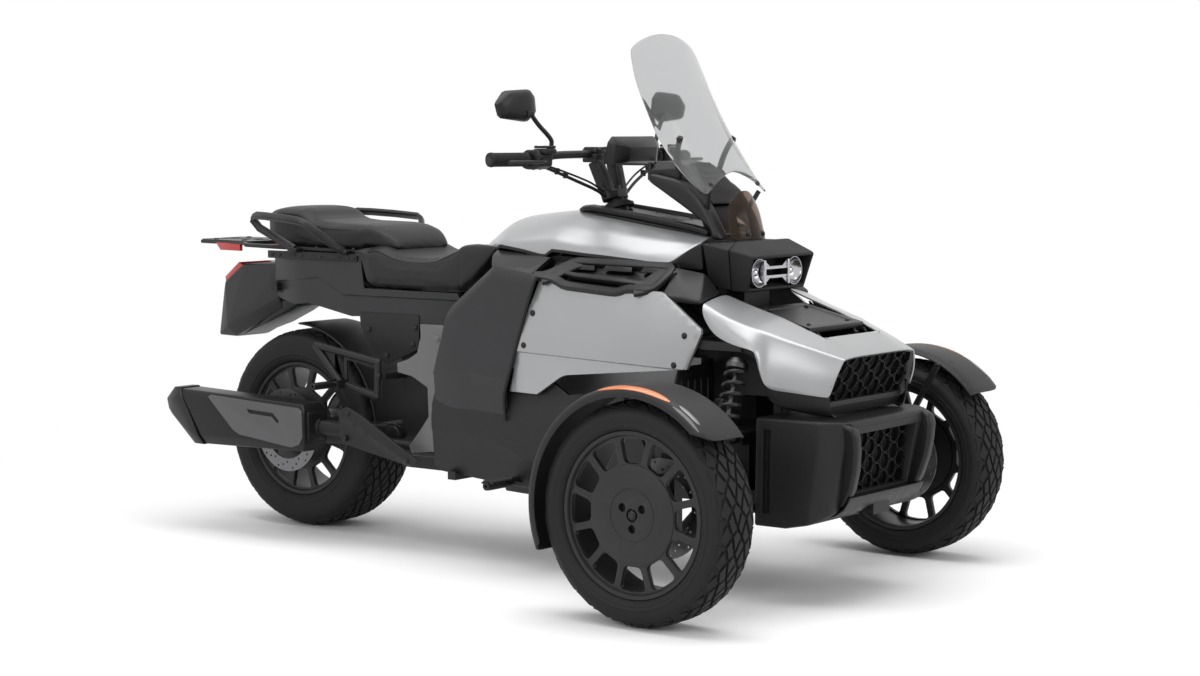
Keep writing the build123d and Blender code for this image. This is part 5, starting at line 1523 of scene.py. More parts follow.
grip_rubber = rubber_finish("grip_rubber", (0.0095, 0.0095, 0.010), 0.6)
controls = bmesh.new()
grips = bmesh.new()
along = (grip_end - grip_foot).normalized()
grip = bmesh.new()
grip_length = (grip_end - grip_foot).length
profile = [(0.0108, 0.014), (0.0200, 0.014), (0.0200, 0.019), (0.0182, 0.021)]
for rib in range(22):
    start = 0.024 + rib * 0.0045
    profile += [
        (0.0183, start), (0.0188, start + 0.0011), (0.0188, start + 0.0024), (0.0180, start + 0.0034),
    ]
profile += [
    (0.0196, grip_length - 0.010), (0.0199, grip_length - 0.006), (0.0186, grip_length - 0.0008),
    (0.0004, grip_length - 0.0002), (0.0004, grip_length - 0.004), (0.0108, grip_length - 0.004),
]
lathe_z(grip, profile, 40)
aim_up(grip, grip_foot, grip_end)
join(grips, grip)
to_pair("grip_sleeves", grips, grip_rubber, "rubber", "hand_controls", body="steering")


def headings(points):
    """The direction of a line at each of its points."""
    return [
        (after - before).normalized()
        for before, after in zip(points[:1] + points, points[1:] + points[-1:])
    ]


def placed(x, y, z):
    return grip_foot + Vector((x, y, z)) / 1000


add_hull(controls, [
    placed(x, y, z) for y in (-3, 56) for x, z in
    ((-30, -21), (-31, 15), (-15, 26), (25, 26), (34, 13), (33, -17), (12, -27), (-15, -27))
], 0.0055, 4)
add_hull(controls, [
    placed(x, y, z) for x, z in ((-31.5, -1.5), (-31.5, 1.5), (34.5, -1.5), (34.5, 1.5))
    for y in (-1, 54)
], 0.0006, 1)
add_hull(controls, [
    placed(x, y, z) for x, z in ((-17, -17), (-17, 17), (17, 17), (17, -17), (0, 21), (0, -21))
    for y in (54, 68)
], 0.003, 3)
add_brick(controls, placed, (1, 43), (8, 62), (14, 29), 0.005)
add_brick(controls, placed, (3, 41), (10, 60), (30, 36.5), 0.0025)
for x, y in ((8, 15), (36, 15), (8, 55), (36, 55)):
    bolt_head(controls, placed(x, y, 36), (0, 0, 1), 0.0026, 0.0012)
for y, z in ((12, 8), (24, 6), (34, 9)):
    add_brick(controls, placed, (-34, -28), (y - 4, y + 4), (z - 4, z + 4), 0.0014, 2)
for y in (8, 36):
    bolt_head(controls, placed(4, y, -26.4), (0, 0, -1), 0.004, 0.002)
LEVER_LINE = [
    (24, 26, -4, 6.5), (40, 8, -5, 7.5), (51, -12, -6, 7.2), (46, -50, -6, 6), (34, -92, -6, 5.8),
    (24, -120, -6, 7.8),
]
lever_rings = []
for (*point, width), forward in zip(LEVER_LINE, headings([placed(*point[:3]) for point in LEVER_LINE])):
    sideways = Vector((0, 0, 1)).cross(forward).normalized()
    lever_rings.append(soft_ring(placed(*point), Vector((0, 0, 0.0048)), sideways * width / 1000, 0.8, 12))
ring_loft(controls, lever_rings)
add_brick(controls, placed, (16, 36), (12, 34), (-11, 4), 0.003, 2)
to_pair("switch_pods", controls, satin_black, body="steering")

# Control cables ---
# A brake hose and an electric lead on each side, bound in black sleeve. Each leaves its pod on
# the underside and bends down to the yoke, so it turns with the bar.

cable_sleeve = painted("cable_sleeve", (0.009, 0.009, 0.0095), 0.5, grain=700, depth=0.0003)
cables = bmesh.new()
foot = up_column(16)
cable_line = [
    placed(-6, 36, -14), placed(-2, 84, -26), placed(14, 180, -60),
    foot + Vector((-0.004, -0.060, 0.022)), foot + Vector((0, -0.030, 0)),
]
add_tube(cables, cable_line, 0.0045)
lead_line = [
    placed(-14, 40, -10), placed(-12, 90, -18), placed(6, 178, -44),
    foot + Vector((-0.012, -0.066, 0.040)), foot + Vector((-0.010, -0.030, 0.012)),
]
add_tube(cables, lead_line, 0.0028)
for share in (0.3, 0.62):
    point = cable_line[1].lerp(cable_line[2], share)
    add_brick(cables, lambda *step: point + Vector(step) / 1000, (-9, 7), (-4, 4), (-6, 12), 0.003, 2)
to_pair("control_cables", cables, cable_sleeve, "rubber", body="steering")

# Mirrors ---
# Black plastic heads with glass let into their backs, on thin steel stalks that screw into the
# bar. The head's front is domed and its outline has soft corners.

mirror_glass = painted(
    "mirror_glass", (0.72, 0.74, 0.76), 0.03, grain=30, depth=0.00002, metallic=1.0, drift=0.02,
)
HEAD = ahead(-642, -351, 1277)
HEAD_OUTLINE = [
    (-1.0, 0.05), (-0.93, 0.24), (-0.62, 0.80), (-0.45, 0.90), (0.55, 1.0), (0.70, 0.95), (0.90, 0.62),
    (0.94, 0.45), (1.0, -0.36), (0.93, -0.55), (0.58, -0.97), (0.42, -1.0), (-0.70, -0.80),
    (-0.86, -0.62),
]


def head_ring(offset, share):
    return [HEAD + Vector((offset, u * share * 0.0815, v * share * 0.0435)) for u, v in HEAD_OUTLINE]


head = bmesh.new()
ring_loft(head, [head_ring(*section) for section in (
    (-0.0085, 0.9), (-0.0118, 0.955), (-0.0105, 0.995), (-0.002, 1.0), (0.005, 0.93), (0.0105, 0.76),
    (0.0134, 0.5),
)])
stalk_foot = ahead(-615, -240, 1151)
add_brick(head, lambda *step: HEAD + Vector(step) / 1000, (4, 18.5), (30, 56), (-32, -14), 0.004)
add_tube(head, [
    stalk_foot, stalk_foot + Vector((0.002, 0.001, 0.020)), stalk_foot + Vector((0.004, 0.000, 0.036)),
    HEAD + Vector((0.013, 0.066, -0.046)), HEAD + Vector((0.013, 0.046, -0.024)),
], 0.0062)
nut = bmesh.new()
lathe_z(nut, [
    (0.0004, 0), (0.0115, 0), (0.0125, 0.002), (0.0125, 0.012), (0.0095, 0.017), (0.0004, 0.017),
], 6)
shift(nut, stalk_foot)
join(head, nut)
to_pair("mirror_heads", head, satin_black, node="mirrors", body="steering", sharp=40)
panes = bmesh.new()
for side in (1, -1):
    ring = [panes.verts.new(Vector((p.x, side * p.y, p.z))) for p in head_ring(-0.0125, 0.87)]
    pane = panes.faces.new(ring)
    pane.normal_update()
    if pane.normal.x > 0:
        pane.normal_flip()
    inset(panes, [pane], 0.0015, 0.0001)
to_piece("mirror_panes", panes, mirror_glass, "metal", body="steering")

# Tank cover ---
# The silver top cover, a single moulding that swells from the seat's nose to the bars and runs
# down to the pod. Its flank ends in a turned-under edge with a step in it.

TANK_ROWS = [
    (-997, (0, 884), (22, 884), (44, 883), (56, 881), (60, 876), (61, 870), (61, 864)),
    (-975, (0, 899), (30, 898), (54, 895), (70, 889), (78, 881), (80, 874), (80, 865)),
    (-940, (0, 923), (36, 921), (66, 915), (90, 902), (104, 888), (108, 880), (108, 868)),
    (-900, (0, 948), (44, 946), (80, 938), (112, 920), (134, 900), (141, 888), (141, 876)),
    (-863, (0, 967), (48, 965), (88, 957), (128, 936), (160, 910), (171, 896), (172, 884)),
    (-827, (0, 975), (52, 973), (94, 964), (140, 941), (184, 914), (196, 904), (201, 893)),
    (-740, (0, 985), (56, 983), (96, 974), (146, 948), (186, 918), (199, 901), (204, 882)),
    (-684, (0, 990), (58, 988), (97, 979), (148, 951), (186, 920), (199, 900), (204, 872)),
    (-664, (0, 992), (59, 990), (98, 981), (148, 952), (186, 920), (199, 900), (204, 871)),
    (-640, (0, 993), (60, 991), (99, 982), (148, 953), (186, 921), (199, 904), (204, 886)),
    (-600, (0, 990), (61, 988), (100, 979), (149, 950), (186, 918), (199, 902), (204, 884)),
    (-540, (0, 983), (62, 982), (103, 973), (152, 943), (186, 911), (199, 896), (204, 879)),
    (-440, (0, 970), (64, 969), (107, 960), (156, 932), (185, 903), (198, 889), (203, 873)),
    (-340, (0, 957), (66, 956), (111, 947), (157, 922), (183, 896), (196, 881), (201, 867)),
    (-270, (0, 948), (68, 947), (114, 938), (156, 917), (180, 894), (193, 877), (199, 863)),
    (-225, (0, 942), (68, 941), (115, 932), (152, 914), (176, 895), (190, 876), (198, 862.5)),
    (-187, (0, 937), (68, 936), (116, 927), (147, 915), (170, 900), (187, 879), (197, 862.5)),
]


def ease(value):
    """A smooth step from 0 to 1."""
    value = min(1, max(0, value))
    return value * value * (3 - 2 * value)


def tank_point(x, y, z):
    """A point of the cover, its front edge raked back towards its foot."""
    rake = 1.2 * max(0, 915 - z) * ease((x + 440) / 253)
    return ahead(x - rake, -y, z)


tank = bmesh.new()
skin(tank, [[tank_point(x, y, z - 0.6) for y, z in points] for x, *points in TANK_ROWS])
crease(tank, [tank_point(x, points[3][0], points[3][1] - 0.6) for x, *points in TANK_ROWS[4:]], 0.45)
mirrored(tank)
outward(tank)
face_out(tank, "z")
rounded(to_piece("tank_moulding", tank, satin_silver, "silver_paint", "tank_cover", sharp=180), 2, 0.004)

# Tank spine ---
# A black moulding clipped along the top of the tank, with a raised centre, a lidded filler
# pocket behind the column and a rubber gaiter where the column comes through.


def strap(bm, points, facing, wide, deep, squareness=0.35):
    """A bar of soft rectangular section along points, its broad face turned to a direction."""
    rings = []
    for point, along in zip(points, headings(points)):
        across = along.cross(facing).normalized()
        rings.append(soft_ring(
            point, across.cross(along).normalized() * deep / 2, across * wide / 2, squareness, 16,
        ))
    ring_loft(bm, rings)


SPINE_ROWS = [
    (-668, 20, 991, 1), (-650, 52, 993, 6), (-628, 78, 994, 10), (-560, 88, 985, 11),
    (-460, 94, 972, 11), (-340, 98, 957, 11), (-250, 101, 946, 10), (-192, 102, 938.5, 8),
    (-187, 102, 937.5, 3),
]
spine = bmesh.new()
rows = []
for x, half, z, rise in SPINE_ROWS:
    rows.append([ahead(x, -y, z + lift) for y, lift in (
        (0, rise), (half * 0.5, rise), (half * 0.74, rise * 0.98), (half * 0.80, rise * 0.72),
        (half * 0.93, rise * 0.55), (half, -1), (half + 3, -5),
    )])
skin(spine, rows)
mirrored(spine)
outward(spine)
face_out(spine, "z")
rounded(to_piece("tank_spine", spine, satin_black, node="tank_trim", sharp=180), 2, 0.003)
rails = bmesh.new()
strap(rails, all_ahead((
    (-640, -66, 990), (-622, -78, 997), (-590, -84, 999), (-480, -90, 986), (-340, -97, 968),
    (-240, -101, 953), (-196, -103, 944), (-190, -104, 938),
)), Vector((0, -0.35, 1)), 0.017, 0.014)
to_pair("spine_rails", rails, satin_black, sharp=40)
flap = hull_of(both_ahead((
    (-470, 48, 983.6), (-470, 48, 981), (-340, 52, 968.6), (-340, 52, 966), (-330, 40, 966.6),
    (-480, 36, 984.4),
)), 0.0015, 2)
for x, y in ((-462, 40), (-462, -40), (-348, 42), (-348, -42)):
    bolt_head(flap, ahead(x, y, 984 - (x + 470) * 0.115), (0.11, 0, 1), 0.004, 0.002)
to_piece("filler_flap", flap, moulded_black)
gaiter = bmesh.new()
lathe_z(gaiter, [
    (0.0265, 0.010), (0.030, 0.0115), (0.031, 0.008), (0.034, 0.0085), (0.035, 0.004), (0.039, 0.0045),
    (0.040, -0.001), (0.046, -0.0005), (0.047, -0.010), (0.0265, -0.010),
], 48)
aim_up(gaiter, up_column(-2), up_column(100))
to_piece("column_gaiter", gaiter, grip_rubber, "rubber")

# Tank edge trim ---
# Black mouldings round the tank's lower edge: a rubber seal under it, a folded band over the
# engine cover, and a shoulder that fills in to the lamp pod.

trim = bmesh.new()
edge_line = [tank_point(x, points[6][0] - 1.5, points[6][1] - 2.5) for x, *points in TANK_ROWS[4:]]
strap(trim, edge_line, Vector((0, -1, 0.2)), 0.009, 0.006)
add_hull(trim, right_ahead((
    (-836, 200, 880), (-690, 205, 862), (-660, 205, 862), (-640, 210, 866), (-826, 236, 866),
    (-672, 240, 850), (-800, 262, 852), (-656, 266, 838), (-786, 286, 838), (-648, 288, 820),
    (-836, 190, 872), (-640, 195, 858), (-786, 276, 832), (-648, 278, 814),
)), 0.002, 2, 4)
add_hull(trim, right_ahead((
    (-251, 197, 862), (-232, 187, 878), (-207, 170, 898), (-190, 148, 913), (-188, 122, 922),
    (-250, 180, 856), (-246, 196, 852), (-181, 150, 914), (-181, 146.5, 880), (-181, 141, 842),
    (-181, 118, 917),
)), 0.003, 3, 6)
to_pair("tank_edge_trim", trim, satin_black, "charcoal_paint", sharp=30)

# Upper cowl ---
# A dark shelf between the tank and each silver panel, pierced by three long slots that let warm
# air out, and a cheek that fairs it to the pod.


def long_slot(bm, centre, length, height, slant):
    """A round-ended slot's outline in the XZ plane."""
    corners = []
    for along, up in ((-1, -1), (1, -1), (1, 1), (-1, 1)):
        corners.append(bm.verts.new((
            centre[0] + along * length / 2 + up * slant, 0, centre[1] + up * height / 2,
        )))
    bm.faces.new(corners)
    round_corners(bm, corners, height * 0.42, 5)


shelf = bmesh.new()
for x in (-0.515, -0.390, -0.265):
    long_slot(shelf, (x, 0.074), 0.086, 0.012, 0.004)
long_slot(shelf, (-0.452, 0.026), 0.170, 0.020, 0.006)
closed_line(shelf, [(-0.618, 0, 0), (-0.21, 0, 0), (-0.21, 0, 0.106), (-0.618, 0, 0.106)])
thick_plate(shelf, 0.010)
softened(shelf, 0.0018, 2, 40)
for vert in shelf.verts:
    x, y, z = vert.co
    share = (x + 0.618) / 0.408
    low = Vector((0, -0.276, 0.796 - 0.020 * share))
    high = Vector((0, -0.206, 0.856 - 0.006 * share))
    slope = (high - low) / 0.106
    inward = Vector((0, 0.65, -0.76))
    vert.co = Vector((FRONT_AXLE_X + x, 0, 0)) + low + slope * z + inward * y
add_hull(shelf, right_ahead((
    (-214, 286, 782), (-214, 278, 770), (-214, 216, 854), (-214, 206, 846), (-150, 279, 779),
    (-150, 271, 764), (-150, 177, 839), (-150, 161, 820), (-107, 262, 771), (-107, 262, 761),
    (-107, 165, 785),
)), 0.005, 4)
SHELF_FACING = Vector((0, -0.65, 0.76))
surround = right_ahead((
    (-640, 280, 818), (-604, 279, 816), (-572, 280, 812), (-556, 281, 806), (-540, 282, 799),
    (-524, 282, 796), (-378, 282, 786), (-362, 282, 786), (-346, 281, 789), (-334, 280, 794),
    (-318, 280, 796), (-262, 279, 796), (-246, 274, 800), (-236, 266, 810), (-222, 238, 836),
    (-222, 226, 846), (-232, 218, 851), (-252, 215, 853), (-520, 213, 857), (-540, 214, 857),
    (-556, 219, 852), (-568, 232, 844), (-596, 262, 826), (-612, 274, 820), (-640, 280, 818),
))
strap(shelf, surround, SHELF_FACING, 0.024, 0.016)
strap(shelf, all_ahead((
    (-612, -280, 812), (-590, -270, 820), (-546, -224, 849), (-530, -212, 855),
)), SHELF_FACING, 0.052, 0.014)
strap(shelf, all_ahead((
    (-300, -280, 796), (-276, -272, 800), (-236, -226, 842), (-222, -214, 850),
)), SHELF_FACING, 0.056, 0.014)
for x in (-515, -390, -265):
    middle = x - 4
    add_hull(shelf, [ahead(middle + side * dx, -y, z - side) for side in (-1, 1) for dx, y, z in (
        (50, 236, 837), (44, 228, 850), (40, 222, 851),
    )], 0.003, 3)
step_bar = [ahead(x, -y, z) for x, y, z in (
    (-548, 254, 826), (-534, 262, 824), (-500, 266, 821), (-380, 266, 814), (-300, 264, 808),
    (-286, 258, 810),
)]
strap(shelf, step_bar, SHELF_FACING, 0.014, 0.016)
to_pair("vented_shelf", shelf, satin_black, "charcoal_paint", "upper_cowl")
# Painted shade: a near-black slab inside the body and a sheet under the shelf fill its gaps with shade.
shadow = bmesh.new()
add_hull(shadow, right_ahead((
    (-832, 186, 800), (-210, 186, 790), (-832, 190, 874), (-230, 186, 860), (-832, 178, 800),
    (-210, 178, 790), (-832, 182, 874), (-230, 178, 860),
)), 0.001, 1)
corners = right_ahead(((-616, 262, 794), (-216, 262, 776), (-216, 200, 826), (-616, 200, 836)))
face = shadow.faces.new([shadow.verts.new(corner) for corner in corners])
bmesh.ops.solidify(shadow, geom=[face], thickness=0.003)
to_pair("shelf_shade_backing", shadow, painted_shade_black)

# Side panels ---
# Flat silver panels, each pressed with one long fold near its foot and a step along its front
# edge, and held by four black screws. A black rubber bead closes the joint behind them.


def covering(outline, cuts_x, cuts_z, folds, depth_at, outside, wall, rim):
    """A panel over an outline in the XZ plane, moved in from its outside by a depth."""
    bm = bmesh.new()
    bm.faces.new([bm.verts.new((FRONT_AXLE_X + x / 1000, 0, z / 1000)) for x, z in outline])
    planes = [((FRONT_AXLE_X + x / 1000, 0, 0), (1, 0, 0)) for x in cuts_x]
    planes += [((0, 0, z / 1000), (0, 0, 1)) for z in cuts_z]
    for (x0, z0), (x1, z1) in folds:
        planes.append(((FRONT_AXLE_X + x0 / 1000, 0, z0 / 1000), (z1 - z0, 0, x0 - x1)))
    for place, normal in planes:
        cut(bm, place, Vector(normal).normalized(), clear=False, dist=0.00005)
    for vert in bm.verts:
        x, z = (vert.co.x - FRONT_AXLE_X) * 1000, vert.co.z * 1000
        vert.co.y = -(outside - depth_at(x, z)) / 1000
    thicken(bm, bm.faces[:], (0, wall / 1000, 0))
    look_away(bm, Vector((FRONT_AXLE_X - 0.5, -outside / 1000 + wall / 2000, 0.6)))
    softened(bm, rim / 1000, 3, 58)
    return bm


def side_of(x, z, start, end):
    """Which side of a line through two points a point is on, in millimetres from it."""
    (x0, z0), (x1, z1) = start, end
    length = math.hypot(x1 - x0, z1 - z0)
    return ((x - x0) * (z1 - z0) - (z - z0) * (x1 - x0)) / length


FOLD = ((-680, 613), (-150, 596))
STEP = ((-91, 713), (-136, 586))


def silver_depth(x, z):
    below = side_of(x, z, *FOLD)
    ahead_of = side_of(x, z, *STEP)
    crown = 22 * max(0, (z - 630) / 175) ** 1.8
    foot = 5.5 * ease((below + 1) / 6) + 0.15 * max(0, below)
    return crown + foot + 2.2 * ease((-ahead_of + 0.5) / 3) + 5 * ease((x + 280) / 220)


PANEL_LINE = [
    (-620, 814), (-728, 498), (-634, 496), (-546, 549), (-526, 556), (-124, 596), (-82, 690),
    (-84, 702), (-204, 788), (-216, 792), (-304, 797), (-316, 795), (-348, 787), (-362, 787),
    (-536, 806),
]
silver = covering(
    PANEL_LINE, range(-700, -90, 30), (520, 545, 570, *range(625, 810, 12)),
    [((-680, 613 + up), (-150, 596 + up)) for up in (3, 0, -4)]
    + [((x - 91, 713), (x - 136, 586)) for x in (0, -3)],
    silver_depth, 302, 10, 3.2,
)
to_pair("silver_panels", silver, satin_silver, "silver_paint", "side_panels", sharp=24)
panel_screws = bmesh.new()
for x, z in ((-634, 718), (-661, 630), (-132, 683), (-163, 605)):
    depth = silver_depth(x, z)
    bolt_head(panel_screws, ahead(x, -302 + depth - 0.5, z), (0, -1, 0.03), 0.0068, 0.0036)
to_pair("panel_screws", panel_screws, satin_black)
bead = bmesh.new()
rings = []
for x, z, y in (
    (-622, 816, 293), (-624, 808, 298), (-640, 760, 302.5), (-680, 642, 303), (-731, 496, 299),
    (-735, 470, 296), (-737, 418, 288),
):
    rings.append(soft_ring(ahead(x, -y, z), Vector((0.0045, 0, -0.001)), Vector((0, 0.0035, 0)), 0.7, 10))
ring_loft(bead, rings)
to_pair("joint_bead", bead, grip_rubber, "rubber")

# Side covers ---
# Charcoal covers over the engine, rounded in at the top to meet the tank and folded in below
# knee height. They hang on rubber grommets, so no screw shows.


def cover_depth(x, z):
    fold_z = along_table([(-1010, 530), (-859, 546), (-742, 531), (-600, 514)], x)
    foot = 0.16 * max(0, fold_z - z) + 3 * ease((fold_z - z) / 7)
    top_edge = along_table([(-936, 718), (-773, 843), (-651, 826)], x)
    crown = 13 * max(0, 1 - (top_edge - z) / 34) ** 2
    back = 12 * max(0, (-900 - x) / 110) ** 2
    return crown + foot + min(20, back)


charcoal_satin = painted(
    "charcoal_satin", (0.024, 0.0245, 0.026), 0.42, grain=520, depth=0.0003, drift=0.06,
)
cover = covering(
    [
        (-640, 823), (-654, 825), (-771, 842), (-783, 837), (-930, 724), (-940, 706), (-962, 634),
        (-997, 534), (-1003, 470), (-1001, 436), (-992, 433), (-739, 416), (-735, 498), (-627, 814),
    ],
    range(-980, -620, 20),
    (440, 470, 500, 580, 620, 660, 690, 710, 730, 750, 765, 780, 795, 805, 815, 825, 833),
    [
        ((-1010, 530), (-859, 546)), ((-859, 546), (-742, 531)), ((-1010, 523), (-859, 539)),
        ((-859, 539), (-742, 524)), ((-936, 706), (-773, 831)), ((-936, 694), (-773, 819)),
        ((-936, 680), (-773, 805)),
    ],
    cover_depth, 300, 8, 3.5,
)
liner = bmesh.new()
add_hull(liner, right_ahead((
    (-948, 272, 690), (-930, 272, 712), (-780, 272, 826), (-948, 176, 690), (-930, 176, 722),
    (-780, 190, 840), (-820, 272, 690), (-820, 176, 690),
)), 0.003, 2)
to_pair("cover_liner", liner, moulded_black, "charcoal_paint")
to_pair("engine_covers", cover, charcoal_satin, "charcoal_paint", "side_covers", sharp=30)

# Lower covers ---
# Black mouldings down both sides of the engine bay, creased along their length, and the ribbed
# splash plates that close the bay behind the front wheels.


def lower_depth(x, z):
    line = along_table([
        (-1130, 388), (-1013, 379), (-900, 371), (-782, 357), (-637, 302), (-470, 302), (-200, 330),
    ], x)
    behind = 3 * ease((-1012 - x) / 3)
    return 0.22 * max(0, line - z) + 3 * ease((line - z) / 5) + behind + 22 * ease((z - 440) / 60)


lower = covering(
    [
        (-1012, 559), (-1010, 430), (-1027, 268), (-1012, 252), (-774, 234), (-766, 216), (-636, 214),
        (-471, 300), (-200, 330), (-200, 539), (-540, 499), (-640, 559),
    ],
    range(-1100, -200, 30), (240, 270, 300, 330, 350, 400, 430, 470, 500, 530),
    [
        ((-1013, 379), (-900, 371)), ((-900, 371), (-782, 357)), ((-782, 357), (-637, 302)),
        ((-782, 351), (-637, 296)), ((-1012, 200), (-1012, 600)), ((-1016, 200), (-1016, 600)),
    ],
    lower_depth, 282, 9, 3,
)
to_pair("engine_skirts", lower, moulded_black, node="lower_covers", sharp=26)
splash = hull_of([
    ahead(x, -y, z) for x in (-176, -168)
    for y, z in ((104, 294), (281, 294), (281, 560), (262, 597), (104, 597))
], 0.003, 2)
for y in (135, 165, 195, 225, 255):
    add_hull(splash, [
        ahead(x, -(y + dy), z) for x, dy in ((-169, -5), (-169, 5), (-165.2, -2), (-165.2, 2))
        for z in (320, 560)
    ], 0.001, 2)
to_pair("splash_plates", splash, moulded_black)

# Seats ---
# A rider's saddle and a raised pillion pad, moulded foam under black vinyl. The covers are sewn
# from panels with a piped seam along each shoulder. Both lift together on the hinged seat base.

seat_vinyl = painted("seat_vinyl", (0.0125, 0.0125, 0.013), 0.48, grain=420, depth=0.0007, drift=0.10)
seam_thread = painted("seam_thread", (0.009, 0.009, 0.0095), 0.6, grain=900, depth=0.0004, drift=0.05)
REAR_AXLE_X = box_middle("tyre_rear").x


def astern(x, y, z):
    """A point given in millimetres, its x from the rear axle."""
    return Vector((REAR_AXLE_X + x / 1000, y / 1000, z / 1000))


def cushion(name, stations, tops, bottoms, walls, roundness, inflate):
    """A foam form through rounded sections, remeshed and swelled a little."""
    bm = bmesh.new()
    rings = []
    for r in stations:
        top, bottom = along_table(tops, r), along_table(bottoms, r)
        inner, outer = walls(r)
        middle = astern(r, -(inner + outer) / 2, (top + bottom) / 2)
        rings.append(soft_ring(
            middle, Vector((0, 0, (top - bottom) / 2000)), Vector((0, (outer - inner) / 2000, 0)),
            roundness, 48,
        ))
    ring_loft(bm, rings)
    piece = to_piece(name, bm, seat_vinyl, "seat_vinyl", body="seat", sharp=180)
    remesh = piece.modifiers.new("even", "REMESH")
    remesh.mode = "VOXEL"
    remesh.voxel_size = 0.005
    remesh.use_smooth_shade = True
    smooth = piece.modifiers.new("foam", "SMOOTH")
    smooth.factor, smooth.iterations = 0.5, 6
    bake(piece)
    swell(piece, inflate)
    return piece


def bake(piece):
    """Writes a piece's modifiers into its mesh."""
    graph = bpy.context.evaluated_depsgraph_get()
    made = bpy.data.meshes.new_from_object(piece.evaluated_get(graph), depsgraph=graph)
    piece.modifiers.clear()
    piece.data = made


def swell(piece, cap):
    """Blows the cover out with a short cloth simulation, each point by no more than a cap."""
    rest = [vert.co.copy() for vert in piece.data.vertices]
    cloth = piece.modifiers.new("cloth", "CLOTH")
    cloth.settings.use_pressure = True
    cloth.settings.uniform_pressure_force = 3
    cloth.settings.effector_weights.gravity = 0
    cloth.settings.tension_stiffness = cloth.settings.compression_stiffness = 30
    cloth.point_cache.frame_start, cloth.point_cache.frame_end = 1, 12
    for step in range(1, 13):
        bpy.context.scene.frame_set(step)
    bake(piece)
    bpy.context.scene.frame_set(1)
    for vert, start in zip(piece.data.vertices, rest):
        move = vert.co - start
        if move.length > cap:
            vert.co = start + move.normalized() * cap


RIDER_TOP = [
    (290, 858), (340, 866), (372, 872), (392, 872), (420, 860), (450, 850), (500, 843), (560, 842),
    (610, 847), (650, 862), (690, 879), (720, 887), (760, 888.5), (850, 889),
]
RIDER_FOOT = [
    (290, 840), (318, 836), (330, 800), (344, 756), (380, 750), (690, 750), (752, 790), (800, 834),
    (850, 884),
]
rider = cushion(
    "rider_saddle", range(292, 714, 6), RIDER_TOP, RIDER_FOOT,
    lambda r: (-169, 169 - 8 * max(0, (320 - r) / 30)), 0.30, 0.003,
)
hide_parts("rider_seat")
for hand, name in ((-1, "right"), (1, "left")):
    cushion(
        f"saddle_wing_{name}", range(700, 841, 5), RIDER_TOP, RIDER_FOOT,
        lambda r: sorted((-hand * along_table([
            (700, 64), (740, 94), (780, 124), (812, 147), (840, 163),
        ], r), -hand * 169)),
        0.30, 0.002,
    )

PILLION_TOP = [
    (-126, 940), (-112, 962), (-90, 972), (-50, 977), (0, 977.5), (40, 975), (62, 966), (84, 950),
    (110, 940), (170, 935), (240, 934), (300, 933), (345, 928), (376, 918), (398, 904), (414, 888),
    (426, 868),
]
PILLION_FOOT = [(-126, 902), (-105, 884), (-40, 850), (286, 850), (310, 862), (392, 856), (426, 860)]
PILLION_HALF = [(-124, 92), (-100, 116), (-60, 134), (0, 137.5), (300, 137.5), (384, 132), (426, 112)]
pillion = cushion(
    "pillion_pad", range(-122, 427, 6), PILLION_TOP, PILLION_FOOT,
    lambda r: [side * along_table(PILLION_HALF, r) for side in (-1, 1)], 0.42, 0.003,
)
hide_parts("pillion_seat")


def welt(name, points, radius):
    """A sewn seam: a thin piped line that stands just proud of the cover, on both sides."""
    bm = bmesh.new()
    add_tube(bm, points, radius)
    return to_pair(name, bm, seam_thread, "seat_vinyl", body="seat", sharp=180)


welt("saddle_seam", [astern(
    r, -along_table([(330, 160), (500, 161), (710, 160)], r), along_table(RIDER_TOP, r) - 13,
) for r in range(345, 712, 22)], 0.0016)
welt("pillion_seam", [
    astern(r, -along_table(
        [(-100, 108), (-60, 128), (0, 132), (300, 132), (430, 118)], r,
    ), along_table(PILLION_TOP, r) - 19)
    for r in range(-96, 405, 20)
], 0.0016)
for x_at, name in ((92, "pillion_dip_seam"), (300, "pillion_nose_seam")):
    bm = bmesh.new()
    line = []
    for step in range(17):
        turn = step / 8 - 1
        y = 131 * math.copysign(abs(turn) ** 0.9, turn)
        r = x_at + 30 * abs(turn) ** 2
        line.append(astern(r, y, along_table(PILLION_TOP, r) - 17 * abs(turn) ** 5 + 0.2))
    add_tube(bm, line, 0.0015)
    to_piece(name, bm, seam_thread, "seat_vinyl", body="seat", sharp=180)

# Tail cover ---
# Charcoal side mouldings under the seat with a stepped fold along them, over a black deck, a
# black inner guard with its fixing screws, and flat panels behind the rider's knees.

WHEELBASE = 1709


def from_rear(line):
    """Turns a side outline's places from the rear axle into places from the front axle."""
    return [(r - WHEELBASE, z) for r, z in line]


TAIL_LINE = [
    (-92, 826), (-60, 842), (308, 843), (322, 747), (684, 747), (712, 700), (686, 657), (531, 650),
    (369, 666), (262, 661), (84, 692), (22, 686), (-92, 704),
]

TAIL_FOLD = [(-100, 752), (-36, 756), (138, 774), (237, 726), (657, 728), (720, 728)]


def tail_depth(x, z):
    r = x + WHEELBASE
    fold = along_table(TAIL_FOLD, r)
    step = 5 * ease((fold - z) / 5) + 0.10 * max(0, fold - z)
    upper = 0.05 * max(0, z - 800)
    return step + upper + 48 * max(0, (70 - r) / 162) ** 1.8


tail = covering(
    from_rear(TAIL_LINE), range(-80 - WHEELBASE, 720 - WHEELBASE, 20),
    (675, 690, 705, 720, 740, 765, 790, 815),
    [
        from_rear(((r0, z0 - low), (r1, z1 - low)))
        for (r0, z0), (r1, z1) in zip(TAIL_FOLD, TAIL_FOLD[1:]) for low in (0, 5)
    ],
    tail_depth, 152, 6, 2.4,
)
to_pair("tail_sides", tail, charcoal_satin, "charcoal_paint", "tail_cover", sharp=28)


def both_astern(points):
    return both_sides([astern(r, -y, z) for r, y, z in points])


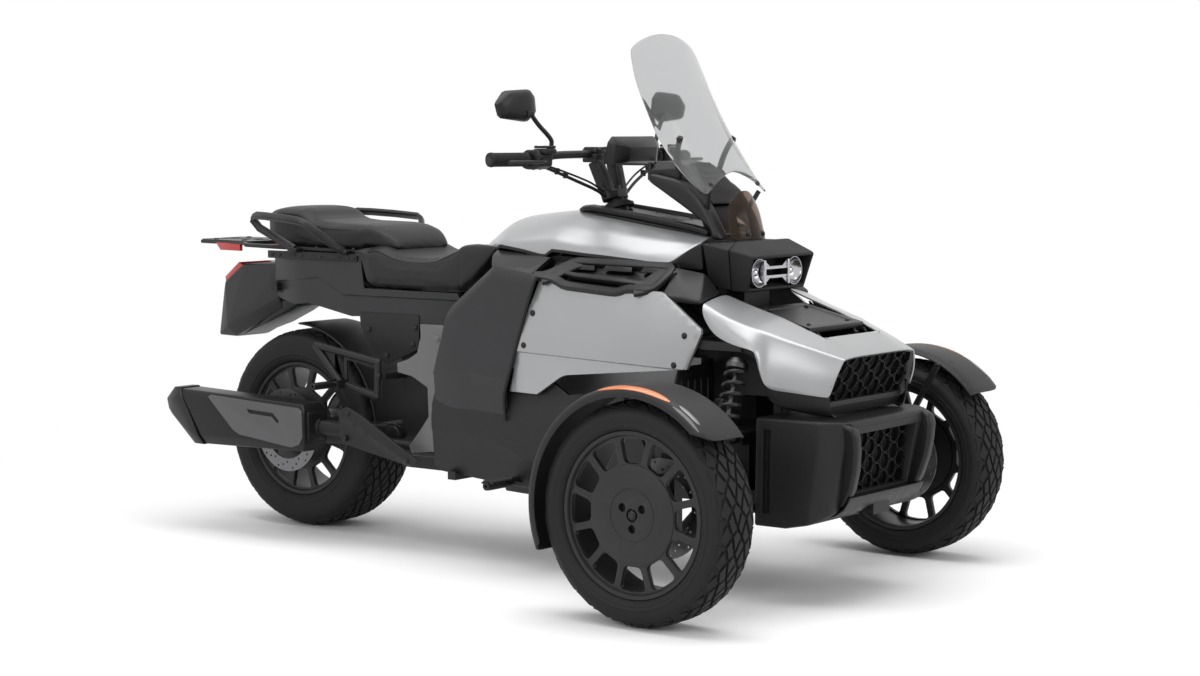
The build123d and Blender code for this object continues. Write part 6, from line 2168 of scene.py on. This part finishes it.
deck = hull_of(both_astern((
    (-92, 100, 818), (-88, 98, 826), (-60, 110, 843), (300, 148, 830), (300, 148, 844), (30, 143, 830),
    (30, 143, 844),
)), 0.003, 2)
add_hull(deck, both_astern((
    (-92, 100, 820), (-92, 92, 706), (-84, 103, 820), (-84, 96, 706),
)), 0.002, 2)
to_piece("tail_deck", deck, moulded_black, "charcoal_paint")
guard = covering(
    from_rear([(297, 676), (297, 636), (311, 601), (349, 546), (397, 527), (521, 577), (531, 676)]),
    range(310 - WHEELBASE, 530 - WHEELBASE, 30), (560, 590, 620, 645), [],
    lambda x, z: 0.10 * (676 - z), 145, 5, 2,
)
for r, z in ((330, 626), (395, 552), (500, 590), (514, 640)):
    bolt_head(guard, astern(r, -146 + 0.1 * (664 - z), z), (0, -1, 0), 0.007, 0.004)
to_pair("inner_rear_guard", guard, moulded_black)
knee = covering(
    from_rear([
        (676, 652), (676, 736), (700, 742), (752, 778), (800, 820), (848, 858), (905, 866), (905, 640),
        (740, 640),
    ]),
    range(690 - WHEELBASE, 905 - WHEELBASE, 30), (670, 700, 730, 760, 790, 820, 845),
    [((-1009, 655), (-804, 850)), ((-1001, 655), (-804, 842))],
    lambda x, z: 4 * ease(((x + 1009) * 0.95 - (z - 655)) / 8), 131, 5, 2,
)
to_pair("knee_panels", knee, charcoal_satin, "charcoal_paint")

# Tail fin and lamps ---
# A charcoal fin behind the seat that carries the number plate's bracket, with a thin red lamp
# along its upper edge and a ridge down each side.

fin = hull_of(both_astern((
    (-93, 95, 790), (-93, 90, 700), (-236, 93, 792), (-246, 88, 797), (-331, 84, 736), (-334, 72, 742),
    (-366, 76, 570), (-372, 60, 600), (-153, 96, 719), (-312, 94, 600), (-110, 95.5, 774),
    (-100, 95, 800), (-93, 70, 664), (-296, 72, 569), (-304, 60, 566), (-362, 60, 567),
)), 0.0035, 3, 5)
add_hull(fin, both_astern((
    (-93, 40, 700), (-93, 64, 648), (-44, 58, 672), (-36, 60, 692), (-290, 50, 571), (-180, 66, 610),
    (-93, 78, 690),
)), 0.006, 3, 6)
to_piece("tail_fin_shell", fin, charcoal_satin, "charcoal_paint", "tail_fin", sharp=24)
lamp_red = painted("red_lens", (0.38, 0.010, 0.008), 0.10, grain=160, depth=0.0002, coat=0.8, drift=0.04)
lamp = hull_of(both_astern((
    (-330, 82, 737), (-242, 90, 791), (-333, 82, 754), (-264, 89, 802), (-337, 60, 748),
)), 0.0025, 3)
to_piece("rear_lamp", lamp, lamp_red, "lamp_red", "tail_lamps")
plate_arm = hull_of(both_astern((
    (-356, 34, 600), (-370, 34, 600), (-340, 34, 690), (-352, 34, 690),
)), 0.002, 2)
to_piece("plate_bracket", plate_arm, moulded_black, "charcoal_paint")

# Rear rack and grab handles ---
# A black cast rack with side rails and four slots, bolted over the tail, and a bent bar
# each side for the passenger to hold.

rack = bmesh.new()
PLATE = [(-180, 116), (-200, 118), (-300, 110), (-418, 94), (-428, 84)]
outline = PLATE + [(r, -y) for r, y in reversed(PLATE)]
closed_line(rack, [astern(r, 0, y) for r, y in outline])
for r in (-390, -340, -290, -240):
    long_slot(rack, (REAR_AXLE_X + r / 1000, 0), 0.022, 0.082, 0)
thick_plate(rack, 0.0105)
for vert in rack.verts:
    x, y, z = vert.co
    vert.co = Vector((x, z, 0.8585 + y))
softened(rack, 0.0022, 3, 40)
for side in (-1, 1):
    rail = bmesh.new()
    path = [
        (300, 139, 852), (240, 139, 853), (-60, 139, 857), (-176, 139, 859), (-212, 112, 862),
        (-420, 91, 862),
    ]
    rings = []
    for (r, y, z), along in zip(path, headings([Vector((r, y * side, 0)) for r, y, z in path])):
        rings.append(soft_ring(
            astern(r, y * side, z), Vector((0, 0, 0.0062)), along.cross(Vector((0, 0, 1))) * 0.0085,
            0.6, 12,
        ))
    ring_loft(rail, rings)
    for r, y in ((-250, 78), (-380, 70)):
        bolt_head(rail, astern(r, y * side, 869), (0, 0, 1), 0.0085, 0.0036)
    for r in (270, 120, -40):
        bolt_head(rail, astern(r, 139 * side, 860), (0, 0, 1), 0.0055, 0.004)
    join(rack, rail)
for side in (-1, 1):
    add_brick(rack, astern, (-70, 298), [side * y for y in (150.5, 156)], (824, 847), 0.002, 2)
    for r in (-52, -20, 70, 150, 262, 284):
        bolt_head(rack, astern(r, side * 156, 836), (0, side, 0), 0.0065, 0.003)
    add_brick(rack, astern, (6, 48), [side * y for y in (154, 158)], (832, 840), 0.0015, 2)
    add_brick(rack, astern, (186, 232), [side * y for y in (154, 158)], (832, 840), 0.0015, 2)
outward(rack)
to_piece("luggage_rack", rack, satin_black, "frame_black", "rear_rack")
markers = bmesh.new()
for side in (-1, 1):
    add_hull(markers, [astern(r, side * y, z) for r, y, z in (
        (-228, 118, 838), (-228, 118, 861), (-322, 111, 838), (-346, 108, 861), (-228, 106, 838),
        (-322, 99, 838), (-228, 106, 861), (-346, 96, 861),
    )], 0.0015, 2)
to_piece("rear_side_markers", markers, lamp_red, "lamp_red")
grab_bar = bmesh.new()
upper_run = [astern(*point) for point in (
    (250, -160, 854), (238, -184, 868), (214, -226, 905), (190, -254, 934), (170, -260, 943),
    (80, -246, 950), (0, -232, 954), (-50, -223, 955), (-66, -217, 950), (-74, -210, 940),
    (-60, -198, 916), (20, -172, 872), (44, -160, 856),
)]
strap(grab_bar, upper_run, Vector((0, -0.75, 0.66)), 0.024, 0.015, 0.5)
for r, z in ((250, 850), (44, 850)):
    add_brick(grab_bar, astern, (r - 18, r + 18), (-142, -170), (z - 4, z + 7), 0.003, 2)
    bolt_head(grab_bar, astern(r, -164, z + 6), (0, 0, 1), 0.006, 0.004)
to_pair("grab_bars", grab_bar, satin_black, "frame_black", "grab_handles", sharp=60)

# Swingarm ---
# Two black pressed arms and a cross tube, with welded collars at the pivot and forged plugs
# that hold the rear axle.

ARM_LINE = [
    (-48, 275), (-54, 303), (-48, 331), (60, 338), (300, 350), (440, 359), (488, 352), (500, 330),
    (488, 308), (440, 300), (60, 268),
]


def side_plate(lines, outside, thickness, width, segments=2):
    """A plate on the right, cut to outlines from the rear axle, its edges rounded over."""
    bm = bmesh.new()
    for line in lines:
        closed_line(bm, [astern(r, 0, z) for r, z in line])
    thick_plate(bm, thickness)
    softened(bm, width, segments, 40)
    shift(bm, (0, -outside, 0))
    return bm


def cross_tube(bore, radius, half, steps, place):
    """A tube across the machine with square ends."""
    tube = bmesh.new()
    lathe_z(tube, [(bore, -half), (radius, -half), (radius, half), (bore, half)], steps)
    swivel(tube, math.pi / 2, "X")
    shift(tube, place)
    return tube


arm = side_plate([ARM_LINE], 0.194, 0.034, 0.008, 4)
join(arm, side_plate([((70, 286), (70, 318), (400, 344), (400, 316))], 0.197, 0.005, 0.0024, 3))
for r, z, radius in ((0, 303, 0.023), (470, 330, 0.026)):
    bolt_head(arm, astern(r, -194, z), (0, -1, 0), radius, 0.0055)
mirrored(arm)
join(arm, cross_tube(0.012, 0.029, 0.164, 28, astern(385, 0, 326)))
join(arm, cross_tube(0.004, 0.0095, 0.162, 20, astern(0, 0, 303)))
outward(arm)
to_piece("rear_arm", arm, satin_black, "frame_black", "swingarm", sharp=32)

# Rear hugger ---
# A thin black guard close over the rear tyre, with turned-down edges. It is moulded in one and
# held to the swingarm by a stay.

HUGGER_SECTION = [(-106, 319), (-105.5, 323.5), (-100, 324.8), (-50, 325)]
hugger = bmesh.new()
rows = []
for index in range(29):
    row = []
    for y, radius in HUGGER_SECTION + [(-y, radius) for y, radius in reversed(HUGGER_SECTION)]:
        x, z = on_circle(radius, math.radians(5 + 84 * index / 28))
        row.append(astern(x, y, 303 + z))
    rows.append(row)
skin(hugger, rows)
outward(hugger)
look_away(hugger, Vector((REAR_AXLE_X, 0, 0.303)))
rounded(to_piece("hugger_shell", hugger, moulded_black, node="rear_hugger", sharp=180), 1, 0.002)
stay = hull_of([astern(*point) for point in (
    (314, -160, 338), (330, -160, 338), (314, -160, 350), (330, -160, 350), (312, -96, 338),
    (326, -96, 350),
)], 0.002, 2)
to_piece("hugger_stay", stay, moulded_black)

# Drive belt ---
# A toothed rubber belt from the gearbox sprocket back to the pulley on the wheel, moulded as
# one endless loop over tension cords.

belt = bmesh.new()
foot, tip = Vector((REAR_AXLE_X, 0, 0.303)), Vector((REAR_AXLE_X + 0.560, 0, 0.332))
run = tip - foot
heading = math.atan2(run.z, run.x)
lean_angle = math.asin((0.0985 - 0.0405) / run.length)
BELT_SECTION = [
    (126.5, 1.2), (127.5, 0.4), (150.5, 0.4), (151.5, 1.2), (151.5, 4.8), (150.5, 5.6), (127.5, 5.6),
    (126.5, 4.8),
]
rings = []
for centre, radius, count, start, sweep in (
    (foot, 0.0985, 60, heading + math.pi / 2 - lean_angle, math.pi + 2 * lean_angle),
    (tip, 0.0405, 30, heading - math.pi / 2 + lean_angle, math.pi - 2 * lean_angle),
):
    for index in range(count + 1):
        ring = []
        for y, up in BELT_SECTION:
            x, z = on_circle(radius + up / 1000, start + sweep * index / count)
            ring.append(centre + Vector((x, y / 1000, z)))
        rings.append(ring)
loops = [[belt.verts.new(point) for point in ring] for ring in rings]
for index, loop in enumerate(loops):
    behind = loops[index - 1]
    for step in range(len(loop)):
        belt.faces.new((behind[step - 1], behind[step], loop[step], loop[step - 1]))
outward(belt)
to_piece("toothed_belt", belt, grip_rubber, "rubber", "drive_belt", sharp=60)

# Muffler ---
# A faceted silencer with a black heat shield, a cut-off outlet and a steel pipe that runs
# forward to the engine under two clamps.

exhaust_black = painted(
    "exhaust_black", (0.011, 0.011, 0.0115), 0.40, grain=240, depth=0.0005, metallic=0.3, drift=0.16,
)
heated_steel = painted(
    "heated_steel", (0.36, 0.34, 0.31), 0.30, grain=190, depth=0.0004, metallic=1.0, drift=0.30,
)
can = hull_of([astern(r, -y, z) for r, z, y_in, y_out in (
    (-266, 428, 254, 331), (-164, 266, 254, 331), (246, 275, 254, 331), (240, 414, 254, 331),
    (-258, 408, 242, 341), (-180, 292, 242, 341), (256, 300, 242, 341), (256, 392, 242, 341),
) for y in (y_in, y_out)], 0.005, 3, 10)
add_hull(can, [
    astern(r, -y, z) for r, z in ((236, 300), (236, 400), (262, 306), (262, 388)) for y in (258, 328)
], 0.004, 2)
to_piece("silencer_can", can, exhaust_black, "dark_steel", "muffler", sharp=26)
cap = bmesh.new()
add_hull(cap, [astern(r, -y, z) for r, z, y_in, y_out in (
    (-274, 431, 252, 333), (-300, 431, 256, 329), (-343, 392, 262, 323), (-335, 362, 262, 323),
    (-316, 348, 258, 329), (-214, 264, 254, 331), (-172, 264, 252, 333), (-266, 410, 240, 343.5),
    (-188, 292, 240, 343.5), (-300, 398, 244, 339), (-224, 296, 244, 339),
) for y in (y_in, y_out)], 0.005, 3, 10)
lip = bmesh.new()
rings = []
for out, half_up, half_across in (
    (-8, 0.024, 0.026), (1.5, 0.024, 0.026), (3, 0.0225, 0.0245), (1.5, 0.0195, 0.0215),
    (-8, 0.0185, 0.0205),
):
    middle = astern(-325, -292.5, 371) + Vector((-0.85, 0, -0.2)) * out / 1000
    upward = Vector((-0.35, 0, 0.93)) * half_up
    rings.append(soft_ring(middle, upward, Vector((0, half_across, 0)), 0.7, 24))
ring_loft(lip, rings)
outward(lip)
to_piece("silencer_cap", cap, satin_black, "dark_steel", sharp=26)
to_piece("outlet_lip", lip, heated_steel, "dark_steel", sharp=40)
shield_grey = painted(
    "shield_grey", (0.085, 0.085, 0.088), 0.36, grain=360, depth=0.0003, metallic=0.5, drift=0.08,
)
shield = side_plate([
    (
        (-140, 412), (-130, 418), (236, 404), (250, 394), (252, 318), (238, 296), (205, 286),
        (-10, 308), (-36, 320), (-132, 404),
    ),
    ((24, 386), (132, 382), (158, 360), (150, 352), (128, 371), (34, 375)),
], 0.3448, 0.005, 0.0014)
for r, z in ((-62, 386), (222, 304)):
    bolt_head(shield, astern(r, -343.2, z), (0, -1, 0), 0.0062, 0.0018)
outward(shield)
to_piece("heat_shield", shield, shield_grey, "dark_steel")
pipe = bmesh.new()
add_tube(pipe, [astern(*point) for point in (
    (250, -282, 345), (300, -274, 343), (360, -262, 340), (420, -240, 318), (480, -222, 302),
    (560, -206, 300), (640, -202, 300), (662, -196, 300), (662, -170, 300),
)], 0.0225, 24)
for middle, along in (((262, -280, 345), (1, 0.16, 0)), ((420, -240, 318), (1, 0.25, -0.2))):
    clamp = bmesh.new()
    lathe_z(clamp, [
        (0.0222, -0.009), (0.0258, -0.009), (0.0262, -0.006), (0.0262, 0.006), (0.0258, 0.009),
        (0.0222, 0.009), (0.0222, -0.009),
    ], 28)
    aim_up(clamp, Vector((0, 0, 0)), Vector(along))
    shift(clamp, astern(*middle))
    join(pipe, clamp)
outward(pipe)
to_piece("exhaust_pipe", pipe, exhaust_black, "dark_steel", sharp=60)

# Heel guard ---
# A black pressed plate over the pipe that keeps the rider's heel off it and hangs the silencer.
# Three bolts hold it.

HEEL_FOLD = from_rear(((380, 384), (600, 270)))
heel = covering(
    from_rear((
        (354, 402), (390, 414), (430, 396), (640, 276), (632, 262), (600, 258), (470, 284), (372, 306),
        (356, 330),
    )),
    range(370 - WHEELBASE, 640 - WHEELBASE, 20), range(280, 400, 20),
    [HEEL_FOLD, from_rear(((388, 392), (608, 278)))],
    lambda x, z: 8 * ease(side_of(x, z, *HEEL_FOLD) / 8) + 0.10 * max(0, x + WHEELBASE - 354), 306, 9, 4,
)
for r, z in ((392, 396), (600, 272), (380, 322)):
    bolt_head(heel, astern(r, -306 + 0.1 * (r - 354), z), (0, -1, 0), 0.0075, 0.004)
outward(heel)
to_piece("heel_guard", heel, satin_black, sharp=30)

# Pillion footrest plates ---
# Cast plates inside the passenger's footrest loops that tie them to the frame, and light grey
# castings behind the engine covers that carry the swingarm's pivot.

plates = side_plate([(
    (196, 570), (262, 562), (262, 500), (284, 478), (300, 484), (300, 556), (430, 536), (428, 520),
    (312, 540), (312, 470), (424, 452), (424, 444), (288, 473),
)], 0.216, 0.008, 0.0015)
to_pair("loop_plates", plates, satin_black, "frame_black")
casting_grey = painted(
    "casting_grey", (0.115, 0.115, 0.118), 0.46, grain=300, depth=0.0005, metallic=0.3, drift=0.08,
)
casting = covering(
    [
        (-1083, 662), (-1000, 664), (-962, 640), (-962, 300), (-1050, 300), (-1130, 290), (-1138, 310),
        (-1054, 400), (-1054, 484), (-1120, 512), (-1172, 520), (-1174, 546), (-1130, 560),
        (-1096, 580), (-1081, 628),
    ],
    range(-1160, -960, 20), range(320, 660, 20), [],
    lambda x, z: 6 * ease((-1050 - x) / 60) + 0.05 * max(0, 500 - z), 252, 12, 5,
)
bolt_head(casting, ahead(-1016, -252, 625), (0, -1, 0), 0.009, 0.004)
to_pair("pivot_castings", casting, casting_grey, "frame_black", sharp=30)

# Footrests ---
# Rubber-topped rider's pegs on forged arms, the brake pedal on the right, and the passenger's
# folding pegs on their loops.

FOOT_X, FOOT_Z = -715, 250
rests = bmesh.new()
bar = bmesh.new()
lathe_z(bar, [
    (0.004, 0.250), (0.0125, 0.250), (0.0125, 0.392), (0.011, 0.399), (0.004, 0.399), (0.004, 0.250),
], 24)
swivel(bar, math.pi / 2, "X")
shift(bar, (FRONT_AXLE_X + FOOT_X / 1000, 0, FOOT_Z / 1000))
join(rests, bar)
add_brick(rests, ahead, (FOOT_X - 21, FOOT_X + 21), (-301, -395), (FOOT_Z + 5, FOOT_Z + 11), 0.003, 2)
for y in range(308, 392, 10):
    add_hull(rests, [ahead(FOOT_X + dx, -(y + dy), FOOT_Z + up) for dx, dy, up in (
        (-19, -3, 10), (19, -3, 10), (-19, 3, 10), (19, 3, 10), (-17, 0, 16), (17, 0, 16),
    )], 0.001, 2)
mirrored(rests)
add_tube(rests, all_ahead((
    (FOOT_X, -297, FOOT_Z), (FOOT_X + 60, -300, FOOT_Z - 6), (FOOT_X + 110, -314, FOOT_Z + 6),
    (FOOT_X + 150, -330, FOOT_Z + 19),
)), 0.0062, 14)
add_brick(rests, ahead, (FOOT_X + 138, FOOT_X + 165), (-319, -365), (FOOT_Z + 15, FOOT_Z + 24), 0.003, 2)
for y in range(326, 362, 8):
    add_hull(rests, [
        ahead(FOOT_X + dx, -y + dy, FOOT_Z + z) for dx in (141, 162)
        for dy, z in ((-2, 23), (2, 23), (0, 27))
    ], 0.0006, 1)
outward(rests)
to_piece("rider_pegs", rests, satin_black, "frame_black", "rider_footrests", sharp=40)
for side, hand in ((-1, "right"), (1, "left")):
    peg = bmesh.new()
    lathe_z(peg, [
        (0.004, 0.254), (0.0085, 0.254), (0.0085, 0.262), (0.0108, 0.264), (0.0108, 0.336),
        (0.0095, 0.3395), (0.004, 0.3395), (0.004, 0.254),
    ], 24)
    for y in range(270, 336, 9):
        ring = bmesh.new()
        lathe_z(ring, [
            (0.0106, y / 1000 - 0.002), (0.0110, y / 1000 - 0.001), (0.0110, y / 1000 + 0.001),
            (0.0106, y / 1000 + 0.002), (0.0106, y / 1000 - 0.002),
        ], 24)
        join(peg, ring)
    swivel(peg, -side * math.pi / 2, "X")
    shift(peg, astern(290, 0, 470))
    eye = bmesh.new()
    lathe_z(eye, [(0.0045, -0.011), (0.009, -0.011), (0.009, 0.011), (0.0045, 0.011), (0.0045, -0.011)], 24)
    swivel(eye, math.pi / 2, "Y")
    shift(eye, astern(290, side * 246, 470))
    join(peg, eye)
    outward(peg)
    to_piece(
        f"passenger_peg_{hand}_bar", peg, satin_black, "frame_black", f"passenger_peg_{hand}",
        body=f"peg_{hand}", sharp=40,
    )
